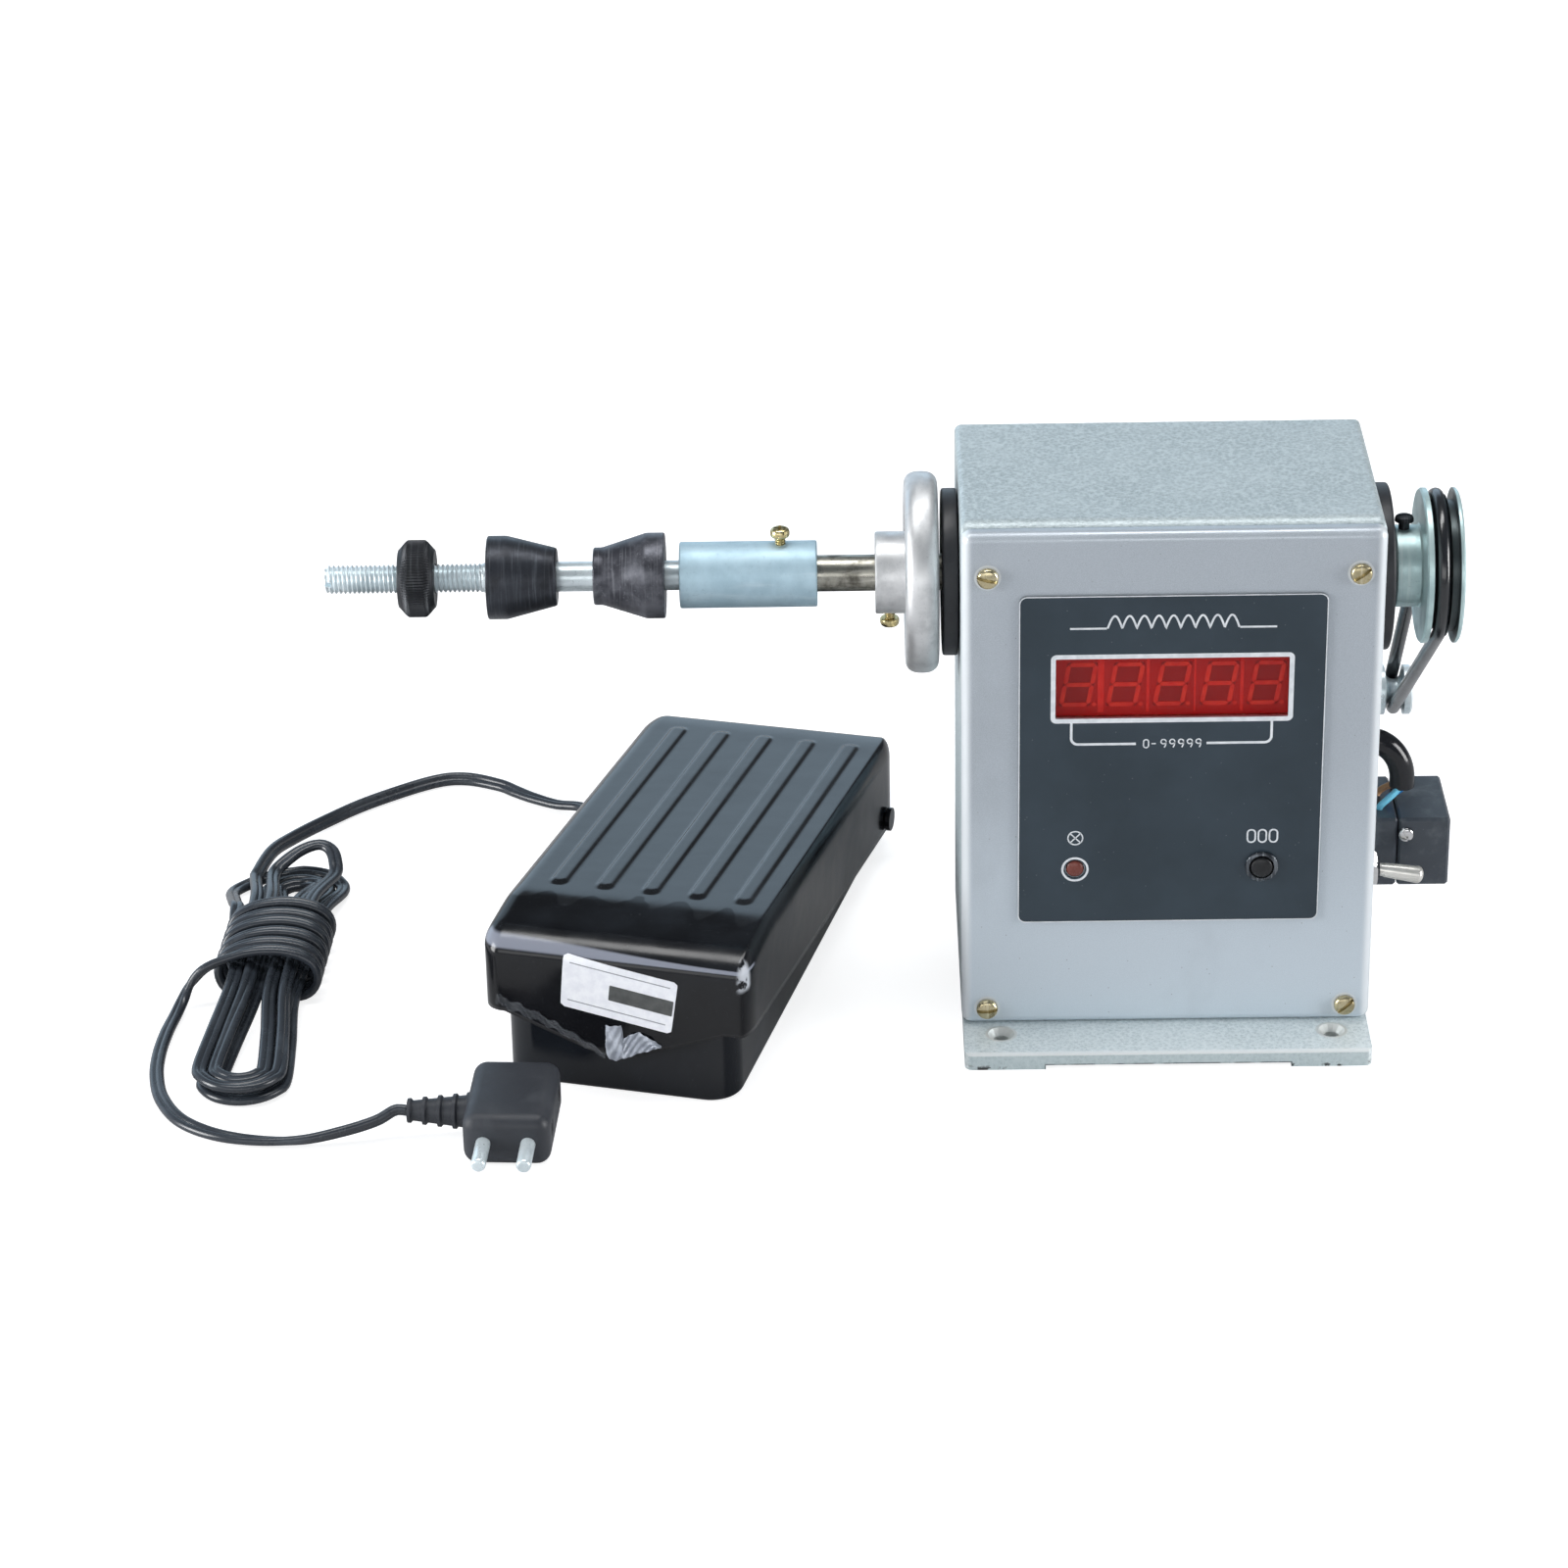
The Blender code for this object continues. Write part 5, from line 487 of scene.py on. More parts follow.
class NodeGraph:
    """Nodes of a material or of the world, with short ways to add and join them."""

    def __init__(self, owner: bpy.types.ID) -> None:
        """Start from the owner's own nodes."""
        owner.use_nodes = True
        self.nodes = owner.node_tree.nodes
        self.links = owner.node_tree.links

    def node(self, kind: str, **settings: object) -> bpy.types.Node:
        """Add a node and set its own properties."""
        made = self.nodes.new(kind)
        for key, value in settings.items():
            setattr(made, key, value)
        return made

    def plug(self, source: object, target: Socket) -> None:
        """Join a socket to an input, or write a number or colour there."""
        if isinstance(source, Socket):
            self.links.new(source, target)
        else:
            target.default_value = source

    def fill(self, made: bpy.types.Node, **inputs: object) -> bpy.types.Node:
        """Plug several inputs of a node, named with underscores for spaces."""
        for key, source in inputs.items():
            self.plug(source, made.inputs[key.replace("_", " ")])
        return made

    def where(self, scale: Point = (1.0, 1.0, 1.0)) -> Socket:
        """Object coordinates, scaled along each axis."""
        mapping = self.node("ShaderNodeMapping", vector_type="POINT")
        self.fill(mapping, Scale=scale, Vector=self.node("ShaderNodeTexCoord").outputs["Object"])
        return mapping.outputs["Vector"]

    def noise(self, place: Socket, scale: float, detail: float = 3.0, roughness: float = 0.5) -> Socket:
        """Soft noise from 0 to 1 at a scale in waves a metre."""
        made = self.node("ShaderNodeTexNoise", noise_dimensions="3D")
        return self.fill(made, Vector=place, Scale=scale, Detail=detail, Roughness=roughness).outputs["Fac"]

    def cells(self, place: Socket, scale: float, smooth: float = 0.0, distance: str = "EUCLIDEAN") -> Socket:
        """Distance to the nearest of scattered points, about 0 to 0.8.

        Args:
            place: The vector socket.
            scale: Points a metre.
            smooth: How far the cells run into each other.
            distance: The way that distances are measured.

        Returns:
            The distance socket.
        """
        made = self.node("ShaderNodeTexVoronoi", voronoi_dimensions="3D", distance=distance,
                         feature="SMOOTH_F1" if smooth > 0.0 else "F1")
        if smooth > 0.0:
            self.fill(made, Smoothness=smooth)
        return self.fill(made, Vector=place, Scale=scale).outputs["Distance"]

    def ramp(self, value: Socket, *stops: tuple[float, Colour]) -> Socket:
        """Colour that follows a value.

        Args:
            value: What the colour follows.
            stops: Values, each with its colour.

        Returns:
            The colour socket.
        """
        made = self.node("ShaderNodeValToRGB")
        band = made.color_ramp
        while len(band.elements) < len(stops):
            band.elements.new(0.5)
        for element, (place, colour) in zip(band.elements, stops):
            element.position, element.color = place, (*colour, 1.0)
        self.links.new(value, made.inputs["Fac"])
        return made.outputs["Color"]

    def maths(self, kind: str, first: object, second: object = 0.0) -> Socket:
        """Result of one calculation on two values."""
        made = self.node("ShaderNodeMath", operation=kind)
        self.plug(first, made.inputs[0])
        self.plug(second, made.inputs[1])
        return made.outputs["Value"]

    def times(self, *factors: object) -> Socket:
        """Product of several values."""
        return reduce(lambda one, other: self.maths("MULTIPLY", one, other), factors)

    def away(self, place: tuple[float, float], first: Socket, second: Socket) -> Socket:
        """Distance of two coordinates from a place in their plane."""
        squares = [self.maths("POWER", self.maths("SUBTRACT", value, centre), 2.0)
                   for value, centre in zip((first, second), place)]
        return self.maths("SQRT", self.maths("ADD", *squares))

    def span(self, value: Socket, low: float, high: float, start: float = 0.0, end: float = 1.0) -> Socket:
        """A value carried smoothly from one range to another and held there."""
        made = self.node("ShaderNodeMapRange", interpolation_type="SMOOTHSTEP", clamp=True)
        self.fill(made, Value=value, From_Min=low, From_Max=high, To_Min=start, To_Max=end)
        return made.outputs["Result"]

    def blend(self, share: object, first: object, second: object) -> Socket:
        """Two colours mixed.

        Args:
            share: Share of the second, as a number or a socket.
            first, second: Colours or sockets.

        Returns:
            The mixed colour's socket.
        """
        made = self.node("ShaderNodeMix", data_type="RGBA", blend_type="MIX", clamp_factor=True)
        self.plug(share, made.inputs[0])
        for source, target in ((first, made.inputs[6]), (second, made.inputs[7])):
            self.plug(source if isinstance(source, Socket) else (*source, 1.0), target)
        return made.outputs[2]

    def axis(self, place: Socket, which: str) -> Socket:
        """One coordinate, X, Y or Z, of a vector."""
        return self.fill(self.node("ShaderNodeSeparateXYZ"), Vector=place).outputs[which]


class ShaderGraph(NodeGraph):
    """Node graph of one material: one Principled shader and the colour laid down so far."""

    def __init__(self, name: str, colour: Colour, roughness: float, metallic: float = 0.0,
                 **sockets: object) -> None:
        """Start a material.

        Args:
            name: The material's name.
            colour: Linear base colour.
            roughness: Roughness where nothing drives it.
            metallic: Metallic share.
            sockets: More values for the shader's own sockets, with underscores for spaces.
        """
        self.material = bpy.data.materials.new(name)
        super().__init__(self.material)
        self.shader = self.nodes["Principled BSDF"]
        self.fill(self.shader, Base_Color=(*colour, 1.0), Roughness=roughness, Metallic=metallic, **sockets)
        self.material.diffuse_color = (*colour, 1.0)
        self.colour: Socket | Colour = colour

    def tint(self, share: object, colour: Colour) -> None:
        """Lay a colour over the colour so far, by a share."""
        self.colour = self.blend(share, self.colour, colour)

    def bump(self, height: Socket, distance: float, strength: float = 1.0) -> None:
        """Raise the shading, on top of the relief so far.

        Args:
            height: Share of the full height.
            distance: Full height in metres.
            strength: How much of it shows.
        """
        made = self.fill(self.node("ShaderNodeBump"), Strength=strength, Distance=distance, Height=height)
        chain = self.shader.inputs["Normal"]
        if chain.is_linked:
            self.links.new(chain.links[0].from_socket, made.inputs["Normal"])
        self.links.new(made.outputs["Normal"], chain)

    def done(self, roughness: Socket) -> bpy.types.Material:
        """The material, once its colour and roughness are joined to the shader."""
        self.fill(self.shader, Base_Color=self.colour, Roughness=roughness)
        return self.material


@dataclass(frozen=True)
class HammerPaint:
    """Grey-green hammer paint: fine light and dark cells with a soft relief."""

    base: Colour
    light: Colour
    dark: Colour

    def wear_and_painted_light(self, graph: ShaderGraph, place: Socket) -> None:
        """Marks of use and painted light laid over the paint: none on the case."""

    def material(self, name: str) -> bpy.types.Material:
        """Build the paint.

        Args:
            name: The material's name.

        Returns:
            The material.
        """
        graph = ShaderGraph(name, self.base, 0.42, 0.25, Specular_IOR_Level=0.5)
        place = graph.where()
        grain = graph.cells(place, 900.0, 0.6)
        fine = graph.noise(place, 2600.0, 2.0, 0.6)
        broad = graph.noise(place, 45.0)
        mottle = graph.ramp(grain, (0.12, self.dark), (0.42, self.base), (0.75, self.light))
        speck = graph.ramp(fine, (0.36, self.dark), (0.5, self.base), (0.66, self.light))
        graph.colour = graph.blend(0.45, mottle, speck)
        graph.tint(graph.span(broad, 0.35, 0.7, 0.0, 0.22), self.light)
        self.wear_and_painted_light(graph, place)
        graph.bump(grain, 0.00006)
        graph.bump(broad, 0.0004, 0.5)
        return graph.done(graph.span(fine, 0.3, 0.7, 0.36, 0.52))


@dataclass(frozen=True)
class HammerPaintWithWearAndPaintedLight(HammerPaint):
    """The same paint rubbed bare round two screw holes and chipped, with painted shade in the bores and
    under the relief, a darker and bluer lip, and a painted highlight along the lip's crest.

    Each band names the two places between which a mark fades.
    """

    hole: tuple[float, float] = (0.0456, -0.0758)
    hole_rim: Band = (0.0040, 0.0047)
    bore_shade: Band = (0.0013, 0.0019)
    lip_y: Band = (-0.0869, -0.0866)
    crest_highlight_y: Band = (-0.0864, -0.0856)
    crest_highlight_z: Band = (0.0040, 0.0046)
    relief_shade_z: Band = (0.0014, 0.0018)
    relief_shade_x: Band = (0.0337, 0.0342)
    chipped_z: Band = (0.0004, 0.0019)

    def wear_and_painted_light(self, graph: ShaderGraph, place: Socket) -> None:
        """Lay the marks over the paint: bare hole rims, painted shade in the bores, a darker and bluer lip,
        a painted highlight on its crest, painted shade under the relief, and chips.

        Args:
            graph: The paint's graph.
            place: Object coordinates.
        """
        y, z = graph.axis(place, "Y"), graph.axis(place, "Z")
        across = graph.maths("ABSOLUTE", graph.axis(place, "X"))
        near = graph.away(self.hole, across, y)
        graph.tint(graph.span(near, *self.hole_rim, 1.0, 0.0), tone(214, 218, 216))
        # Painted shade in the bores of the two screw holes.
        graph.tint(graph.span(near, *self.bore_shade, 1.0, 0.0), tone(34, 36, 40))
        lip = graph.span(y, *self.lip_y, 1.0, 0.0)
        graph.tint(graph.times(lip, 0.55), tone(168, 188, 192))
        # Painted highlight along the lip's crest.
        crest = graph.times(graph.span(y, *self.crest_highlight_y, 1.0, 0.0), graph.span(z, *self.crest_highlight_z, 0.0, 0.9))
        graph.tint(crest, tone(246, 250, 250))
        # Painted shade under the relief at the foot of the lip, broken up by noise.
        patchy = graph.span(graph.noise(place, 160.0, 2.0), 0.4, 0.5, 0.2, 1.0)
        graph.tint(graph.times(graph.span(z, *self.relief_shade_z, 1.0, 0.0),
                               graph.span(across, *self.relief_shade_x, 1.0, 0.0), patchy, lip), tone(66, 74, 78))
        chips = graph.span(graph.noise(place, 260.0, 4.0, 0.6), 0.55, 0.62)
        graph.tint(graph.times(chips, graph.span(z, *self.chipped_z, 1.0, 0.0)), tone(62, 66, 66))


@dataclass(frozen=True)
class SilverPaint:
    """Smooth metallic paint: fine flakes, faint smudges and specks of dust.

    Its two upright edges carry a painted highlight, and lighter rings of paint rubbed down to primer
    lie round the four cover screws, which stand at one distance from the cover's middle lines.
    """

    base: Colour
    light: Colour
    bench_reflection: Colour
    middle_z: float = 0.07575
    screw: tuple[float, float] = (0.0494, 0.06535)
    screw_ring: Band = (0.0033, 0.0038)
    edge_highlight_x: Band = (0.0532, 0.0552)

    def material(self, name: str) -> bpy.types.Material:
        """Build the paint, with a painted reflection of the bench that makes it lighter and bluer towards the
        bottom.

        Args:
            name: The material's name.

        Returns:
            The material.
        """
        graph = ShaderGraph(name, self.base, 0.36, 0.3, Specular_IOR_Level=0.5, Coat_Weight=0.15,
                            Coat_Roughness=0.25)
        place = graph.where()
        flake = graph.noise(place, 5200.0, 1.0)
        smudge = graph.noise(graph.where((1.0, 1.0, 0.6)), 26.0, 4.0, 0.55)
        graph.colour = graph.ramp(flake, (0.36, self.base), (0.68, self.light))
        # Painted reflection of the bench: lighter and bluer towards the bottom.
        graph.tint(graph.span(graph.axis(place, "Z"), 0.01, 0.10, 0.55, 0.0), self.bench_reflection)
        graph.tint(graph.span(smudge, 0.56, 0.72, 0.0, 0.16), tone(128, 134, 140))
        graph.tint(graph.span(graph.cells(place, 260.0), 0.035, 0.06, 0.5, 0.0), tone(120, 124, 128))
        across = graph.maths("ABSOLUTE", graph.axis(place, "X"))
        up = graph.maths("ABSOLUTE", graph.maths("SUBTRACT", graph.axis(place, "Z"), self.middle_z))
        # Painted highlight along the cover's two upright edges.
        graph.tint(graph.span(across, *self.edge_highlight_x, 0.0, 0.75), tone(240, 245, 248))
        near = graph.away(self.screw, across, up)
        graph.tint(graph.span(near, *self.screw_ring, 0.7, 0.0), tone(232, 236, 238))
        graph.bump(flake, 0.00001)
        graph.bump(smudge, 0.0002, 0.35)
        return graph.done(graph.span(smudge, 0.35, 0.7, 0.3, 0.46))


@dataclass(frozen=True)
class TurnedMetal:
    """Worked or plated metal with grain lines, stains, uneven gloss and, where asked, a band of painted shade.
    """

    base: Colour
    stain: Colour
    light: Colour
    roughness: tuple[float, float] = (0.2, 0.4)
    metallic: float = 1.0
    grain: Point = (1400.0, 60.0, 60.0)
    grain_depth: float = 0.000012
    stain_scale: float = 90.0
    stain_share: float = 0.5
    groove_shade: tuple[float, float] | None = None

    def material(self, name: str) -> bpy.types.Material:
        """Build the metal, with painted shade in a dark belt between two stations along X where asked.

        Args:
            name: The material's name.

        Returns:
            The material.
        """
        graph = ShaderGraph(name, self.base, self.roughness[0], self.metallic, Specular_IOR_Level=0.5)
        lines = graph.noise(graph.where(self.grain), 1.0, 4.0, 0.6)
        patches = graph.noise(graph.where(), self.stain_scale, 5.0, 0.6)
        pits = graph.noise(graph.where(), self.stain_scale * 14.0, 2.0)
        graph.tint(graph.span(patches, 0.42, 0.68, 0.0, self.stain_share), self.stain)
        graph.tint(graph.span(lines, 0.5, 0.8, 0.0, 0.6), self.light)
        graph.tint(graph.span(pits, 0.62, 0.74, 0.0, 0.35), self.stain)
        # Painted shade in a groove: a dark belt between two stations along X.
        if self.groove_shade is not None:
            (low, high), fade = self.groove_shade, 0.0002
            station = graph.axis(graph.where(), "X")
            graph.tint(graph.times(graph.span(station, low, low + fade, 0.0, 0.9),
                                   graph.span(station, high - fade, high, 1.0, 0.0)), tone(34, 36, 40))
        graph.bump(lines, self.grain_depth)
        graph.bump(pits, 0.00001, 0.6)
        return graph.done(graph.span(graph.blend(0.5, lines, patches), 0.35, 0.65, *self.roughness))


@dataclass(frozen=True)
class Moulded:
    """Moulded plastic or rubber: slight grain, dust in patches and soft gloss changes."""

    base: Colour
    roughness: float = 0.45
    dust: Colour = (0.09, 0.09, 0.095)
    dust_share: float = 0.25
    grain: float = 1800.0
    grain_depth: float = 0.00002
    specular: float = 0.45

    def material(self, name: str) -> bpy.types.Material:
        """Build the plastic.

        Args:
            name: The material's name.

        Returns:
            The material.
        """
        graph = ShaderGraph(name, self.base, self.roughness, 0.0, Specular_IOR_Level=self.specular)
        place = graph.where()
        fine = graph.noise(place, self.grain, 2.0, 0.55)
        patches = graph.noise(place, 70.0, 5.0, 0.65)
        graph.tint(graph.span(patches, 0.48, 0.75, 0.0, self.dust_share), self.dust)
        graph.tint(graph.span(graph.cells(place, 420.0), 0.03, 0.07, self.dust_share, 0.0), self.dust)
        graph.bump(fine, self.grain_depth)
        return graph.done(graph.span(patches, 0.3, 0.75, self.roughness * 0.85, self.roughness * 1.25))


@dataclass(frozen=True)
class GlossEnamel:
    """Thick black enamel: deep gloss, slight ripple, fine scratches, dull side, a corner rubbed bare and a
    painted reflection along the near bend.
    """

    base: Colour
    sheen: Colour
    dull_from: float
    bend_reflection: Colour = (0.27, 0.29, 0.35)
    bare: Colour = (0.55, 0.58, 0.63)
    place_x: float = -0.1507
    place_y: float = -0.0966
    turn: float = math.radians(-14.5)
    rib_pitch: float = 0.0126
    lobe: float = 0.0036
    half_width: float = 0.036
    bend_v: Band = (0.003, 0.006)
    bend_reflection_z: Band = (0.0437, 0.0424)
    bend_reflection_half: Band = (0.0017, 0.0005)
    corner_u: Band = (0.0345, 0.0362)
    corner_v: Band = (0.0, 0.002)
    corner_z: Band = (0.0362, 0.0385)
    shoulder_v: Band = (0.0205, 0.0225)
    shoulder_z: Band = (0.040, 0.0425)
    waver: Band = (-0.003, 0.003)

    def own_places(self, graph: ShaderGraph, place: Socket) -> tuple[Socket, Socket]:
        """Places across the pedal and along it, turned from the machine's X and Y.

        Args:
            graph: The enamel's graph.
            place: Object coordinates.

        Returns:
            Sockets of u and v.
        """
        x = graph.maths("SUBTRACT", graph.axis(place, "X"), self.place_x)
        y = graph.maths("SUBTRACT", graph.axis(place, "Y"), self.place_y)
        cosine, sine = math.cos(self.turn), math.sin(self.turn)
        return (graph.maths("ADD", graph.times(x, cosine), graph.times(y, sine)),
                graph.maths("SUBTRACT", graph.times(y, cosine), graph.times(x, sine)))

    def material(self, name: str) -> bpy.types.Material:
        """Build the enamel in the pedal's own frame, u across it and v along it.

        Args:
            name: The material's name.

        Returns:
            The material.
        """
        graph = ShaderGraph(name, self.base, 0.12, 0.0, Specular_IOR_Level=0.42)
        place = graph.where()
        (u, v), z = self.own_places(graph, place), graph.axis(place, "Z")
        ripple = graph.noise(place, 120.0, 2.0, 0.4)
        scratch = graph.noise(graph.where((30.0, 900.0, 200.0)), 1.0, 3.0, 0.7)
        dust = graph.noise(place, 1400.0, 3.0, 0.7)
        haze = graph.noise(place, 30.0, 4.0, 0.6)
        graph.tint(graph.span(haze, 0.4, 0.75, 0.0, 0.5), self.sheen)
        graph.tint(graph.span(dust, 0.66, 0.76, 0.0, 0.3), tone(105, 108, 110))
        graph.tint(graph.span(scratch, 0.70, 0.78, 0.0, 0.25), tone(95, 98, 100))
        # Painted reflection along the near bend: a lavender-grey band, wide at the left and narrow at the
        # right.
        side = (-self.half_width, self.half_width)
        sunk = graph.maths("ABSOLUTE", graph.maths("SUBTRACT", z, graph.span(u, *side, *self.bend_reflection_z)))
        share = graph.maths("DIVIDE", sunk, graph.span(u, *side, *self.bend_reflection_half))
        graph.tint(graph.times(graph.span(share, 0.6, 1.1, 0.8, 0.0), graph.span(v, *self.bend_v, 1.0, 0.0)),
                   self.bend_reflection)
        patchy = graph.span(graph.noise(place, 320.0, 3.0, 0.6), 0.38, 0.5, 0.0, 0.9)
        graph.tint(graph.times(graph.span(u, *self.corner_u), graph.span(z, *self.corner_z),
                               graph.span(v, *self.corner_v, 1.0, 0.0), patchy), self.bare)
        wave = graph.maths("ADD", v, graph.span(graph.noise(place, 75.0, 2.0), 0.3, 0.7, *self.waver))
        swing = graph.maths("COSINE", graph.times(u, 2.0 * math.pi / self.rib_pitch))
        wave = graph.maths("SUBTRACT", wave, graph.times(swing, self.lobe))
        shoulder = graph.times(graph.span(v, *self.bend_v), graph.span(wave, *self.shoulder_v, 1.0, 0.0),
                               graph.span(z, *self.shoulder_z))
        dull = graph.maths("MAXIMUM", graph.span(u, self.dull_from, self.dull_from + 0.0018), shoulder)
        graph.fill(graph.shader, Specular_IOR_Level=graph.span(dull, 0.0, 1.0, 0.42, 0.13))
        graph.bump(ripple, 0.0003, 0.25)
        graph.bump(dust, 0.000008)
        return graph.done(graph.span(haze, 0.3, 0.75, 0.09, 0.26))


@dataclass(frozen=True)
class CloudySheet:
    """Film, print, paper or clear plastic: a faint cloudy tone and a matching uneven gloss."""

    base: Colour
    shade: Colour
    roughness: Band = (0.4, 0.6)
    scale: float = 400.0
    tone_band: Band = (0.38, 0.62)
    gloss_band: Band = (0.3, 0.7)
    fine: tuple[float, float, float] | None = None
    dust: Colour | None = None
    cover: float = 1.0
    cloud_roughness: float = 0.6
    specular: float = 0.4

    def material(self, name: str) -> bpy.types.Material:
        """Build the sheet, with fine relief, dust and see-through where asked.

        Args:
            name: The material's name.

        Returns:
            The material.
        """
        graph = ShaderGraph(name, self.base, self.roughness[0], Specular_IOR_Level=self.specular,
                            Alpha=self.cover)
        place = graph.where()
        cloud = graph.noise(place, self.scale, 4.0, self.cloud_roughness)
        graph.colour = graph.ramp(cloud, (self.tone_band[0], self.shade), (self.tone_band[1], self.base))
        if self.dust is not None:
            graph.tint(graph.span(graph.cells(place, 330.0), 0.04, 0.075, 0.35, 0.0), self.dust)
        if self.fine is None:
            graph.bump(cloud, 0.00001)
        else:
            scale, detail, distance = self.fine
            graph.bump(graph.noise(place, scale, detail), distance)
        if self.cover < 1.0:
            graph.material.surface_render_method = "BLENDED"
        return graph.done(graph.span(cloud, *self.gloss_band, *self.roughness))


def clear_plastic(base: Colour, cover: float) -> CloudySheet:
    """Clear or tinted plastic: thin, glossy, a little deeper in patches and partly see-through."""
    deep = tuple(value * 0.72 for value in base)
    return CloudySheet(base, deep, (0.08, 0.2), 60.0, (0.35, 0.7), (0.35, 0.7), (900.0, 2.0, 0.000004),
                       cover=cover, specular=0.5)


@dataclass(frozen=True)
class CircuitLacquer:
    """Green lacquered board with lighter tracks under the lacquer."""

    base: Colour
    track: Colour

    def material(self, name: str) -> bpy.types.Material:
        """Build the board: tracks are the thin borders between square cells.

        Args:
            name: The material's name.

        Returns:
            The material.
        """
        graph = ShaderGraph(name, self.base, 0.3, 0.0, Specular_IOR_Level=0.5)
        line = graph.span(graph.cells(graph.where(), 240.0, distance="CHEBYCHEV"), 0.44, 0.5)
        graph.tint(line, self.track)
        graph.bump(line, 0.00003)
        return graph.done(graph.span(line, 0.0, 1.0, 0.28, 0.4))


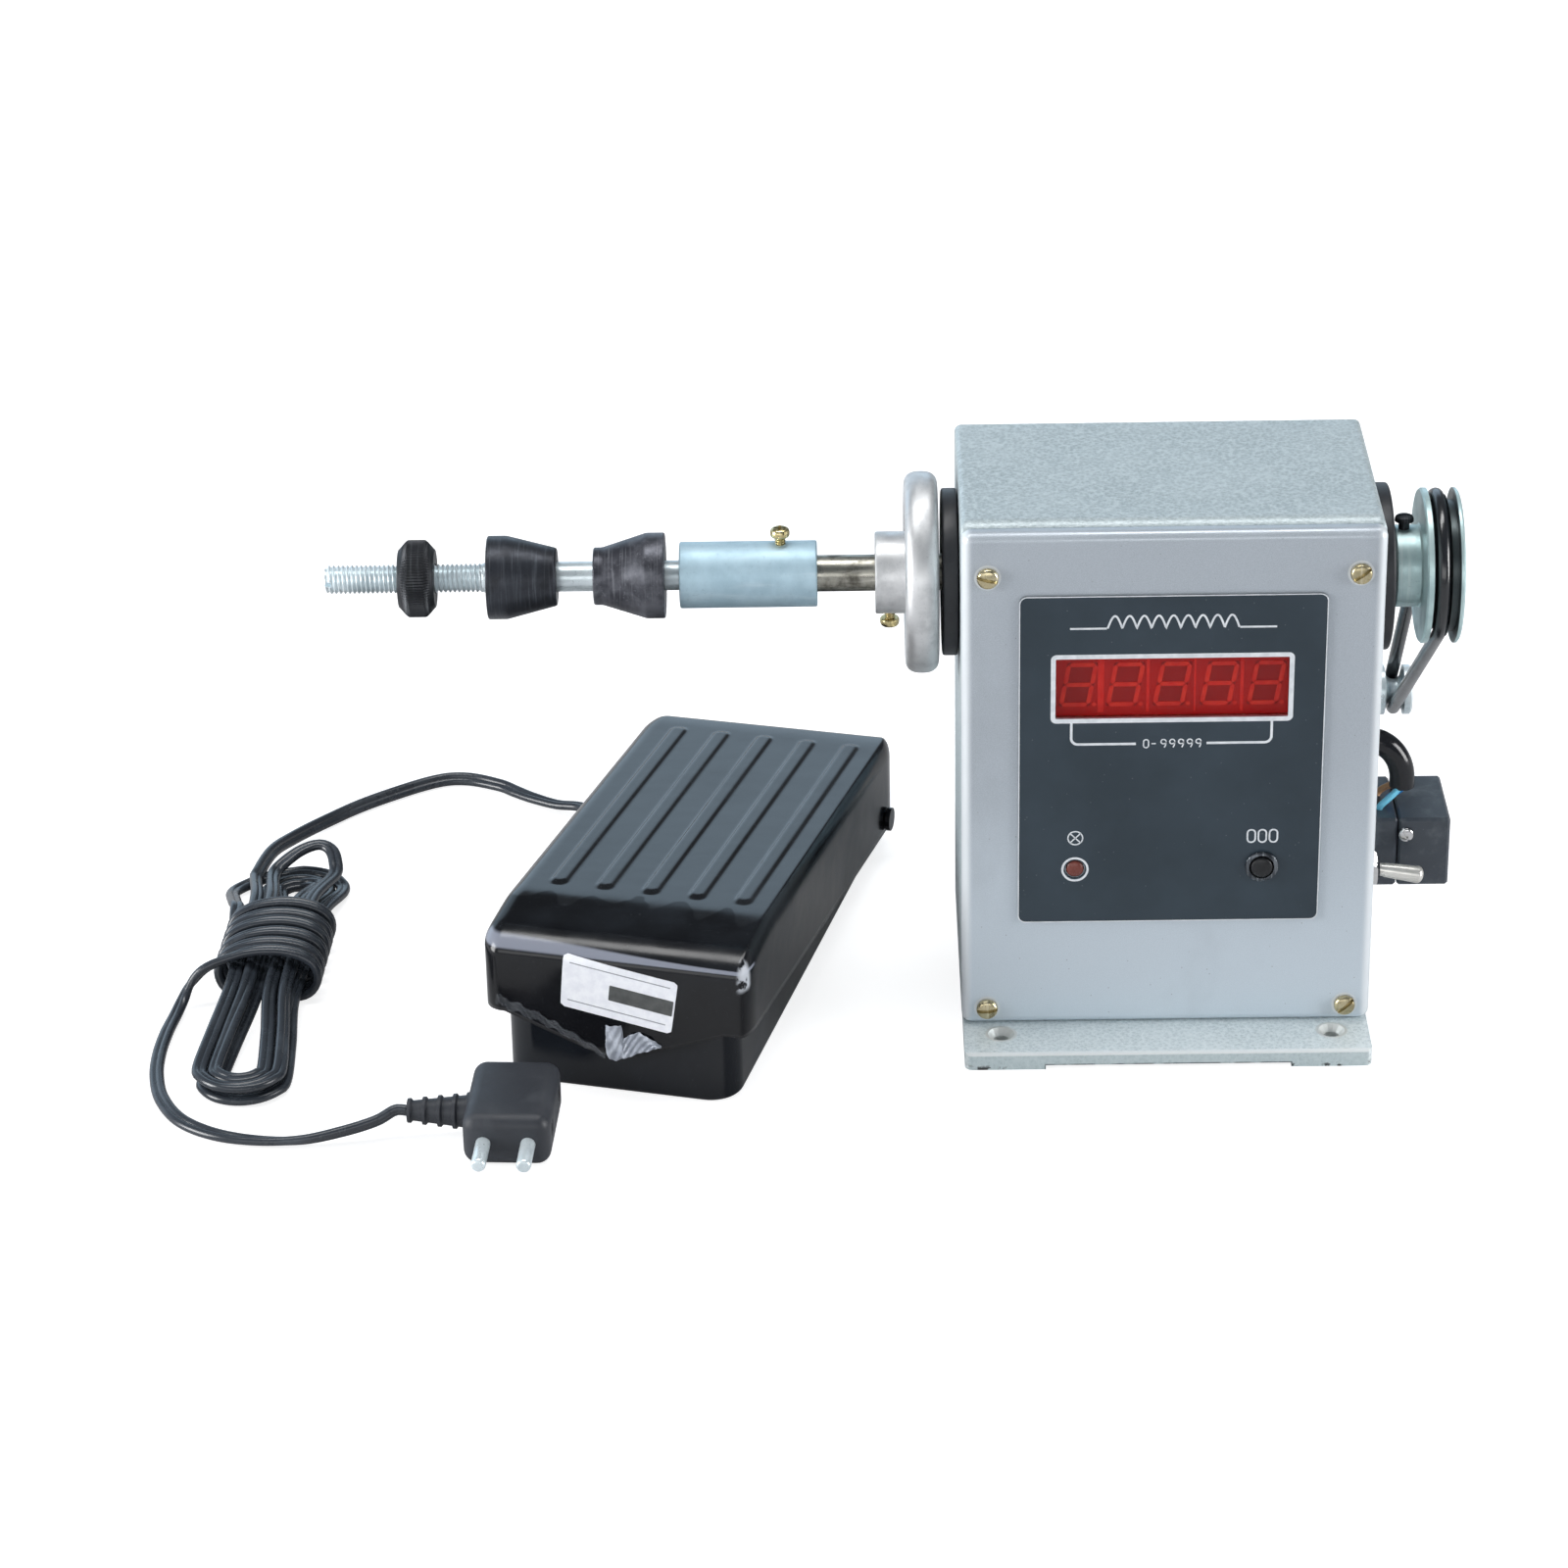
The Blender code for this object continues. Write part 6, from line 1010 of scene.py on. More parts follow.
class Look(Enum):
    """Finishes of the machine, each with the class and colours that make it."""

    CASE_HAMMER = HammerPaint(tone(174, 186, 190), tone(202, 213, 216), tone(144, 157, 160))
    BASE_HAMMER = HammerPaintWithWearAndPaintedLight(tone(220, 230, 232), tone(244, 251, 252), tone(188, 200, 202))
    COVER_SILVER = SilverPaint(tone(170, 178, 186), tone(190, 198, 206), tone(222, 236, 246))
    SCREW_BRASS = TurnedMetal(tone(204, 192, 156), tone(110, 98, 66), tone(238, 232, 208), (0.2, 0.42))
    CLAMP_BRASS = TurnedMetal(tone(214, 200, 150), tone(140, 118, 66), tone(250, 244, 216), (0.16, 0.36))
    PANEL = CloudySheet(tone(46, 60, 71), tone(36, 50, 60), (0.32, 0.46), 38.0, (0.35, 0.7), (0.35, 0.7),
                        (3000.0, 1.0, 0.000012), tone(120, 124, 126), 1.0, 0.55, 0.5)
    PRINT = CloudySheet(tone(232, 236, 240), tone(214, 219, 224), (0.36, 0.54))
    WINDOW = clear_plastic(tone(205, 22, 18), 0.14)
    DISPLAY_BODY = Moulded(tone(168, 20, 18), 0.5, tone(190, 30, 26), 0.3)
    DISPLAY_WELL = Moulded(tone(118, 10, 12), 0.5, tone(140, 16, 16), 0.3)
    DISPLAY_BAR = CloudySheet(tone(222, 62, 46), tone(204, 44, 36))
    DISPLAY_GAP = CloudySheet(tone(226, 54, 44), tone(208, 40, 34))
    BOARD = CircuitLacquer(tone(20, 86, 48), tone(60, 130, 78))
    LAMP = Moulded(tone(112, 58, 50), 0.28, tone(150, 92, 80), 0.4)
    BUTTON = Moulded(tone(20, 21, 24), 0.3, tone(52, 56, 60), 0.3)
    BUSH = TurnedMetal(tone(80, 85, 92), tone(40, 42, 47), tone(176, 182, 188), (0.14, 0.28), 0.8)
    ZINC = TurnedMetal(tone(186, 213, 226), tone(150, 180, 195), tone(214, 230, 238), (0.46, 0.6), 0.45,
                       (40.0, 260.0, 260.0), 0.000004)
    # The pulley's belt groove carries painted shade.
    PULLEY_ZINC = TurnedMetal(tone(200, 224, 224), tone(150, 178, 182), tone(228, 242, 241), (0.3, 0.46), 0.55,
                              (700.0, 30.0, 30.0), 0.000006, groove_shade=(0.0715, 0.0787))
    THREAD_ZINC = TurnedMetal(tone(232, 243, 247), tone(158, 174, 180), tone(250, 253, 254), (0.26, 0.4), 0.5,
                              (160.0, 40.0, 40.0), 0.000003)
    GROUND_STEEL = TurnedMetal(tone(172, 170, 160), tone(70, 66, 58), tone(236, 234, 224), (0.24, 0.46), 1.0,
                               (45.0, 900.0, 900.0), 0.00002, 160.0, 0.85)
    BEARING_STEEL = TurnedMetal(tone(190, 190, 190), tone(150, 150, 150), tone(225, 225, 225), (0.12, 0.22))
    CAST_ALUMINIUM = TurnedMetal(tone(220, 221, 222), tone(176, 178, 180), tone(242, 243, 243), (0.36, 0.56),
                                 0.8, (260.0, 60.0, 60.0), 0.00002, 120.0, 0.55)
    BLACK_OXIDE = TurnedMetal(tone(56, 59, 66), tone(30, 31, 35), tone(118, 124, 132), (0.3, 0.5), 0.6,
                              (1700.0, 50.0, 50.0), 0.00003, 110.0, 0.7)
    WORN_OXIDE = TurnedMetal(tone(60, 61, 68), tone(128, 130, 138), tone(136, 138, 144), (0.32, 0.5), 0.6,
                             (1700.0, 50.0, 50.0), 0.00003, 75.0, 0.75)
    KNURL_OXIDE = TurnedMetal(tone(48, 50, 54), tone(24, 24, 27), tone(120, 124, 128), (0.36, 0.56), 0.6)
    FLANGE_BLACK = Moulded(tone(40, 41, 45), 0.42, tone(66, 68, 72), 0.3, 900.0, 0.00003)
    CHROME = TurnedMetal(tone(214, 214, 214), tone(176, 176, 178), tone(240, 240, 240), (0.08, 0.18), 1.0,
                         (60.0, 600.0, 600.0), 0.000006)
    NICKEL = TurnedMetal(tone(238, 236, 230), tone(206, 204, 198), tone(252, 252, 248), (0.24, 0.36), 0.65,
                         (40.0, 500.0, 500.0), 0.000004)
    BELT = Moulded(tone(26, 28, 32), 0.2, tone(64, 68, 74), 0.25, 2400.0, 0.00002, 0.8)
    MOTOR_IRON = TurnedMetal(tone(84, 88, 92), tone(48, 50, 54), tone(130, 134, 138), (0.4, 0.62), 0.7,
                             (2200.0, 30.0, 30.0), 0.00006)
    ENAMEL = GlossEnamel(tone(15, 16, 19), tone(30, 33, 38), 0.0350)
    TRAY_ENAMEL = GlossEnamel(tone(20, 23, 28), tone(34, 39, 46), 0.0285)
    BLACK_PLASTIC = Moulded(tone(46, 49, 55), 0.5, tone(80, 84, 90), 0.3)
    SOCKET_SLATE = Moulded(tone(64, 70, 78), 0.34, tone(128, 136, 142), 0.5, 2200.0, 0.00004)
    SLEEVE_BLACK = Moulded(tone(24, 25, 29), 0.14, tone(48, 50, 56), 0.2)
    RUBBER = Moulded(tone(30, 31, 33), 0.6, tone(60, 62, 64), 0.3)
    CORD = Moulded(tone(48, 53, 60), 0.26, tone(84, 92, 101), 0.35, 2600.0, 0.00001, 0.6)
    WIRE_PALE_BLUE = Moulded(tone(122, 206, 236), 0.3, tone(84, 170, 220), 0.4)
    WIRE_BLUE = Moulded(tone(40, 132, 206), 0.3, tone(24, 92, 164), 0.4)
    WIRE_TAN = Moulded(tone(196, 150, 112), 0.35, tone(160, 110, 80), 0.5)
    LABEL = CloudySheet(tone(240, 242, 247), tone(230, 232, 239), (0.28, 0.42))
    LABEL_BLOCK = CloudySheet(tone(86, 88, 88), tone(74, 76, 76), (0.32, 0.48))
    LABEL_RULE = CloudySheet(tone(150, 152, 160), tone(136, 138, 146), (0.32, 0.48))
    FILM = CloudySheet(tone(178, 184, 194), tone(150, 156, 168), (0.2, 0.3), 220.0)
    CLEAR_FILM = clear_plastic(tone(170, 176, 184), 0.1)
    # Painted shade for the plug's grip slots.
    SLOT_DARK = Moulded(tone(12, 12, 14), 0.7, tone(20, 20, 22), 0.2)


class Wardrobe:
    """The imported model's objects by name, and the materials made so far, one for each look."""

    def __init__(self) -> None:
        """Start with no objects and no materials."""
        self.nodes: dict[str, bpy.types.Object] = {}
        self._made: dict[Look, bpy.types.Material] = {}

    def material(self, look: Look) -> bpy.types.Material:
        """The material of a look, made the first time it is wanted."""
        if look not in self._made:
            self._made[look] = look.value.material(look.name.lower())
        return self._made[look]

    def dress(self, **looks: Look) -> None:
        """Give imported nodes, named as keywords, their finishes."""
        for name, look in looks.items():
            slots = self.nodes[name].data.materials
            slots.clear()
            slots.append(self.material(look))
            LOG.info("dressed %s in %s", name, look.name)


WARDROBE = Wardrobe()


def shaded_mesh(name: str, surface: Surface, crease: float, facing: Point | None) -> bpy.types.Mesh:
    """Mesh of a surface: doubled points merged, normals out, smooth between creases.

    Args:
        name: Mesh name.
        surface: Its points and faces.
        crease: Angle in degrees above which an edge is sharp.
        facing: For an open sheet, the way that most of its faces have to look.

    Returns:
        The new mesh.
    """
    mesh = bpy.data.meshes.new(name)
    mesh.from_pydata(surface.points.tolist(), [], surface.quads.tolist() + surface.fans.tolist())
    work = bmesh.new()
    work.from_mesh(mesh)
    bmesh.ops.remove_doubles(work, verts=work.verts, dist=MERGE_DISTANCE)
    bmesh.ops.dissolve_degenerate(work, edges=work.edges, dist=MERGE_DISTANCE / 4.0)
    bmesh.ops.recalc_face_normals(work, faces=work.faces)
    if facing is not None:
        looks_out = sum(face.normal.dot(Vector(facing)) * face.calc_area() for face in work.faces)
        if looks_out < 0.0:
            bmesh.ops.reverse_faces(work, faces=work.faces)
    work.to_mesh(mesh)
    work.free()
    mesh.shade_smooth()
    mesh.set_sharp_from_angle(angle=math.radians(crease))
    return mesh


def make_piece(name: str, surface: Surface, look: Look, *replaces: str, slot: str | None = None,
               body: str = "machine", crease: float = 32.0, facing: Point | None = None,
               wall: float = 0.0) -> bpy.types.Object:
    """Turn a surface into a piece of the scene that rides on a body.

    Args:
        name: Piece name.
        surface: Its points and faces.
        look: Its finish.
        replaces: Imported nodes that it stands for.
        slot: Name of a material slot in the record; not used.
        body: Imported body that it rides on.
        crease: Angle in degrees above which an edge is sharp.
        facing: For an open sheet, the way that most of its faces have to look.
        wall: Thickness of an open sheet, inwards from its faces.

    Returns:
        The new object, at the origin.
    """
    mesh = shaded_mesh(name, surface, crease, facing)
    mesh.materials.append(WARDROBE.material(look))
    piece = bpy.data.objects.new(name, mesh)
    bpy.context.scene.collection.objects.link(piece)
    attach(piece, body)
    if replaces:
        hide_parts(*replaces)
    if wall > 0.0:
        sheet = piece.modifiers.new("sheet", "SOLIDIFY")
        sheet.thickness, sheet.offset, sheet.use_even_offset = wall, -1.0, True
    LOG.info("made %s: %d points on body %s", name, len(mesh.vertices), body)
    return piece


def packed_box(name: str) -> tuple[Vector, Vector, Vector]:
    """Lowest corner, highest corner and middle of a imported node's box."""
    low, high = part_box(name)
    return low, high, (low + high) / 2.0


# Case


@dataclass
class Case:
    """Housing box, pressed front cover, base plate and the four cover screws."""

    width: float = 0.11265
    front_y: float = -0.0708
    back_y: float = 0.0072
    low_z: float = 0.0053
    top_z: float = 0.1533
    sheet: float = 0.0012
    cover_depth: float = 0.0045
    cover_bend: float = 0.0026
    housing_bend: float = 0.0018
    gap: float = 0.0003
    slack: float = 1e-6
    window_half_width: float = 0.0313
    window_low_z: float = 0.0992
    window_high_z: float = 0.1176
    screw_x: float = 0.0494
    screw_top_z: float = 0.1411
    screw_low_z: float = 0.0104
    screw_head_r: float = 0.0029
    screw_head_height: float = 0.0019
    screw_slot: tuple[float, float] = (0.0009, 0.0013)
    screw_slot_angles: tuple[float, ...] = (-86.0, -48.0, -104.0, -54.0)

    def cover_surface(self) -> Surface:
        """Shallow pan, open at the back, with a rectangular opening for the window.

        Returns:
            The pan's outer sheet: a rounded box's front and four sides.
        """
        half, bend, back = self.width / 2.0, self.cover_bend, self.front_y + self.cover_depth
        window_x = np.array([-self.window_half_width, self.window_half_width])
        window_z = np.array([self.window_low_z, self.window_high_z])
        deep = edge_lines(self.front_y, back + bend, bend, 3, 8)
        box = block_faces((edge_lines(-half, half, bend, 25, 8, window_x), deep[deep <= back + self.slack],
                           edge_lines(self.low_z, self.top_z, bend, 33, 8, window_z)), skip=("+y",))
        x, y, z = box.points[box.quads].mean(axis=1).T
        hole = (np.abs(x) < self.window_half_width) & (y < self.front_y + self.slack) \
            & (z > self.window_low_z) & (z < self.window_high_z)
        points = rounded(box.points, (-half, self.front_y, self.low_z), (half, np.inf, self.top_z), bend)
        return Surface(points, box.quads[~hole], box.fans)

    def housing_surface(self) -> Surface:
        """Folded box, open at the front: a rounded box's back and four sides.

        Returns:
            The outer sheet.
        """
        half, bend, rim_y = self.width / 2.0, self.housing_bend, self.front_y + self.cover_depth + self.gap
        deep = edge_lines(rim_y - bend, self.back_y, bend, 12, 6)
        box = block_faces((edge_lines(-half, half, bend, 12, 6),
                           np.concatenate([[rim_y], deep[deep > rim_y + self.slack]]),
                           edge_lines(self.low_z, self.top_z, bend, 14, 6)), skip=("-y",))
        points = rounded(box.points, (-half, -np.inf, self.low_z), (half, self.back_y, self.top_z), bend)
        return Surface(points, box.quads, box.fans)

    def screw_surface(self, x: float, z: float) -> Surface:
        """Cover screw with its slot at the angle of the corner nearest to it.

        Args:
            x, z: Its place on the cover.

        Returns:
            The head and its shank.
        """
        corners = [(side * self.screw_x, level) for level in (self.screw_low_z, self.screw_top_z)
                   for side in (-1.0, 1.0)]
        nearest = min(range(4), key=lambda k: abs(corners[k][0] - x) + abs(corners[k][1] - z))
        head = slotted_head(self.screw_head_r, self.screw_head_height, *self.screw_slot, 1)
        screw = head.turned(self.screw_slot_angles[nearest], "X").plus(
            revolved(np.array([[-0.006, 0.0012], [0.0004, 0.0015]]), 24))
        return screw.aimed((x, self.front_y - self.gap, z), TO_FRONT)

    def build(self) -> None:
        """Make the case."""
        WARDROBE.dress(base_plate=Look.BASE_HAMMER)
        make_piece("housing_box", self.housing_surface(), Look.CASE_HAMMER, "housing", slot="hammer_paint",
                   facing=AXIS_Y, wall=self.sheet)
        make_piece("cover_pan", self.cover_surface(), Look.COVER_SILVER, "front_cover", slot="silver_paint",
                   facing=TO_FRONT, wall=self.sheet)
        for number in range(1, 5):
            middle = packed_box(f"front_screw_{number}")[2]
            make_piece(f"cover_screw_{number}", self.screw_surface(middle.x, middle.z), Look.SCREW_BRASS,
                       f"front_screw_{number}", slot="brass")


# Counter panel


@dataclass
class CounterPanel:
    """Print on the dark film, display digits, lamp and reset button."""

    film_front_y: float = -0.0715
    print_depth: float = 0.00006
    window_centre_z: float = 0.1084
    frame_width: float = 0.065
    frame_height: float = 0.0203
    frame_line: float = 0.0013
    bracket_half: float = 0.0269
    bracket_low_z: float = 0.0919
    bracket_gap_half: float = 0.0095
    thin_line: float = 0.0007
    digit_pitch: float = 0.0126
    digit_height: float = 0.0118
    digit_width: float = 0.0072
    digit_shift: float = 0.0003
    bar_width: float = 0.0012
    slant: float = math.radians(10.0)
    display_face_y: float = -0.068
    lamp_x: float = -0.0255
    lamp_z: float = 0.0539
    lamp_r: float = 0.0025
    button_x: float = 0.0253
    button_z: float = 0.0543
    button_r: float = 0.003
    front_y: float = -0.0708
    bracket_bend: float = 0.0018
    border_line: float = 0.00028
    border_corner: float = 0.002
    ring_r: float = 0.00342
    ring_line: float = 0.0006
    numeral_pitch: float = 0.00235
    numeral_height: float = 0.0024
    numeral_line: float = 0.00034
    coil_z: float = 0.1262
    coil_half: float = 0.0175
    coil_height: float = 0.0036
    coil_lead: Band = (0.0177, 0.0275)
    coil_line: float = 0.00055
    sign_z: float = 0.0635
    lamp_sign_r: float = 0.002
    lamp_sign_cross: float = 0.0014
    lamp_sign_line: float = 0.00035
    zero_pitch: float = 0.003
    zero_height: float = 0.0038
    zero_line: float = 0.00045
    bar_gap: float = 0.00014
    bar_depth: float = 0.0002
    digit_drop: float = 0.0003
    dot_r: float = 0.00062
    dot_x: float = 0.0042
    well_margin: float = 0.0012
    gap_height: float = 0.0172
    gap_widths: tuple[float, ...] = (0.0017, 0.0008, 0.0005, 0.0009)

    def numeral(self, digit: str, x: float, z: float, height: float, line: float) -> Surface:
        """A small printed numeral, drawn as one line.

        Args:
            digit: "0", "9" or "-".
            x, z: Its middle.
            height: Its height.
            line: Line width.

        Returns:
            The printed shape.
        """
        round_nine = rounded_rectangle(0.56, 0.54, 0.26, 6)[::-1] + np.array([0.0, 0.23])
        shapes = {"0": (rounded_rectangle(0.56, 1.0, 0.27, 6), True),
                  "9": (np.vstack([round_nine, [[0.28, 0.1], [0.24, -0.2], [0.1, -0.5]]]), False),
                  "-": (np.array([[-0.25, 0.0], [0.25, 0.0]]), False)}
        points, closed = shapes[digit]
        return flat_stroke(points * height + np.array([x, z]), line, self.print_depth, closed)

    def closed_line(self, outline: Array, x: float, z: float, line: float) -> Surface:
        """A closed printed line about a middle point."""
        return flat_stroke(outline + np.array([x, z]), line, self.print_depth, True)

    def print_surface(self) -> Surface:
        """All white print: window frame, border, bracket, numerals, lamp ring and signs.

        Returns:
            The joined printed shapes.
        """
        line = self.frame_line
        frame = rounded_rectangle(self.frame_width - line, self.frame_height - line, 0.0009, 6)
        low, high, middle = packed_box("panel_overlay")
        border = rounded_rectangle(high.x - low.x - 0.0002, high.z - low.z - 0.0002, self.border_corner, 6)
        shapes = [self.closed_line(frame, 0.0, self.window_centre_z, line),
                  self.closed_line(border, middle.x, middle.z, self.border_line)]
        top = self.window_centre_z - self.frame_height / 2.0
        corner = circle(self.bracket_bend, 24)[12:19] \
            + np.array([self.bracket_bend - self.bracket_half, self.bracket_low_z + self.bracket_bend])
        line = np.vstack([[[-self.bracket_half, top]], corner, [[-self.bracket_gap_half, self.bracket_low_z]]])
        for side in (1.0, -1.0):
            shapes.append(flat_stroke(line * np.array([side, 1.0]), self.thin_line, self.print_depth))
        for index, digit in enumerate("0-99999"):
            x = (index - 3.0) * self.numeral_pitch + (0.0003 if digit != "-" else 0.0)
            shapes.append(self.numeral(digit, x, self.bracket_low_z, self.numeral_height, self.numeral_line))
        shapes.append(self.closed_line(circle(self.ring_r, 48), self.lamp_x, self.lamp_z, self.ring_line))
        return joined(shapes + self.symbols()).moved((0.0, self.film_front_y - 0.00001, 0.0))

    def symbols(self) -> list[Surface]:
        """Coil sign over the display, crossed circle over the lamp and three zeros over the button.

        The coil is a row of nine arches: height * |sin(9 pi t)| for t from 0 to 1.

        Returns:
            The printed shapes.
        """
        turns = np.linspace(0.0, 1.0, 221)
        coil = np.stack([self.coil_half * (2.0 * turns - 1.0),
                         self.coil_z + self.coil_height * np.abs(np.sin(np.pi * 9.0 * turns))], axis=1)
        lead = np.stack([np.array(self.coil_lead), np.full(2, self.coil_z)], axis=1)
        made = [flat_stroke(line, self.coil_line, self.print_depth)
                for line in (lead[::-1] * np.array([-1.0, 1.0]), coil, lead)]
        line = self.lamp_sign_line
        made.append(self.closed_line(circle(self.lamp_sign_r, 32), self.lamp_x, self.sign_z, line))
        for sign in (-1.0, 1.0):
            cross = self.lamp_sign_cross * np.array([[-1.0, -sign], [1.0, sign]])
            made.append(flat_stroke(cross + np.array([self.lamp_x, self.sign_z]), line, self.print_depth))
        return made + [self.numeral("0", self.button_x + self.zero_pitch * place, self.sign_z,
                                    self.zero_height, self.zero_line) for place in (-1.0, 0.0, 1.0)]

    def digits_surface(self) -> Surface:
        """Seven bars and a dot for each of the five digits, leaning as the real ones do.

        Returns:
            The joined bars.
        """
        half_w, half_h, bar = self.digit_width / 2.0, self.digit_height / 2.0, self.bar_width / 2.0
        ends = [((-half_w, level), (half_w, level)) for level in (0.0, half_h, -half_h)]
        ends += [((x, low), (x, low + half_h)) for low in (0.0, -half_h) for x in (-half_w, half_w)]
        shapes, dot = [], circle(self.dot_r, 20) + np.array([self.dot_x, -half_h])
        for x, z in self.digit_middles():
            for start, end in np.array(ends):
                along = (end - start) / np.linalg.norm(end - start)
                side = np.array([-along[1], along[0]])
                start, end = start + along * self.bar_gap, end - along * self.bar_gap
                outline = np.stack([start, start + bar * (along + side), end + bar * (side - along), end,
                                    end - bar * (along + side), start + bar * (along - side)])
                outline[:, 0] += np.tan(self.slant) * outline[:, 1]
                shapes.append(flat_patch(outline + np.array([x, z]), self.bar_depth))
            shapes.append(flat_patch(dot + np.array([x, z]), self.bar_depth))
        return joined(shapes).moved((0.0, self.display_face_y - 0.00005, 0.0))

    def digit_middles(self) -> list[tuple[float, float]]:
        """Middles of the five digits in X and Z."""
        return [((index - 2.0) * self.digit_pitch + self.digit_shift, self.window_centre_z - self.digit_drop)
                for index in range(5)]

    def wells_surface(self) -> Surface:
        """Dark ground of each digit: a leaning block a little larger than the digit.

        Returns:
            The joined blocks.
        """
        more = self.well_margin
        block = rounded_rectangle(self.digit_width + more, self.digit_height + more, 0.0006, 4)
        block[:, 0] += np.tan(self.slant) * block[:, 1]
        shapes = [flat_patch(block + np.array(middle), 0.00003) for middle in self.digit_middles()]
        return joined(shapes).moved((0.0, self.display_face_y - 0.00002, 0.0))

    def gaps_surface(self) -> Surface:
        """Lit gaps between the digits: four upright bars of their own widths."""
        bars = [flat_patch(rounded_rectangle(width, self.gap_height, 0.0001, 3)
                           + np.array([(index - 1.5) * self.digit_pitch, self.window_centre_z]), 0.0001)
                for index, width in enumerate(self.gap_widths)]
        return joined(bars).moved((0.0, self.display_face_y - 0.00003, 0.0))

    def lamp_surface(self) -> Surface:
        """Lamp: a flattened dome, x = -h cos a and radius r sin a, on a plain cylinder.

        Returns:
            The closed lamp.
        """
        dome = np.linspace(0.0, math.pi / 2.0, 10)[1:]
        profile = np.stack([-0.0012 * np.cos(dome), self.lamp_r * np.sin(dome)], axis=1)
        end = packed_box("indicator_led")[1].y - self.front_y
        return revolved(np.vstack([profile, [[end, self.lamp_r]]]), 48).aimed(
            (self.lamp_x, self.front_y, self.lamp_z), AXIS_Y)

    def bush_surface(self) -> Surface:
        """Reset switch: a lipped bush in front and a plain round body behind.

        Returns:
            The closed shapes.
        """
        low, high, _ = packed_box("reset_switch")
        lip, end = low.y - self.front_y, high.y - self.front_y
        bush = np.array([[0.0, 0.0039], [lip + 0.0009, 0.0039], [lip + 0.0009, 0.0045], [lip + 0.0004, 0.0045],
                         [lip, 0.0037], [lip + 0.0002, 0.0033], [0.0012, 0.0033]])
        body = revolved(np.array([[0.0015, 0.0062], [end, 0.0062]]), 32)
        whole = revolved(eased(bush, 0.00012), 48).plus(body)
        return whole.aimed((self.button_x, self.front_y, self.button_z), AXIS_Y)

    def button_surface(self) -> Surface:
        """Reset button: a cap with a slightly domed face, a round edge and a plain side.

        Returns:
            The closed button.
        """
        low, high, _ = packed_box("reset_button")
        start, end, radius = low.y - self.front_y, high.y - self.front_y, self.button_r
        share = np.linspace(0.0, 1.0, 8)
        face = np.stack([start + 0.00045 * share ** 2, radius * (0.08 + 0.78 * share)], axis=1)
        cap = np.vstack([face, [[start + 0.0007, radius * 0.96], [start + 0.0011, radius], [end, radius]]])
        return revolved(cap, 48).aimed((self.button_x, self.front_y, self.button_z), AXIS_Y)

    def build(self) -> None:
        """Make the panel."""
        WARDROBE.dress(panel_overlay=Look.PANEL, display_window=Look.WINDOW, led_display=Look.DISPLAY_BODY,
                       counter_board=Look.BOARD)
        make_piece("panel_print", self.print_surface(), Look.PRINT, slot="overlay")
        make_piece("display_bars", self.digits_surface(), Look.DISPLAY_BAR, slot="display")
        make_piece("display_wells", self.wells_surface(), Look.DISPLAY_WELL, slot="display")
        make_piece("display_gaps", self.gaps_surface(), Look.DISPLAY_GAP, slot="display")
        make_piece("lamp_dome", self.lamp_surface(), Look.LAMP, "indicator_led", slot="lamp")
        make_piece("reset_bush", self.bush_surface(), Look.BUSH, "reset_switch", slot="grey_bush")
        make_piece("reset_cap", self.button_surface(), Look.BUTTON, "reset_button", slot="gloss_black",
                   body="button")


# Spindle line


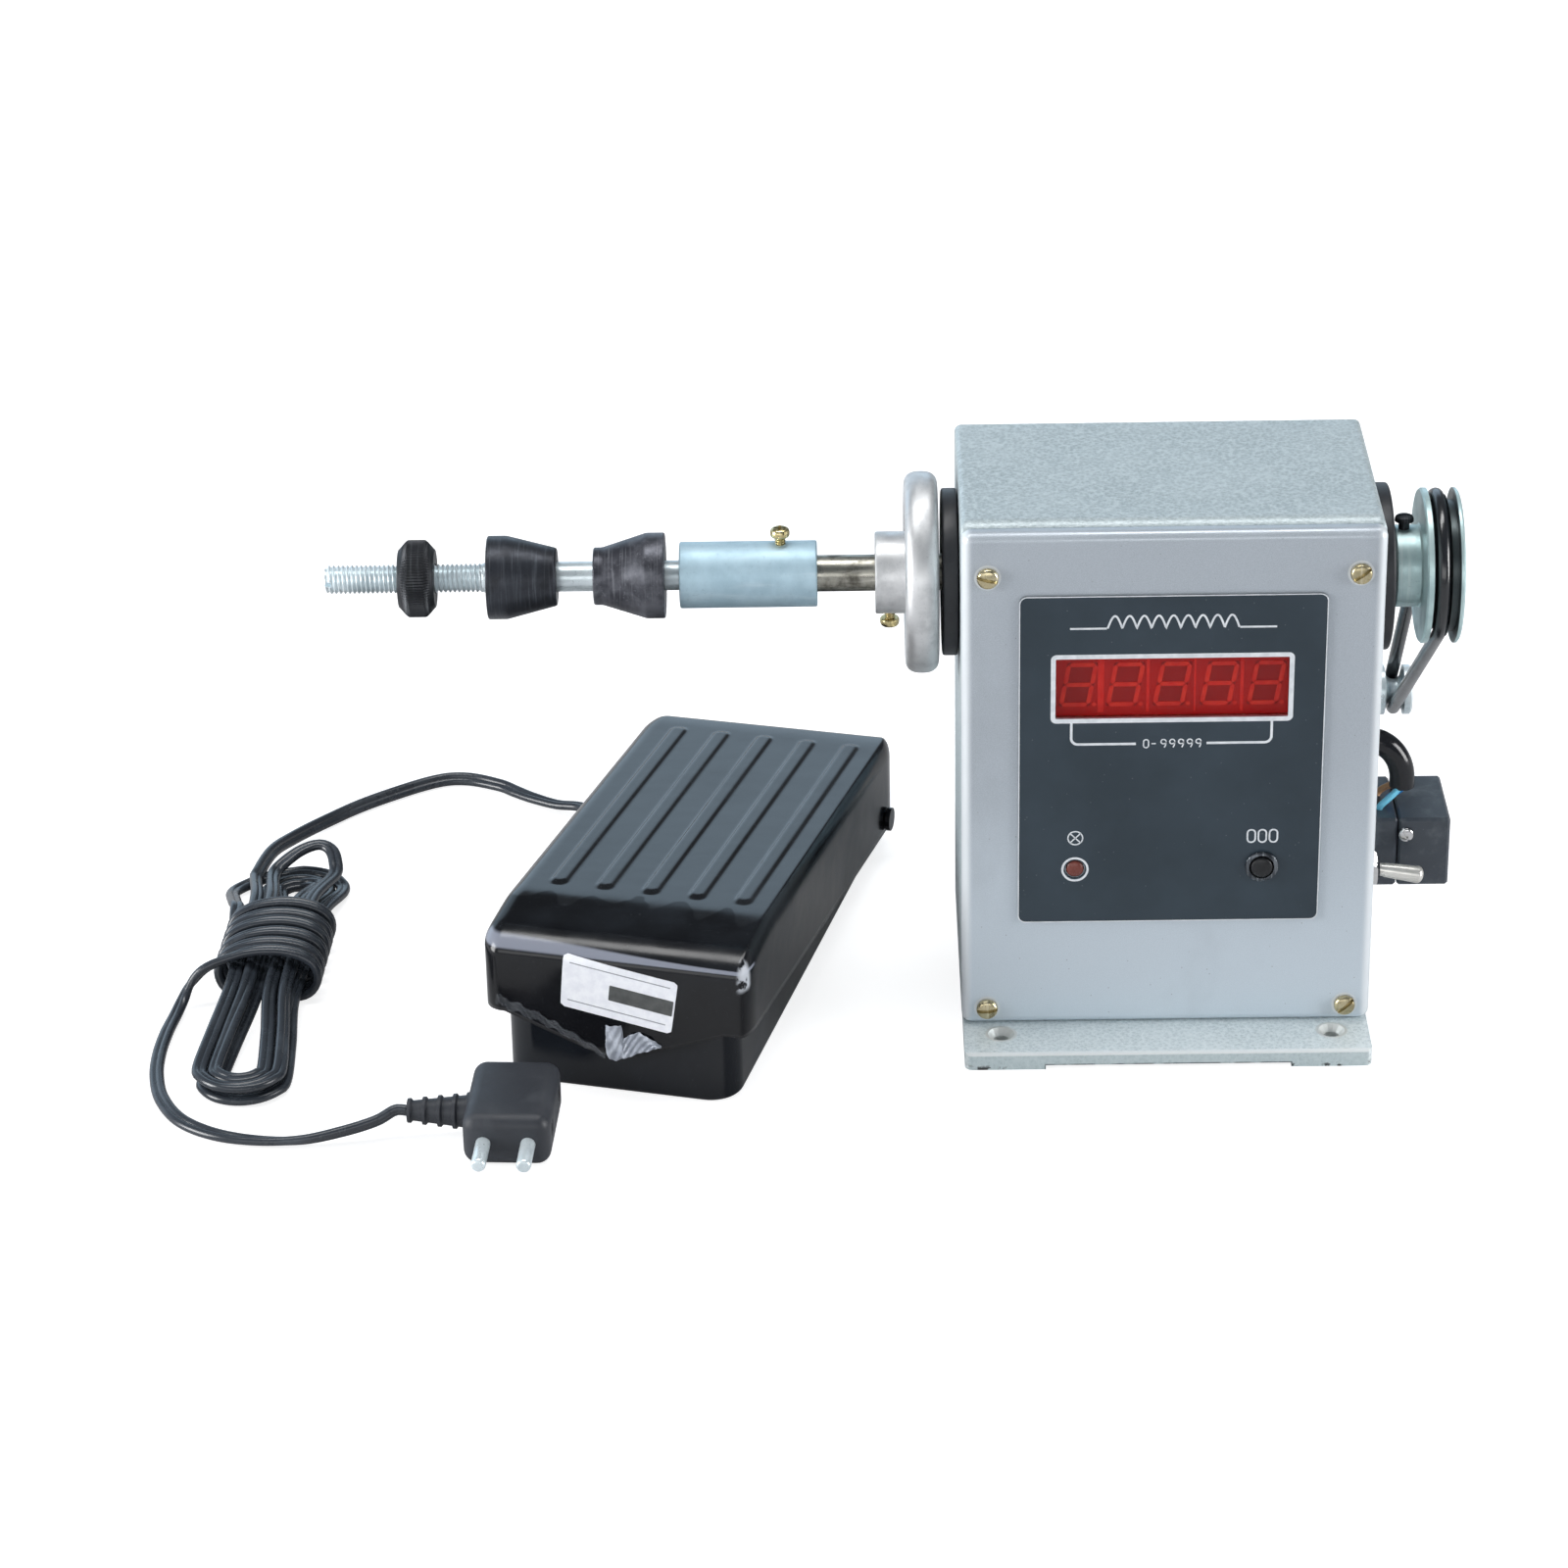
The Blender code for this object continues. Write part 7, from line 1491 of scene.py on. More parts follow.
@dataclass
class SpindleLine:
    """Everything on the winding axis: arbor, nut, cones, sleeve, wheel, flanges and pulley."""

    axis_y: float = -0.0318
    axis_z: float = 0.1255
    shaft_r: float = 0.005
    rod_r: float = 0.0041
    crest_r: float = 0.00396
    root_r: float = 0.0033
    thread_pitch: float = 0.00125
    arbor_left: float = -0.2296
    thread_end: float = -0.1862
    sleeve_left: float = -0.1324
    sleeve_right: float = -0.0948
    sleeve_r: float = 0.0091
    step_x: float = -0.1136
    wall_x: float = 0.056325
    slot_deep: float = 0.0018
    slot_half: float = 0.0006
    tip_taper: Band = (0.0009, 0.0007)
    nut_x: Band = (-0.2094, -0.1994)
    nut_knurl_r: float = 0.0106
    nut_shoulder_r: float = 0.0082
    nut_teeth: float = 84.0
    tooth_depth: float = 0.00032
    wheel_left: float = -0.071
    wheel_width: float = 0.0092
    wheel_rim_r: Band = (0.0198, 0.0276)
    wheel_web_half: float = 0.0021
    wheel_hub_r: float = 0.01125
    wheel_hub_left: float = -0.079
    pulley_belt_x: float = 0.0741
    pulley_pitch_r: float = 0.0193
    pulley_rope_r: float = 0.0023
    pulley_rim_r: float = 0.02125
    clamp_head_r: float = 0.00265
    clamp_x: float = -0.1048
    clamp_rise: float = 0.0115
    left_cone: tuple[Band, ...] = ((-0.1850, 0.0046), (-0.1850, 0.01145), (-0.1797, 0.01145), (-0.166, 0.0079),
                                   (-0.166, 0.0046))
    right_cone: tuple[Band, ...] = ((-0.156, 0.0046), (-0.156, 0.0079), (-0.1536, 0.0079), (-0.1415, 0.01175),
                                    (-0.1364, 0.01175), (-0.1364, 0.0046))
    creases: ClassVar[dict[str, float]] = {"arbor_thread": 50.0, "knurled_ring": 40.0}

    def on_axis(self, surface: Surface) -> Surface:
        """The surface with its X axis on the spindle's axis."""
        return surface.moved((0.0, self.axis_y, self.axis_z))

    def thread(self, station: Array, angle: Array, pitch: float, depth: float) -> Array:
        """Depth of a screw thread, from 0 at its crest down to -depth at its root.

        The phase is station / pitch - angle / 2 pi, and the flank is a clipped triangle wave.

        Args:
            station: Places along the axis.
            angle: Angles round it.
            pitch: Advance for each turn.
            depth: Thread depth.

        Returns:
            Heights to add to the crest's radius.
        """
        phase = station / pitch - angle / (2.0 * math.pi)
        wave = np.abs(2.0 * (phase - np.floor(phase + 0.5)))
        return -depth * np.clip(1.25 * wave - 0.125, 0.0, 1.0)

    def arbor_surface(self) -> Surface:
        """Threaded arbor: screw thread, plain rod and a slotted tip.

        Returns:
            The joined surfaces of the rod and the two lips beside the slot.
        """
        slot_end = self.arbor_left + self.slot_deep
        stations = np.arange(slot_end, self.thread_end, self.thread_pitch / 10.0)
        profile = np.stack([stations, np.full(len(stations), self.crest_r)], axis=1)
        plain = np.array([[self.thread_end, self.crest_r], [self.thread_end + 0.0004, self.rod_r],
                          [self.step_x - 0.0003, self.rod_r]])
        depth = self.crest_r - self.root_r

        def ripple(station: Array, angle: Array) -> Array:
            """Thread that runs out before the plain rod."""
            fade = np.clip((self.thread_end - station) / self.thread_pitch, 0.0, 1.0)
            return self.thread(station, angle, self.thread_pitch, depth) * fade
        rod = revolved(np.vstack([profile, plain]), 64, ripple=ripple)
        along = np.linspace(self.arbor_left, slot_end, 14)[:, None]
        length, drop = self.tip_taper
        taper = np.clip((along - self.arbor_left) / length, 0.0, 1.0) * drop - drop
        start = math.asin(self.slot_half / self.root_r)
        angle = np.linspace(start, math.pi - start, 28)[None, :]
        lips = []
        for side in (1.0, -1.0):
            radius = self.crest_r + taper + self.thread(along, side * angle, self.thread_pitch, depth)
            grid = np.stack([along + 0.0 * radius, radius * np.cos(angle), side * radius * np.sin(angle)],
                            axis=-1)
            grid[:, [0, -1], 2] = side * self.slot_half
            lips.append(grid_surface(grid, wrap_columns=True, cap_rows=True))
        return rod.plus(*lips)

    def nut_surface(self) -> Surface:
        """Knurled nut: straight knurl between tapered shoulders.

        Returns:
            The closed ring.
        """
        (left, right), knurl, shoulder = self.nut_x, self.nut_knurl_r, self.nut_shoulder_r
        start = np.array([[left, shoulder - 0.0003], [left + 0.0003, shoulder],
                          [left + 0.0018, knurl - 0.0007], [left + 0.0026, knurl]])
        end = np.array([left + right, 0.0]) + start[::-1] * np.array([-1.0, 1.0])
        outline = refined(eased(np.vstack([start, end]), 0.0003, 3), 0.0006)

        def ripple(station: Array, angle: Array) -> Array:
            """Teeth that stand on the widest part and fade on the shoulders."""
            inside = np.clip(np.minimum(station - left, right - station) / 0.0009 - 1.0, 0.0, 1.0)
            return -self.tooth_depth * inside * np.abs(np.sin(angle * self.nut_teeth / 2.0)) ** 1.5
        return revolved(outline, 504, self.crest_r + 0.0003, ripple)

    def cone_surface(self, outline: tuple[Band, ...]) -> Surface:
        """A bored cone with eased edges, from the stations and radii of its outer side."""
        profile = refined(eased(np.array(outline), 0.0006, 5), 0.0007)
        return revolved(profile, 96, self.rod_r + 0.0003)

    def wheel_surface(self) -> Surface:
        """Handwheel: hub, recessed web and a rim whose section is a squared-off circle.

        The rim's section is sign(c) |c|^0.78 across and sign(s) |s|^0.78 out, from c = cos a, s = sin a.

        Returns:
            The closed ring.
        """
        (inner, outer), left = self.wheel_rim_r, self.wheel_left
        hub_r, web = self.wheel_hub_r, self.wheel_web_half
        half_width, right = self.wheel_width / 2.0, left + self.wheel_width
        middle, bore_r = left + half_width, hub_r - 0.00085
        bulge = on_circle(np.linspace(1.13 * math.pi, -0.13 * math.pi, 40))
        bulge = np.sign(bulge) * np.abs(bulge) ** 0.78
        rim = np.array([middle, (inner + outer) / 2.0]) + bulge * np.array([half_width, (outer - inner) / 2.0])
        hub = np.array([[self.wheel_hub_left, bore_r], [self.wheel_hub_left, hub_r], [middle - web, hub_r],
                        [middle - web, inner]])
        back = np.array([[middle + web, inner], [middle + web, hub_r], [right, hub_r], [right, bore_r]])
        return revolved(np.vstack([eased(hub, 0.0008), rim, eased(back, 0.0008)]), 128, self.shaft_r + 0.0003)

    def clamp_surface(self, head_r: float, proud: float, shank: float) -> Surface:
        """Clamping screw along +X: threaded shank below zero, washer face and crossed head above.

        Args:
            head_r: Head radius.
            proud: Length of bare thread under the head.
            shank: Length of the shank inside the piece.

        Returns:
            The closed shapes.
        """
        stations = np.arange(-shank - proud, 0.0, 0.00007)
        profile = np.stack([stations, np.full(len(stations), 0.0015)], axis=1)
        thread = revolved(profile, 32, ripple=lambda s, a: self.thread(s, a, 0.0007, 0.0003))
        collar = revolved(eased(np.array([[-0.0002, 0.0016], [-0.0002, head_r * 0.9], [0.0002, head_r],
                                          [0.0006, head_r]]), 0.0001), 40)
        head = slotted_head(head_r, 0.0021, 0.0007, 0.0011, 2).moved((0.0004, 0.0, 0.0))
        return thread.plus(collar, head)

    def flange_surface(self, side: float) -> Surface:
        """Bearing flange on a wall: round plate with an eased rim and a spigot inside.

        Args:
            side: 1 for the right wall, -1 for the left.

        Returns:
            The closed ring.
        """
        face = self.wall_x + 0.0003
        outer = face + 0.0043
        profile = np.array([[face - 0.0112, 0.0162], [face, 0.0162], [face, 0.0229], [outer - 0.0003, 0.0229],
                            [outer, 0.0221], [outer, 0.0098], [outer - 0.0007, 0.0092],
                            [outer - 0.0007, 0.0066]])
        return revolved(eased(profile, 0.0007), 96, 0.0056).mirrored(side)

    def pulley_surface(self) -> Surface:
        """Drive pulley: hub, flat flanks and a round-bottomed belt groove.

        Returns:
            The closed ring.
        """
        belt_x, rope_r, rim = self.pulley_belt_x, self.pulley_rope_r, self.pulley_rim_r
        arc = np.linspace(math.pi * 0.98, math.pi * 2.02, 16)
        groove = np.array([belt_x, self.pulley_pitch_r]) + on_circle(arc, rope_r)
        outline = np.vstack([[[0.0622, 0.0106], [0.0628, 0.01125], [0.0690, 0.01125], [0.0695, 0.0117],
                              [0.0695, rim - 0.0005], [0.07, rim], [belt_x - rope_r - 0.0005, rim]], groove,
                             [[belt_x + rope_r + 0.0003, 0.0180], [0.0784, 0.0180], [0.0786, rim],
                              [0.0793, rim], [0.0798, rim - 0.0006],
                              [0.0798, 0.0155], [0.0792, 0.0149], [0.0792, 0.0088], [0.0798, 0.0082]]])
        return revolved(outline, 128, self.shaft_r + 0.0003)

    def sleeve_clamp_surface(self) -> Surface:
        """The coupling sleeve's clamping screw, head up."""
        screw = self.clamp_surface(self.clamp_head_r, 0.0024, 0.0038)
        return screw.aimed((self.clamp_x, self.axis_y, self.axis_z + self.clamp_rise), AXIS_Z)

    def wheel_clamp_surface(self) -> Surface:
        """The handwheel's clamping screw, head down in its hub."""
        low, _, middle = packed_box("handwheel_screw")
        screw = self.clamp_surface(self.clamp_head_r, 0.0012, 0.0058)
        return screw.aimed((middle.x, self.axis_y, low.z + 0.0025), (0.0, 0.0, -1.0))

    def grub_surface(self) -> Surface:
        """The pulley's slotted screw: head up, shank down to the shaft.

        Returns:
            The closed shapes.
        """
        low, high, middle = packed_box("pulley_screw")
        height = 0.0018
        shank = revolved(np.array([[low.z - high.z + height, 0.0015], [0.0001, 0.0015]]), 24)
        head = slotted_head(0.0026, height, 0.0008, 0.0008, 1)
        return head.plus(shank).aimed((middle.x, middle.y, high.z - height), AXIS_Z)

    def build(self) -> None:
        """Make the spindle line, from its left end to its right."""
        WARDROBE.dress(bearing_left=Look.BEARING_STEEL, bearing_right=Look.BEARING_STEEL,
                       counter_disc=Look.BLACK_PLASTIC, counter_sensor=Look.BOARD)
        shaft = np.array([[self.step_x + 0.0003, self.shaft_r], [0.0803, self.shaft_r], [0.0812, 0.0042]])
        sleeve = np.array([[self.sleeve_left, 0.0046], [self.sleeve_left, self.sleeve_r],
                           [self.sleeve_right, self.sleeve_r], [self.sleeve_right, 0.0055]])
        tube = revolved(refined(eased(sleeve, 0.0006, 6), 0.004), 96, 0.0053)
        on = self.on_axis
        for name, surface, look, replaces, slot, body in (
                ("arbor_thread", on(self.arbor_surface()), Look.THREAD_ZINC, "threaded_arbor", "zinc",
                 "spindle"),
                ("shaft_bar", on(revolved(refined(shaft, 0.004), 72)), Look.GROUND_STEEL, "spindle_shaft",
                 "steel", "spindle"),
                ("sleeve_tube", on(tube), Look.ZINC, "coupling_sleeve", "zinc", "spindle"),
                ("knurled_ring", on(self.nut_surface()), Look.KNURL_OXIDE, "knurled_nut", "black_oxide",
                 "nut"),
                ("left_cone_turned", on(self.cone_surface(self.left_cone)), Look.BLACK_OXIDE, "cone_left",
                 "black_oxide", "left_cone"),
                ("right_cone_turned", on(self.cone_surface(self.right_cone)), Look.WORN_OXIDE, "cone_right",
                 "black_oxide", "right_cone"),
                ("wheel_casting", on(self.wheel_surface()), Look.CAST_ALUMINIUM, "handwheel", "aluminium",
                 "spindle"),
                ("sleeve_clamp", self.sleeve_clamp_surface(), Look.CLAMP_BRASS, "coupling_screw", "brass",
                 "spindle"),
                ("wheel_clamp", self.wheel_clamp_surface(), Look.CLAMP_BRASS, "handwheel_screw", "brass",
                 "spindle"),
                ("flange_left_turned", on(self.flange_surface(-1.0)), Look.FLANGE_BLACK, "bearing_flange_left",
                 "black_oxide", "machine"),
                ("flange_right_turned", on(self.flange_surface(1.0)), Look.FLANGE_BLACK,
                 "bearing_flange_right", "black_oxide", "machine"),
                ("pulley_turned", on(self.pulley_surface()), Look.PULLEY_ZINC, "drive_pulley", "zinc",
                 "spindle"),
                ("pulley_grub", self.grub_surface(), Look.KNURL_OXIDE, "pulley_screw", "black_oxide",
                 "spindle")):
            make_piece(name, surface, look, replaces, slot=slot, body=body,
                       crease=self.creases.get(name, 32.0))


# Drive


@dataclass
class BeltDrive:
    """Round belt, motor with its caps and the motor pulley."""

    belt_x: float = 0.0741
    belt_r: float = 0.0019
    large_centre: tuple[float, float] = (-0.0318, 0.1255)
    small_centre: tuple[float, float] = (0.0492, 0.049)
    large_r: float = 0.0193
    small_r: float = 0.0054
    motor_r: float = 0.031
    motor_left: float = -0.0358
    motor_right: float = 0.0372
    bore_r: float = 0.0023
    groove_r: float = 0.0023
    pulley_half: float = 0.0052
    pulley_rim_r: float = 0.0074

    def belt_path(self) -> Array:
        """Belt line: an arc round each pulley joined by their outer tangents.

        Returns:
            Points of the closed loop.
        """
        large, small = np.array(self.large_centre), np.array(self.small_centre)
        run = small - large
        heading = math.atan2(run[1], run[0])
        spread = math.acos((self.large_r - self.small_r) / float(np.linalg.norm(run)))
        around = np.linspace(heading + spread, heading - spread + 2.0 * math.pi, 72)
        big = large + on_circle(around, self.large_r)
        little = small + on_circle(np.linspace(heading - spread, heading + spread, 28), self.small_r)
        share = np.linspace(0.0, 1.0, 42)[1:-1, None]
        loop = np.vstack([big, big[-1] + share * (little[0] - big[-1]), little,
                          little[-1] + share * (big[0] - little[-1])])
        return np.column_stack([np.full(len(loop), self.belt_x), loop])

    def motor_surface(self) -> Surface:
        """Motor body with the fine ridges of its stacked plates along its middle part.

        The radius gains height * |sin(pi x / pitch)|.

        Returns:
            The closed ring.
        """
        stations = np.linspace(self.motor_left, self.motor_right, 240)
        share = (stations - self.motor_left) / (self.motor_right - self.motor_left)
        ridge = 0.00022 * np.abs(np.sin(stations / 0.0011 * math.pi)) * ((share > 0.18) & (share < 0.82))
        profile = np.stack([stations, self.motor_r - 0.00025 + ridge], axis=1)
        profile[[0, -1], 1] -= 0.0006
        return revolved(profile, 96, self.bore_r)

    def cap_surface(self, name: str, side: float) -> Surface:
        """Motor end cap: eased dome, bearing nose and eight cooling slots pressed in.

        Args:
            name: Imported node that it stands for.
            side: 1 for the right cap, -1 for the left.

        Returns:
            The closed ring.
        """
        low, high, _ = packed_box(name)
        length = high.x - low.x
        outline = np.array([[0.0, self.motor_r], [length - 0.008, self.motor_r], [length - 0.004, 0.027],
                            [length - 0.004, 0.014], [length, 0.012], [length, 0.004]])
        profile = refined(eased(outline, 0.003, 8), 0.0008)

        def ripple(station: Array, angle: Array) -> Array:
            """Slots on the cap's cylinder, eight round it."""
            band = np.clip(1.0 - np.abs(station - (length - 0.008) / 2.0) / 0.0032, 0.0, 1.0) > 0.2
            lobe = np.clip(np.abs(np.sin(angle * 4.0)) * 6.0 - 4.2, 0.0, 1.0)
            return -0.0008 * band * lobe
        return revolved(profile, 256, self.bore_r, ripple).mirrored(side, low.x if side > 0.0 else high.x)

    def pulley_surface(self) -> Surface:
        """Motor pulley: eased rims on both sides of a round-bottomed groove.

        Returns:
            The closed ring.
        """
        left, right, rim = self.belt_x - self.pulley_half, self.belt_x + self.pulley_half, self.pulley_rim_r
        groove = np.array([self.belt_x, self.small_r]) \
            + on_circle(np.linspace(math.pi, 2.0 * math.pi, 12), self.groove_r)
        outline = np.vstack([[[left, rim - 0.0006], [left + 0.0006, rim], [self.belt_x - 0.0028, rim]], groove,
                             [[self.belt_x + 0.0028, rim], [right - 0.0006, rim], [right, rim - 0.0006]]])
        return revolved(outline, 64, self.bore_r)

    def build(self) -> None:
        """Make the drive."""
        WARDROBE.dress(motor_cradle=Look.MOTOR_IRON, motor_shaft=Look.GROUND_STEEL)
        belt = swept(self.belt_path(), circle(self.belt_r, 20), np.array(AXIS_X), closed=True)
        make_piece("belt_cord", belt, Look.BELT, "drive_belt", slot="belt_rubber")
        place = (0.0, *self.small_centre)
        make_piece("motor_stack", self.motor_surface().moved(place), Look.MOTOR_IRON, "motor_body",
                   slot="motor_iron", crease=60.0)
        for name, side in (("motor_cap_left", -1.0), ("motor_cap_right", 1.0)):
            cap = self.cap_surface(name, side).moved(place)
            make_piece(f"{name}_pressed", cap, Look.ZINC, name, slot="zinc")
        make_piece("motor_pulley_turned", self.pulley_surface().moved(place), Look.THREAD_ZINC, "motor_pulley",
                   slot="zinc", body="motor_rotor")


# Right wall


@dataclass
class SideFittings:
    """Toggle switch, socket block, and the sleeved lead with its three wires."""

    wall_x: float = 0.056325
    toggle_y: float = -0.0598
    toggle_z: float = 0.047
    pivot_x: float = 0.056925
    tilt: float = math.radians(10.0)
    grommet_y: float = -0.0408
    grommet_z: float = 0.077
    sleeve_r: float = 0.0035
    sleeve_out: float = 0.0101
    sleeve_drop: float = 0.0122
    wire_r: float = 0.00095
    socket_top_z: float = 0.0574

    def lever_surface(self) -> Surface:
        """Toggle lever: slim neck that swells to a rounded tip.

        Returns:
            The closed lever along +X.
        """
        tip, swell = 0.0143, 0.0023
        dome = np.linspace(0.0, math.pi / 2.0, 9)
        end = np.stack([tip - swell * 0.7 + swell * 0.7 * np.sin(dome), swell * np.cos(dome) + 0.0001], axis=1)
        body = np.array([[-0.001, 0.0017], [0.0, 0.0018], [0.003, 0.0018], [0.0036, 0.0020],
                         [0.006, 0.0021], [tip - 0.0035, swell]])
        return revolved(np.vstack([body, end]), 48)

    def nut_surface(self) -> Surface:
        """Hexagonal nut with its corners turned off, and the threaded bush inside it.

        Its radius is the hexagon's r / cos(a - nearest flat) held under the chamfer's cone.

        Returns:
            The closed ring.
        """
        thick, across = 0.0014, 0.0052
        stations = np.linspace(0.0, thick, 9)
        chamfer = across * (1.0 - 0.11 * np.clip(np.abs(stations / thick * 2.0 - 1.0) * 3.0 - 2.0, 0.0, 1.0))

        def ripple(station: Array, angle: Array) -> Array:
            """Difference between the flat-sided and the round outline."""
            sector = (angle + math.pi / 6.0) % (math.pi / 3.0) - math.pi / 6.0
            hexagon = across * math.cos(math.pi / 6.0) / np.cos(sector)
            ceiling = np.interp(station[:, 0], stations, chamfer)[:, None]
            return np.minimum(hexagon, ceiling) - ceiling
        return revolved(np.stack([stations, chamfer], axis=1), 144, 0.0035, ripple)

    def sleeve_path(self) -> Array:
        """Sleeve line: out of the wall, over a quarter ellipse and straight down.

        Returns:
            Points along it.
        """
        angle = np.linspace(0.0, math.pi / 2.0, 30)
        x = self.wall_x + self.sleeve_out * np.sin(angle)
        z = self.grommet_z - self.sleeve_drop * (1.0 - np.cos(angle))
        x, z = np.array([self.wall_x - 0.004, *x, x[-1]]), np.array([self.grommet_z, *z, z[-1] - 0.002])
        return np.stack([x, np.full(len(x), self.grommet_y), z], axis=1)

    def wire_path(self, index: int) -> Array:
        """Line of one wire from the sleeve's mouth to the socket block.

        It is a cubic curve with upright ends that bows out along Y.

        Args:
            index: Which wire.

        Returns:
            Points along it.
        """
        angle = 2.0 * math.pi * (index / 3.0 + 2.0 / 3.0)
        end = self.sleeve_path()[-1]
        ring, spread, bow = 0.0015, 0.0042, 0.0016
        start = end + np.array([ring * math.cos(angle), ring * math.sin(angle), 0.0012])
        landing = np.array([end[0] - 0.0056 + ring * math.cos(angle), end[1] + spread * math.sin(angle),
                            self.socket_top_z + 0.0003])
        reach = np.array([0.0, 0.0, (start[2] - landing[2]) / 3.0])
        out = np.array([0.0, bow * math.sin(angle), 0.0])
        share = np.linspace(0.0, 1.0, 30)[:, None]
        rest = 1.0 - share
        return start * rest ** 3 + (start - reach + out) * 3.0 * rest ** 2 * share \
            + (landing + reach + out) * 3.0 * rest * share ** 2 + landing * share ** 3

    def screw_surface(self) -> Surface:
        """Socket block's screw: a slotted head turned a little, and its shank.

        Returns:
            The closed shapes.
        """
        low, _, middle = packed_box("socket_screw")
        head_height = 0.0012
        head = slotted_head(0.0021, head_height, 0.0006, 0.0006, 1).turned(25.0, "X")
        shank = revolved(np.array([[-0.006, 0.0011], [0.0001, 0.0011]]), 20)
        return head.plus(shank).aimed((middle.x, low.y + head_height, middle.z), TO_FRONT)

    def build(self) -> None:
        """Make the fittings."""
        WARDROBE.dress(toggle_body=Look.BLACK_PLASTIC, lead_grommet=Look.RUBBER, socket_base=Look.SOCKET_SLATE,
                       socket_cover=Look.SOCKET_SLATE)
        pivot = (self.pivot_x, self.toggle_y, self.toggle_z)
        lever = self.lever_surface().aimed(pivot, (math.cos(self.tilt), 0.0, -math.sin(self.tilt)))
        make_piece("lever_chromed", lever, Look.NICKEL, "toggle_lever", slot="chrome", body="toggle")
        nut = self.nut_surface().moved((self.wall_x + 0.0003, self.toggle_y, self.toggle_z))
        make_piece("toggle_hexagon", nut, Look.CHROME, "toggle_nut", slot="chrome")
        make_piece("socket_fixing", self.screw_surface(), Look.CHROME, "socket_screw", slot="chrome")
        tube = swept(self.sleeve_path(), circle(self.sleeve_r, 32), np.array(AXIS_Y))
        make_piece("sleeve_bend", tube, Look.SLEEVE_BLACK, "lead_sleeve", slot="gloss_black")
        for index, look in enumerate((Look.WIRE_PALE_BLUE, Look.WIRE_BLUE, Look.WIRE_TAN)):
            name = look.name.lower()
            strand = swept(self.wire_path(index), circle(self.wire_r, 16), np.array(AXIS_X))
            make_piece(f"{name}_strand", strand, look, name, slot=name.replace("pale_", ""))


# Foot pedal


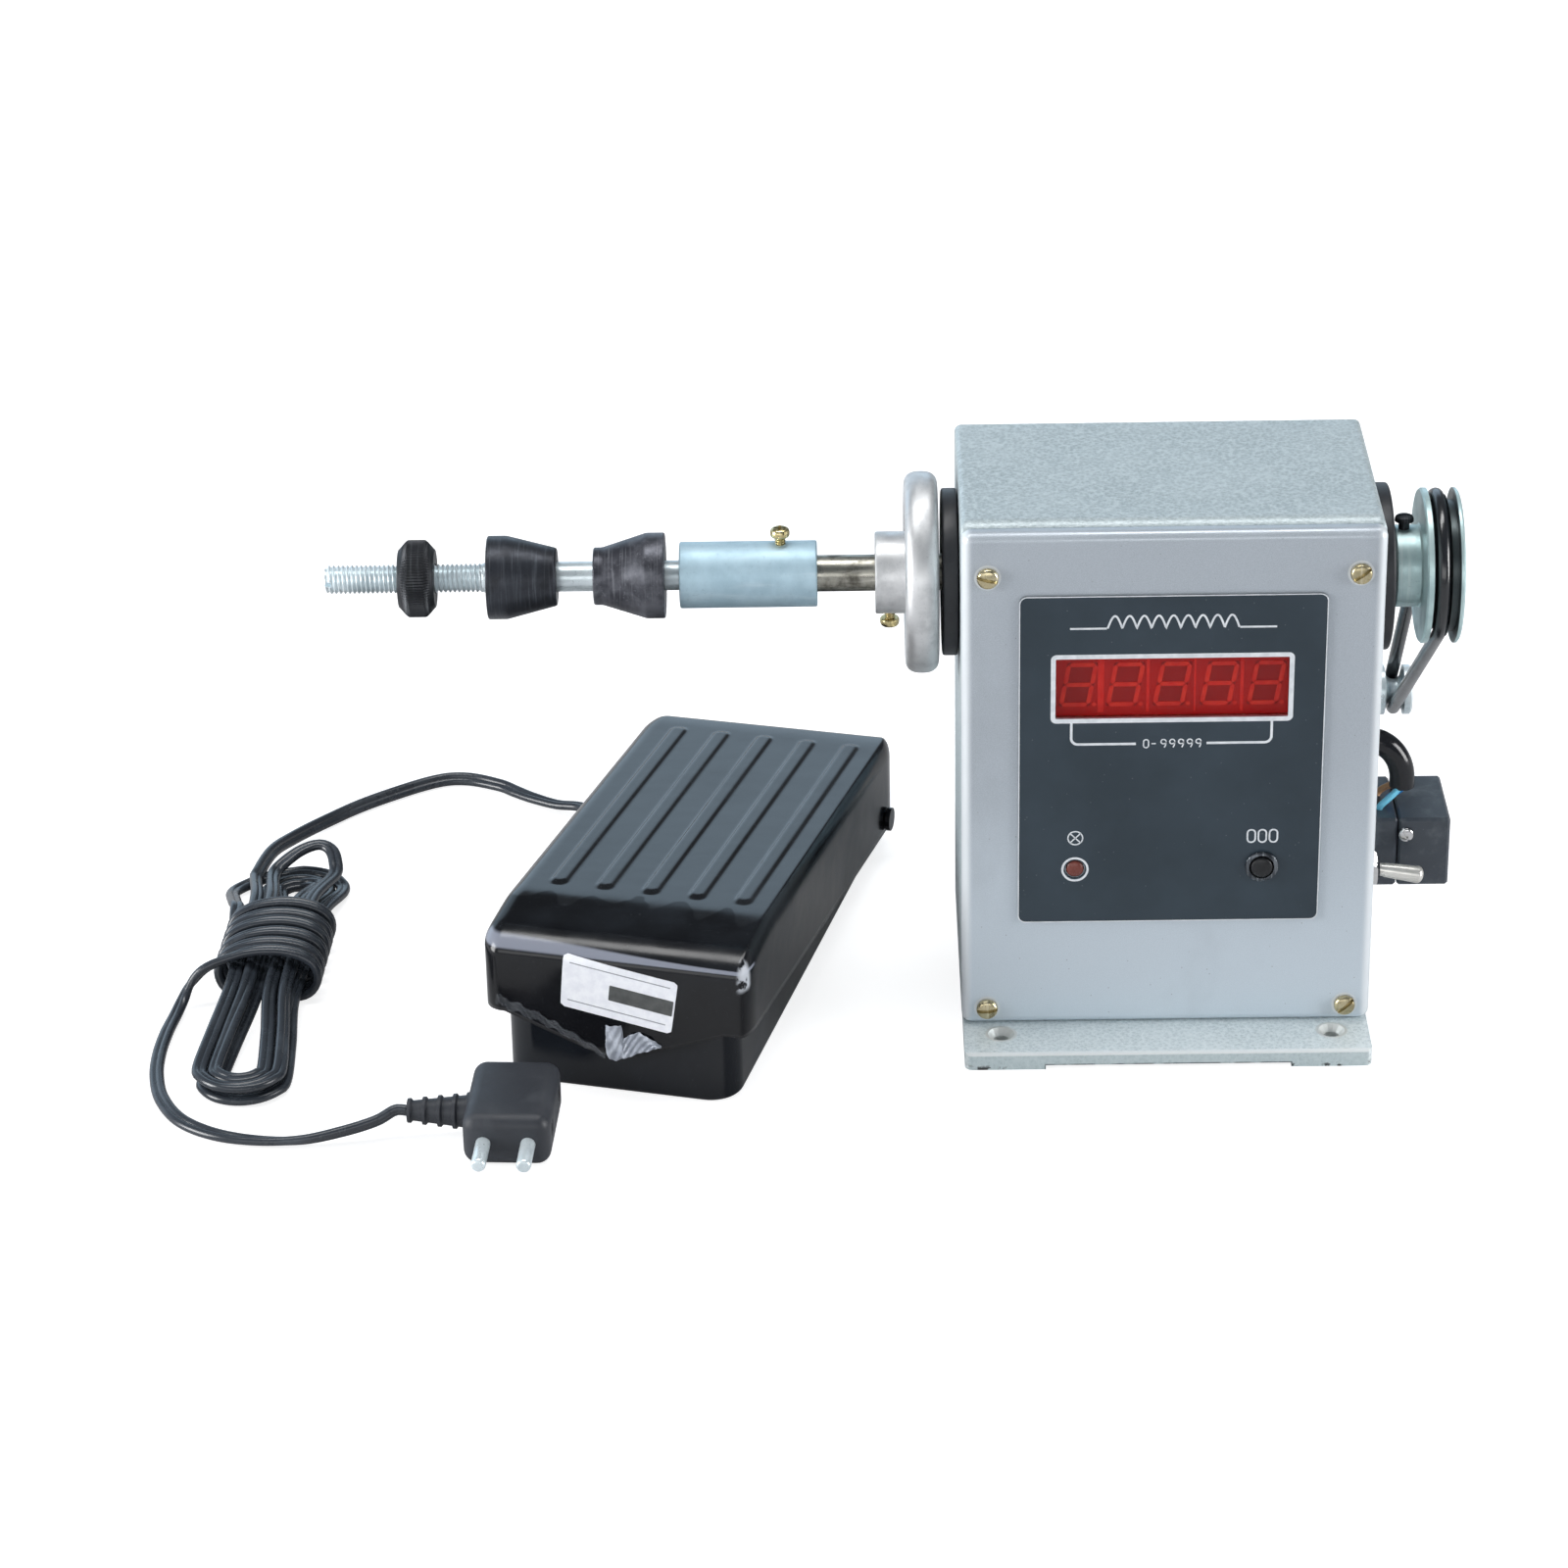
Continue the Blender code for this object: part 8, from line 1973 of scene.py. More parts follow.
@dataclass
class FootPedal:
    """Pressed cover with ribs and tongue, tray, return spring, label and torn film."""

    place_x: float = -0.1507
    place_y: float = -0.0966
    turn: float = math.radians(-14.5)
    tray_width: float = 0.0658
    tray_length: float = 0.157
    tray_height: float = 0.024
    overhang: float = 0.0051
    near_overhang: float = 0.003
    far_overhang: float = 0.0074
    sheet: float = 0.0012
    edge: float = 0.0058
    rib_pitch: float = 0.0126
    rib_width: float = 0.0058
    rib_rise: float = 0.00065
    far_corner: float = 0.0022
    corner_reach: float = 0.012
    box_depth: float = 0.03
    rib_near: float = 0.0275
    rib_far: float = 0.1505
    tongue_half: float = 0.031
    tongue_tip_z: float = 0.0112
    skirt_near_z: float = 0.0232
    skirt_far_z: float = 0.0075
    near_stretch: float = 1.5
    right_squeeze: float = 0.45
    spring_wire: float = 0.0008
    spring_turns: float = 7.0
    press_room: float = 0.007
    tray_bend: float = 0.0018
    tray_corner: float = 0.009
    lip_ease: float = 0.0003
    film_left: float = -0.0022
    film_width: float = 0.0157
    ribbon_left: float = -0.0330
    ribbon_width: float = 0.0305
    label_corners: tuple[Band, ...] = ((-0.0148, 0.0272), (0.0163, 0.0221), (0.0187, 0.0381),
                                       (-0.0134, 0.0431))
    top_heights: tuple[float, ...] = (0.0455, 0.0469, 0.0478, 0.0362, 0.0345)
    tongue_bulge: float = 0.0012
    bulge_reach: float = 0.005

    def to_world(self, surface: Surface) -> Surface:
        """Turn the pedal's own frame into the machine's."""
        return surface.moved((self.place_x, self.place_y, 0.0), rotation(self.turn, "Z"))

    def top_height(self, v: Array) -> Array:
        """Height of the cover's top along the pedal, smoothed over a few millimetres.

        Args:
            v: Distances from the tray's near wall.

        Returns:
            Heights above the bench.
        """
        stations = np.array([-self.near_overhang, 0.0067, 0.0215, 0.154, self.tray_length + self.far_overhang])
        fine = np.linspace(-0.02, 0.18, 801)
        rough = np.interp(fine, stations, self.top_heights)
        reach = np.linspace(-2.5, 2.5, 61)
        kernel = np.exp(-reach ** 2)
        smooth = np.convolve(np.pad(rough, 30, mode="edge"), kernel / kernel.sum(), mode="valid")
        return np.interp(v, fine, smooth)

    def rib_height(self, u: Array, v: Array) -> Array:
        """Height of the nearest rib: a flat-topped ridge whose flanks follow a cosine.

        The distance is measured to the rib's middle line, which ends short of the rib's round ends.

        Args:
            u, v: Places on the cover.

        Returns:
            Heights to add to the top.
        """
        number = np.clip(np.round(u / self.rib_pitch), -2.0, 2.0)
        half = self.rib_width / 2.0
        along = np.clip(v, self.rib_near + half, self.rib_far - half)
        distance = np.hypot(u - number * self.rib_pitch, v - along)
        share = np.clip((distance - 0.42 * half) / (0.58 * half), 0.0, 1.0)
        return self.rib_rise * 0.5 * (1.0 + np.cos(math.pi * share))

    def cover_surface(self) -> Surface:
        """Pressed cover as one open sheet.

        A box without its floor gets round edges; then its height is measured down from the top
        line over the first edge radius, and spread between there and the skirt's edge below it.

        Returns:
            The outer sheet.
        """
        half, edge, deep = self.tray_width / 2.0 + self.overhang, self.edge, self.box_depth
        near, far = -self.near_overhang, self.tray_length + self.far_overhang
        levels = np.concatenate([np.linspace(0.0, deep - edge, 14), edge_lines(0.0, deep, edge, 2, 8)[8:]])
        box = block_faces((edge_lines(-half, half, edge, 141, 8, np.array([0.0])),
                           edge_lines(near, far, edge, 151, 8), np.unique(levels)), skip=("-z",))
        points = rounded(box.points, (-half, near, -np.inf), (half, far, deep), edge)
        u, v, z = points.T
        depth = deep - z
        v = np.interp(v, [near, near + edge, self.rib_near, far],
                      [near, near + edge * self.near_stretch, self.rib_near, far])
        u = np.interp(u, [-half, half - edge, half], [-half, half - edge * self.right_squeeze, half])
        reach = self.corner_reach
        at_corner = np.clip((v - far + reach) / reach, 0.0, 1.0) ** 2 \
            * np.clip(np.abs(u) / reach - 2.0, 0.0, 1.0)
        u = u - np.sign(u) * self.far_corner * at_corner
        top = self.top_height(v)
        skirt = np.interp(v, [near, far], [self.skirt_near_z, self.skirt_far_z])
        tongue = np.interp(np.abs(u), [0.0, self.tongue_half], [self.tongue_tip_z, self.skirt_near_z])
        rounding = np.clip(1.0 - np.abs(u) / self.tongue_half, 0.0, 1.0)
        tongue = tongue + self.tongue_bulge * np.exp(-(u / self.bulge_reach) ** 2) * rounding
        skirt = np.where(points[:, 1] < near + 0.0005, tongue, skirt)
        share = np.clip((depth - edge) / (deep - edge), 0.0, 1.0)
        height = np.where(depth < edge, top - depth, top - edge + share * (skirt - top + edge))
        level = np.clip(1.0 - depth / 0.0005, 0.0, 1.0)
        height = height + level * self.rib_height(points[:, 0], v)
        return Surface(np.stack([u, v, height], axis=1), box.quads, box.fans)

    def tray_surface(self) -> Surface:
        """Tray as outlines stacked up its outer wall, over the rim and down inside.

        Returns:
            The closed tray.
        """
        curve = np.linspace(0.0, math.pi / 2.0, 6)
        rim, wall, ease = self.tray_height, self.sheet, self.lip_ease
        rows = [*(self.tray_bend * (1.0 - np.stack([np.sin(curve), np.cos(curve)], axis=1))), (0.0, 0.012),
                (0.0, rim - ease), (ease, rim), (wall - ease, rim), (wall, rim - ease), (wall, 0.003),
                (0.003, wall)]
        grid = []
        for inset, height in rows:
            outline = rounded_rectangle(self.tray_width - 2.0 * inset, self.tray_length - 2.0 * inset,
                                        self.tray_corner - inset, 12) + np.array([0.0, self.tray_length / 2.0])
            grid.append(np.insert(outline, 2, height, axis=1))
        return grid_surface(np.stack(grid), wrap_columns=True, cap_rows=True)

    def spring_surface(self) -> Surface:
        """Return spring, short enough to stay under the pressed cover.

        It is a helix whose height is level over its first and last tenth of the turns.

        Returns:
            The coiled wire.
        """
        low, high, middle = packed_box("pedal_spring")
        share = np.linspace(0.0, 1.0, 421)
        ring = on_circle(2.0 * math.pi * self.spring_turns * share, (high.x - low.x) / 2.0 - self.spring_wire)
        rise = high.z - low.z - self.press_room - 2.0 * self.spring_wire
        height = low.z + self.spring_wire + rise * np.clip(1.25 * share - 0.125, 0.0, 1.0)
        path = np.column_stack([ring + np.array([middle.x, middle.y]), height])
        return swept(path, circle(self.spring_wire, 10), np.array(AXIS_Z))

    def near_skin(self, u: Array, z: Array, off: float) -> Array:
        """Points on the cover's near face, following its bend into the top.

        Above the bend's start at height b the face is a circle of the edge radius, so a point at
        height z lies at radius - sqrt(radius^2 - (z - b)^2) behind the flat face.

        Args:
            u, z: Places across and up.
            off: Distance in front of the cover.

        Returns:
            Points of the same shape with u, v and z.
        """
        start = float(self.top_height(np.array([-self.near_overhang]))[0]) - self.edge
        above = np.clip(z - start, 0.0, self.edge * 0.97)
        back = self.edge - np.sqrt(self.edge ** 2 - above ** 2)
        slope = above / self.edge
        v = -self.near_overhang + back - off * np.sqrt(1.0 - slope ** 2)
        return np.stack([u, v, z + off * slope], axis=-1)

    def label_patch(self, low: tuple[float, float], high: tuple[float, float], corner: float,
                    off: float) -> Surface:
        """Part of the label as a thin sheet on the near face.

        The label's own places run from 0 to 1 across and up, and are carried to its four corners by
        a bilinear blend. The sides draw in near the top and bottom to round the corners.

        Args:
            low, high: Corners of the part in the label's own places.
            corner: Corner radius as a share of the label's width.
            off: Distance in front of the cover.

        Returns:
            The closed sheet.
        """
        across, up = np.meshgrid(np.linspace(-1.0, 1.0, 33), np.linspace(0.0, 1.0, 25), indexing="ij")
        ratio, thick = 0.5, 0.0001
        dip = np.clip(corner - np.minimum(up, 1.0 - up) * ratio * (high[1] - low[1]), 0.0, corner)
        inset = corner - np.sqrt(np.maximum(corner ** 2 - dip ** 2, 0.0))
        s = (low[0] + high[0]) / 2.0 + across * ((high[0] - low[0]) / 2.0 - inset)
        t = low[1] + up * (high[1] - low[1])
        shares = np.stack([(1.0 - s) * (1.0 - t), s * (1.0 - t), s * t, (1.0 - s) * t], axis=-1)
        u, z = np.moveaxis(shares @ np.array(self.label_corners), -1, 0)
        front, back = self.near_skin(u, z, off), self.near_skin(u, z, off - thick)
        sides = [grid_surface(np.stack([front[edge], back[edge]])) for edge in
                 (np.s_[0, :], np.s_[-1, :], np.s_[:, 0], np.s_[:, -1])]
        return grid_surface(front).plus(grid_surface(back), *sides)

    def film_surface(self) -> Surface:
        """Scrap of torn film on the tongue, wrinkled by two crossing sine waves.

        Returns:
            The open sheet between an upper and a lower outline.
        """
        s, t = np.meshgrid(np.linspace(0.0, 1.0, 61), np.linspace(0.0, 1.0, 17), indexing="ij")
        u = self.film_left + self.film_width * s
        upper = np.interp(u, [-0.0022, 0.0024, 0.0027, 0.0048, 0.0073, 0.0104, 0.0135],
                          [0.0226, 0.0229, 0.0189, 0.0207, 0.0215, 0.0202, 0.0180])
        lower = np.interp(u, [-0.0022, -0.0012, 0.0006, 0.0070, 0.0135],
                          [0.0140, 0.0124, 0.0118, 0.0149, 0.0177])
        wrinkle = 0.0005 + 0.0003 * np.sin(s * 19.0 + t * 6.0) + 0.00018 * np.sin(s * 43.0 - t * 15.0)
        skin = self.near_skin(u, lower + (upper - lower) * t, 0.0)
        skin[..., 1] -= wrinkle
        return grid_surface(skin)

    def film_edge_surface(self) -> Surface:
        """Clear film stretched along the tongue's left edge: a narrow ribbon with fine folds.

        Returns:
            The open sheet.
        """
        s, t = np.meshgrid(np.linspace(0.0, 1.0, 121), np.linspace(0.0, 1.0, 13), indexing="ij")
        u = self.ribbon_left + self.ribbon_width * s
        line = np.interp(u, [-0.0330, -0.0286, -0.0207, -0.0128, -0.0026],
                         [0.0258, 0.0243, 0.0217, 0.0179, 0.0127])
        fold = 0.0004 * np.sin(s * 90.0 + 6.0 * t + 3.0 * np.sin(s * 17.0)) * (1.0 - 0.6 * s)
        height = line + (t - 0.12) * (0.0032 - 0.0014 * s) + 0.0004 * np.sin(s * 37.0)
        skin = self.near_skin(u, height, 0.0)
        skin[..., 1] -= 0.00065 + fold
        return grid_surface(skin)

    def build(self) -> None:
        """Make the pedal."""
        WARDROBE.dress(hinge_pin=Look.ENAMEL, speed_controller=Look.BLACK_PLASTIC, cord_bush=Look.RUBBER)
        make_piece("return_spring", self.spring_surface(), Look.GROUND_STEEL, "pedal_spring",
                   slot="spring_steel")
        make_piece("cover_pressed", self.to_world(self.cover_surface()), Look.ENAMEL, "pedal_cover",
                   slot="enamel", body="pedal", crease=50.0, facing=AXIS_Z, wall=self.sheet)
        make_piece("tray_pressed", self.to_world(self.tray_surface()), Look.TRAY_ENAMEL, "pedal_tray",
                   slot="enamel", crease=40.0)
        label = self.label_patch((0.0, 0.0), (1.0, 1.0), 0.035, 0.00022)
        block = self.label_patch((0.42, 0.34), (0.985, 0.63), 0.004, 0.00028)
        rules = joined([self.label_patch((0.06, level), (0.94, level + 0.018), 0.002, 0.00027)
                        for level in (0.14, 0.86)])
        for name, surface, look in (("pedal_label", label, Look.LABEL),
                                    ("label_block", block, Look.LABEL_BLOCK),
                                    ("label_rules", rules, Look.LABEL_RULE)):
            make_piece(name, self.to_world(surface), look, body="pedal")
        for name, surface, look, wall in (("film_scrap", self.film_surface(), Look.FILM, 0.00008),
                                          ("film_edge", self.film_edge_surface(), Look.CLEAR_FILM, 0.00006)):
            make_piece(name, self.to_world(surface), look, body="pedal", facing=TO_FRONT, wall=wall)


# Cord


@dataclass
class PedalCord:
    """Flat twin cord: lead from the pedal, wrapped hank and tail to the plug."""

    half_gap: float = 0.00085
    strand_r: float = 0.00122
    step: float = 0.0013
    exit_point: Point = (-0.14905, 0.04758, 0.0049)
    exit_heading: Point = (-0.968148, 0.250380, 0.0)
    place_x: float = -0.2517
    place_y: float = -0.0288
    turn: float = math.radians(-2.5)
    loops: int = 4
    loop_points: int = 24
    arc_share: float = 0.13
    top_a: float = 0.047
    bottom_a: float = -0.062
    waist_half: float = 0.0034
    end_half: float = 0.0068
    ring_step: float = 0.0043
    layer: float = 0.004
    end_z: float = 0.0019
    waist_z: float = 0.00575
    first_ring: float = 1.5
    climb_power: float = 1.5
    wrap_top: float = 0.018
    wrap_pitch: float = 0.0058
    wrap_turns: float = 5.85
    wrap_half_width: float = 0.0144
    wrap_half_height: float = 0.00605
    wrap_arch: float = 0.0078
    wrap_lean: float = 0.25
    loop_reach: Point = (0.0045, 0.0055, 0.0045)
    lead_stations: tuple[float, ...] = (0.0, 0.04, 0.075, 0.15, 0.19)
    lead_leans: tuple[float, ...] = (0.0, 10.0, -52.0, -60.0, -30.0)
    waist_margin: float = 0.007
    return_out: float = 0.0045
    return_rise: float = 0.0012
    boot_point: Point = (-0.2065, -0.1186, 0.008)
    boot_turn: float = math.radians(-3.0)
    mouth: Band = (0.0003, 0.0035)
    wrap_waver: float = 0.0006
    waver_rate: float = 2.3
    arch_power: float = 0.85
    reach_turns: float = 0.1
    lead_in: float = 0.0032
    swings: tuple[Band, Band] = ((38.0, 0.045), (20.0, 0.017))
    swing_start: float = 0.17
    swing_fade: float = 0.04
    window: int = 17
    diameter: float = 0.0042
    lead_route: tuple[Point, ...] = (
        (-0.1580, 0.0512, 0.0048), (-0.1636, 0.0600, 0.0046), (-0.1686, 0.0678, 0.0038),
        (-0.1762, 0.0722, 0.0025), (-0.1838, 0.0776, 0.0021), (-0.1892, 0.0820, 0.0021),
        (-0.1948, 0.0867, 0.0021), (-0.2056, 0.0912, 0.0021), (-0.2160, 0.0889, 0.0021),
        (-0.2335, 0.0760, 0.0022), (-0.2452, 0.0640, 0.0023), (-0.2545, 0.0500, 0.0036),
        (-0.2595, 0.0375, 0.0054))
    tail_route: tuple[Point, ...] = (
        (-0.2690, -0.0438, 0.0114), (-0.2738, -0.0450, 0.0068), (-0.2760, -0.0484, 0.0033),
        (-0.2774, -0.0545, 0.0019), (-0.2787, -0.0640, 0.0018), (-0.2793, -0.0760, 0.0018),
        (-0.2785, -0.0880, 0.0018), (-0.2755, -0.1005, 0.0018), (-0.2690, -0.1120, 0.0018),
        (-0.2590, -0.1195, 0.0018), (-0.2470, -0.1232, 0.0019), (-0.2350, -0.1240, 0.0024),
        (-0.2240, -0.1225, 0.0040), (-0.2150, -0.1205, 0.0060))

    def loop_route(self) -> Array:
        """Points of the loops: two long runs and two round ends a turn, drawn in at the waist.

        The ring number falls to the middle turn and rises again, and the layer drops by a cosine
        over the half turn before it. The round end at the first full turn is drawn out by loop_reach.

        Returns:
            Points with across, along and height.
        """
        start = int(self.arc_share * self.loop_points)
        turn = np.arange(start, self.loops * self.loop_points + 1) / self.loop_points
        middle = self.loops / 2.0
        ring = np.where(turn < middle, self.first_ring - turn, self.first_ring + turn - 2.0 * middle)
        drop = np.clip((turn - middle + 0.5) / 0.5, 0.0, 1.0)
        layer = np.cos(math.pi / 2.0 * drop ** self.climb_power)
        phase = turn % 1.0
        arc, run = self.arc_share, 0.5 - 2.0 * self.arc_share
        end_half = self.end_half + ring * self.ring_step
        head = (phase < arc) | (phase >= 1.0 - arc)
        down = ~head & (phase < 0.5 - arc)
        foot = ~head & ~down & (phase < 0.5 + arc)
        head_angle = np.where(phase < arc, phase, phase - 1.0) / arc * math.pi / 2.0
        foot_angle = (phase - 0.5) / arc * math.pi / 2.0
        down_along = self.top_a + (self.bottom_a - self.top_a) * (phase - arc) / run
        up_along = self.bottom_a + (self.top_a - self.bottom_a) * (phase - 0.5 - arc) / run
        straight = np.where(down, down_along, up_along)
        high = self.wrap_top + self.waist_margin
        low = self.wrap_top - self.wrap_pitch * self.wrap_turns - self.waist_margin
        share = np.where(straight > high, (straight - high) / (self.top_a - high),
                         np.maximum(0.0, (low - straight) / (low - self.bottom_a)))
        share = np.clip(share, 0.0, 1.0)
        swell = share * share * (3.0 - 2.0 * share)
        half = self.waist_half + (self.end_half - self.waist_half) * swell + ring * self.ring_step
        across = np.select([head, down, foot],
                           [-end_half * np.sin(head_angle), -half, end_half * np.sin(foot_angle)], half)
        along = np.select([head, foot], [self.top_a + end_half * np.cos(head_angle),
                                         self.bottom_a - end_half * np.cos(foot_angle)], straight)
        swell = np.where(head | foot, 1.0, swell)
        height = self.waist_z + (self.end_z - self.waist_z) * swell + self.layer * layer
        tall = np.exp(-((turn - 1.0) / self.reach_turns) ** 2)
        return np.stack([across, along, height], axis=1) + np.outer(tall, self.loop_reach)

    def wrap_route(self) -> Array:
        """Points of the wraps: a ring round the waist, flat below and arched above.

        It advances at a pitch that wavers a little, and leans back with its height.

        Returns:
            Points with across, along and height.
        """
        radius, straight = self.wrap_half_height, np.array([self.wrap_half_width - self.wrap_half_height, 0.0])
        over = np.linspace(0.0, math.pi, 72)[1:]
        outline = np.vstack([on_circle(np.linspace(math.pi, 1.5 * math.pi, 24), radius) - straight,
                             on_circle(np.linspace(-math.pi / 2.0, 0.0, 24), radius) + straight,
                             np.stack([self.wrap_half_width * np.cos(over),
                                       self.wrap_arch * np.abs(np.sin(over)) ** self.arch_power],
                                      axis=1)])
        turns = np.linspace(0.0, self.wrap_turns, int(self.wrap_turns * self.loop_points) + 1)
        across, height = at_distances(outline, (turns % 1.0) * travelled(outline)[-1]).T
        waver = self.wrap_waver * np.sin(self.waver_rate * turns + 1.0) * np.clip(turns, 0.0, 1.0)
        along = self.wrap_top - self.wrap_pitch * turns + waver + self.wrap_lean * height
        return np.stack([across, along, self.waist_z + self.layer / 2.0 + height], axis=1)

    def hank_route(self) -> Array:
        """Whole hank in its own places: loops, a lead back to the waist and the wraps.

        Returns:
            Points with across, along and height.
        """
        loops, around = self.loop_route(), self.wrap_route()
        end_half = self.end_half + self.first_ring * self.ring_step
        head, rise, out = self.top_a - self.wrap_top, around[0, 2] - self.end_z, self.return_out
        handles = np.array([
            (-end_half * 0.75, self.top_a + end_half * 0.76, self.end_z),
            (-self.wrap_half_width - out, self.wrap_top + head * 1.02, self.end_z + rise * 0.03),
            (-self.wrap_half_width - out / 2.0, self.wrap_top + head * 0.5, self.end_z + rise * 0.8),
            (-self.wrap_half_width, self.wrap_top + head * 0.22, self.end_z + rise + self.return_rise)])
        lead = smooth_path(np.vstack([loops[-1:], handles, around[:1]]), 0.004)[1:-1]
        route = np.vstack([loops, lead, around])
        return np.vstack([route[:1] + np.array([0.0, self.lead_in, 0.0]), route])

    def path(self) -> tuple[Array, Array]:
        """Centre line of the whole cord, and for each point whether it wraps the waist.

        Returns:
            Points in the machine's frame, and shares from 0 to 1.
        """
        hank, wrap_count = self.hank_route(), len(self.wrap_route())
        hank = hank @ rotation(self.turn, "Z").T + np.array([self.place_x, self.place_y, 0.0])
        exit_point, away = np.array(self.exit_point), np.array(self.exit_heading)
        into = np.array([math.cos(self.boot_turn), math.sin(self.boot_turn), 0.0])
        boot = np.array(self.boot_point)
        inner, outer = self.mouth
        tail = np.vstack([self.tail_route, boot - into * outer, boot - into * inner])
        knots = np.vstack([exit_point + away * inner, exit_point + away * outer, self.lead_route, hank, tail])
        wrapped = np.zeros(len(knots))
        wrapped[-len(tail) - wrap_count:-len(tail)] = 1.0
        points, lengths = smooth_path(knots, self.step), travelled(knots)
        return points, np.interp(np.linspace(0.0, lengths[-1], len(points)), lengths, wrapped)

    def section(self) -> Array:
        """Outline of the twin cord: two circles side by side that meet in a shallow groove."""
        meet = math.pi - math.acos(self.half_gap / self.strand_r)
        lobe = on_circle(np.linspace(-meet, meet, 15), self.strand_r) + np.array([self.half_gap, 0.0])
        return np.vstack([lobe, -lobe])

    def rise_directions(self, points: Array, wrapped: Array) -> Array:
        """Direction of the cord's thin side for each point.

        On the bench it leans slowly to and fro about straight up. Round the waist it points out
        from the bundle's middle line. The two are mixed and smoothed over two centimetres.

        Args:
            points: Centre line.
            wrapped: Share of wrapping for each point.

        Returns:
            One direction for each point.
        """
        flat = unit(np.cross(headings(points), np.array(AXIS_Z)))
        distance = np.arange(len(points)) * self.step
        slow = sum(degrees * np.sin(distance / reach) for degrees, reach in self.swings)
        share = np.clip((distance - self.swing_start) / self.swing_fade, 0.0, 1.0)
        start = np.interp(distance, self.lead_stations, self.lead_leans)
        lean = np.radians(slow * share + start * (1.0 - share))
        loose = np.cos(lean)[:, None] * np.array(AXIS_Z) + np.sin(lean)[:, None] * flat
        core = rotation(self.turn, "Z") @ np.array(AXIS_Y)
        out = points - np.array([self.place_x, self.place_y, self.waist_z + self.layer / 2.0])
        out = unit(out - np.outer(out @ core, core))
        mixed = loose * (1.0 - wrapped[:, None]) + out * wrapped[:, None]
        kernel = np.hanning(self.window)
        padded = np.pad(mixed, ((self.window // 2, self.window // 2), (0, 0)), mode="edge")
        return np.stack([np.convolve(column, kernel / kernel.sum(), mode="valid") for column in padded.T],
                        axis=1)

    def build(self) -> None:
        points, wrapped = self.path()
        tube = swept(points, self.section(), self.rise_directions(points, wrapped))
        cord = make_piece("pedal_cord", tube, Look.CORD, "cord_lead", "cord_hank", "cord_tail", slot="cord",
                          crease=60.0)
        plug = MouldedPlug().build()


@dataclass
class MouldedPlug:
    """Moulded plug: ringed boot, rounded body with painted shade for its grip slots, and two pins."""

    place: Point = (-0.2065, -0.1186, 0.008)
    turn: float = math.radians(-3.0)
    boot_length: float = 0.0165
    depth: float = 0.0235
    length: float = 0.033
    height: float = 0.015
    edge: float = 0.0038
    boot_r: float = 0.0033
    boot_widening: float = 0.0019
    rings: float = 4.0
    ring_depth: float = 0.0007
    slot_half: tuple[float, float] = (0.0006, 0.0019)
    slot_gap: float = 0.0011
    slot_pair: float = 0.0088
    slot_rise: float = 0.0008
    pin_r: float = 0.002
    pin_tip: Band = (0.0106, 0.0118)
    pin_half_gap: float = 0.006

    def to_world(self, surface: Surface) -> Surface:
        """Turn the plug's own frame, X from the cord into the body, into the machine's."""
        return surface.moved(self.place, rotation(self.turn, "Z"))

    def body_surface(self) -> Surface:
        """Rounded body and ringed boot.

        Returns:
            The closed shapes.
        """
        middle = (self.boot_length + self.depth / 2.0, 0.0, 0.0)
        body = rounded_block((self.depth, self.length, self.height), middle, self.edge)
        station = np.linspace(0.0, 1.0, 121)
        ring = (station * self.rings) % 1.0
        groove = np.clip(4.0 - 8.0 * np.abs(ring - 0.72), 0.0, 1.0)
        radius = self.boot_r + self.boot_widening * station - self.ring_depth * groove * (station < 0.97)
        boot = revolved(np.stack([self.boot_length * station, radius], axis=1), 48)
        neck = revolved(np.array([[self.boot_length, 0.0052], [self.boot_length + self.edge, 0.0058]]), 48)
        return body.plus(boot, neck)

    def slot_shades_surface(self) -> Surface:
        """Painted shade of the grip slots on the far side: two pairs of dark upright ovals.

        Returns:
            The closed shapes.
        """
        face = self.boot_length + self.depth
        oval = circle(1.0, 32) * np.array(self.slot_half)
        shape = grid_surface(np.stack([np.insert(oval, 0, level, axis=1) for level in
                                       (face - 0.0002, face + 0.00006)]), wrap_columns=True, cap_rows=True)
        return joined([shape.moved((0.0, pair * self.slot_pair + side * self.slot_gap, self.slot_rise))
                       for pair in (-1.0, 1.0) for side in (-1.0, 1.0)])

    def pins_surface(self) -> Surface:
        """Two round pins with domed ends on the near side.

        Returns:
            The closed shapes.
        """
        dome = np.linspace(0.0, math.pi / 2.0, 8)
        start, end = self.pin_tip
        tip = np.stack([start + (end - start) * np.sin(dome),
                        self.pin_r - 0.0008 * (1.0 - np.cos(dome))], axis=1)
        pin = revolved(np.vstack([[[-0.002, self.pin_r]], tip]), 32)
        middle = self.boot_length + self.depth / 2.0
        return joined([pin.aimed((middle + side * self.pin_half_gap, -self.length / 2.0, 0.0), TO_FRONT)
                       for side in (-1.0, 1.0)])

    def build(self) -> list[bpy.types.Object]:
        """Make the plug.

        Returns:
            Its pieces.
        """
        return [make_piece("plug_moulding", self.to_world(self.body_surface()), Look.BLACK_PLASTIC, "plug",
                           slot="cord"),
                make_piece("plug_grip_slots", self.to_world(self.slot_shades_surface()), Look.SLOT_DARK,
                           slot="cord"),
                make_piece("plug_pins", self.to_world(self.pins_surface()), Look.THREAD_ZINC, slot="zinc")]


# Studio


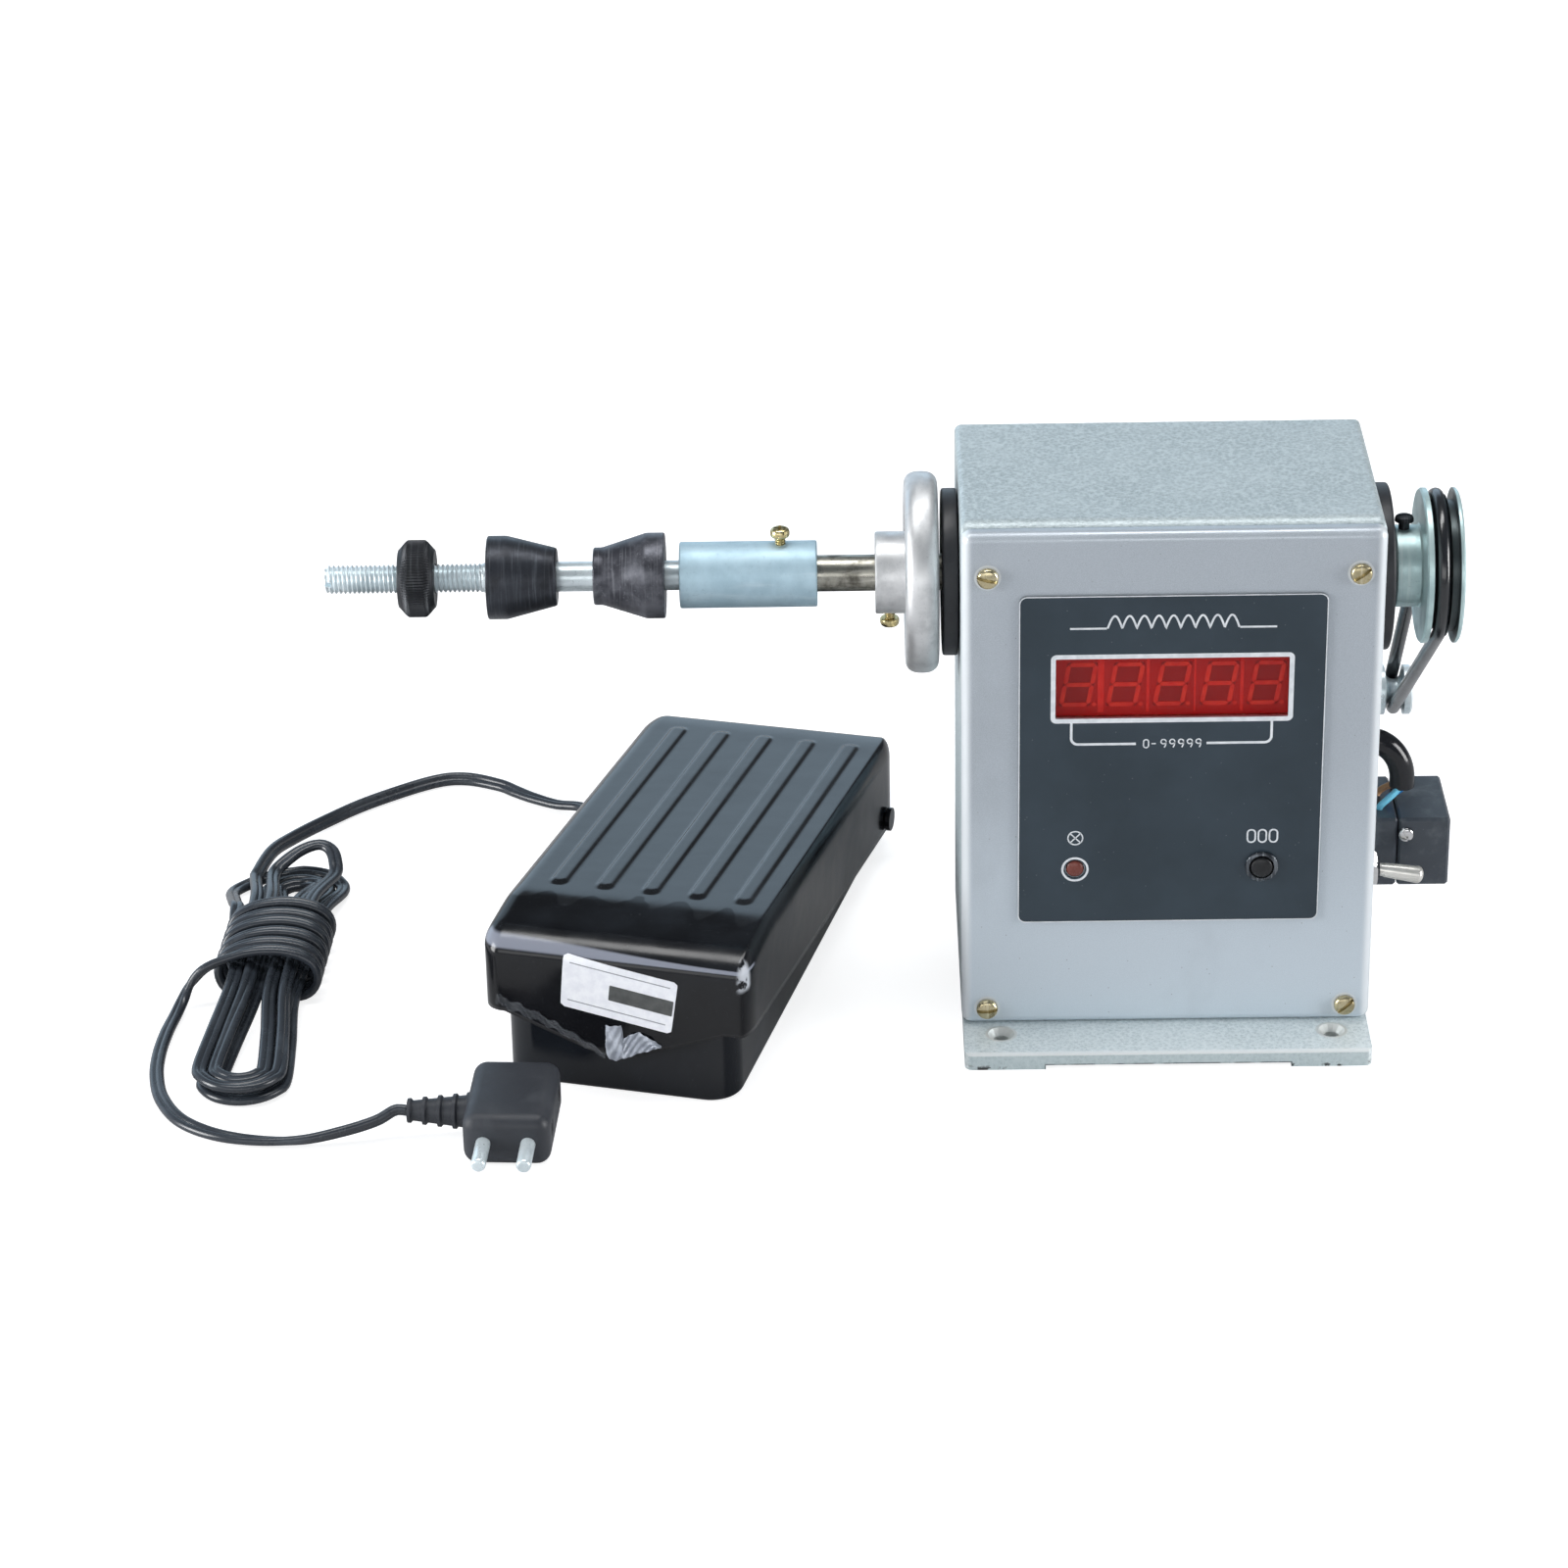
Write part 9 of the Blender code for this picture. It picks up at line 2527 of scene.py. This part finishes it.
@dataclass
class Studio:
    """Pale floor, soft lamps, even surroundings and the photograph's camera."""

    lens: float = 109.13
    sensor: float = 36.0
    camera_place: Point = (-0.08523, -1.21888, 0.66051)
    camera_right: Point = (0.9998, 0.00764, -0.01794)
    camera_up: Point = (0.01257, 0.45089, 0.89244)
    camera_forward: Point = (-0.0149, 0.8925, -0.4507)
    dim_level: Colour = (0.15, 0.165, 0.18)
    backdrop_level: Colour = (0.82, 1.06, 1.28)
    backdrop_x: Band = (0.12, 0.36)
    backdrop_y: Band = (0.25, 0.6)
    backdrop_z: Band = (0.40, 0.52)
    floor_colour: Colour = (0.52, 0.52, 0.53)
    floor_level: float = 0.8
    floor_in_gloss: float = 0.12

    def make_camera(self) -> None:
        """Put the camera where the photograph's was."""
        data = bpy.data.cameras.new("photo_camera")
        data.lens = self.lens
        data.sensor_width = self.sensor
        data.clip_start = 0.01
        camera = bpy.data.objects.new("photo_camera", data)
        columns = np.stack([self.camera_right, self.camera_up, -np.array(self.camera_forward)], axis=1)
        camera.matrix_world = Matrix.Translation(self.camera_place) @ Matrix(columns.tolist()).to_4x4()
        bpy.context.scene.collection.objects.link(camera)
        bpy.context.scene.camera = camera

    def make_floor(self) -> None:
        """Pale floor that glows for the camera, faintly in reflections, and reflects the lamps' light."""
        mesh = bpy.data.meshes.new("studio_floor")
        corners = np.array([[-4.0, -4.0, 0.0], [4.0, -4.0, 0.0], [4.0, 6.0, 0.0], [-4.0, 6.0, 0.0]])
        mesh.from_pydata(corners.tolist(), [], [(0, 1, 2, 3)])
        floor = bpy.data.objects.new("studio_floor", mesh)
        bpy.context.scene.collection.objects.link(floor)
        graph = ShaderGraph("floor_white", self.floor_colour, 0.9, Specular_IOR_Level=0.0,
                            Emission_Color=(1.0, 1.0, 1.0, 1.0))
        rays = graph.node("ShaderNodeLightPath").outputs
        seen = graph.maths("MAXIMUM", rays["Is Camera Ray"], rays["Is Transmission Ray"])
        seen = graph.maths("ADD", graph.times(rays["Is Glossy Ray"], self.floor_in_gloss), seen)
        graph.fill(graph.shader, Emission_Strength=graph.times(seen, self.floor_level))
        mesh.materials.append(graph.material)

    def make_world(self) -> None:
        """Dim surroundings with one bright low backdrop behind the machine.

        The backdrop's share is the product of three smooth steps along the axes of each direction.
        """
        world = bpy.data.worlds.new("studio_world")
        bpy.context.scene.world = world
        graph = NodeGraph(world)
        place = graph.node("ShaderNodeTexCoord").outputs["Generated"]
        share = graph.times(graph.span(graph.axis(place, "Y"), *self.backdrop_y),
                            graph.span(graph.axis(place, "Z"), *self.backdrop_z, 1.0, 0.0),
                            graph.span(graph.axis(place, "X"), *self.backdrop_x, 1.0, 0.0))
        graph.fill(graph.nodes["Background"], Color=graph.blend(share, self.dim_level, self.backdrop_level))

    def make_lamp(self, name: str, place: Point, aim: Point, size: tuple[float, float], power: float) -> None:
        """One soft rectangular lamp.

        Args:
            name: Lamp name.
            place: Where it stands.
            aim: Point that it faces.
            size: Its two sides.
            power: Its power in watts.
        """
        data = bpy.data.lights.new(name, "AREA")
        data.shape = "RECTANGLE"
        data.size, data.size_y = size
        data.energy = power
        lamp = bpy.data.objects.new(name, data)
        lamp.location = place
        lamp.rotation_euler = (Vector(aim) - Vector(place)).to_track_quat("-Z", "Y").to_euler()
        bpy.context.scene.collection.objects.link(lamp)

    def build(self) -> None:
        """Make the studio."""
        self.make_camera()
        self.make_floor()
        self.make_world()
        aim = (-0.06, -0.02, 0.06)
        self.make_lamp("front_strip", (-0.3, -1.7, 0.5), aim, (2.2, 0.5), 7.0)
        self.make_lamp("left_softbox", (-1.3, -0.4, 0.35), aim, (0.6, 0.7), 16.0)
        self.make_lamp("right_softbox", (1.3, -0.36, 0.35), aim, (0.6, 0.7), 14.0)
        self.make_lamp("top_softbox", (-0.1, 0.12, 1.6), aim, (1.4, 0.42), 14.0)
        bpy.context.scene.view_settings.view_transform = "Standard"


def main() -> None:
    """Build the scene in order: camera and cord first, then the machine from its case outwards."""
    logging.basicConfig(level=logging.INFO, format="%(message)s")
    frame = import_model()
    WARDROBE.nodes = frame["nodes"]
    for part in (Studio, PedalCord, Case, CounterPanel, SpindleLine, BeltDrive, SideFittings, FootPedal):
        part().build()


if __name__ == "__main__":
    main()
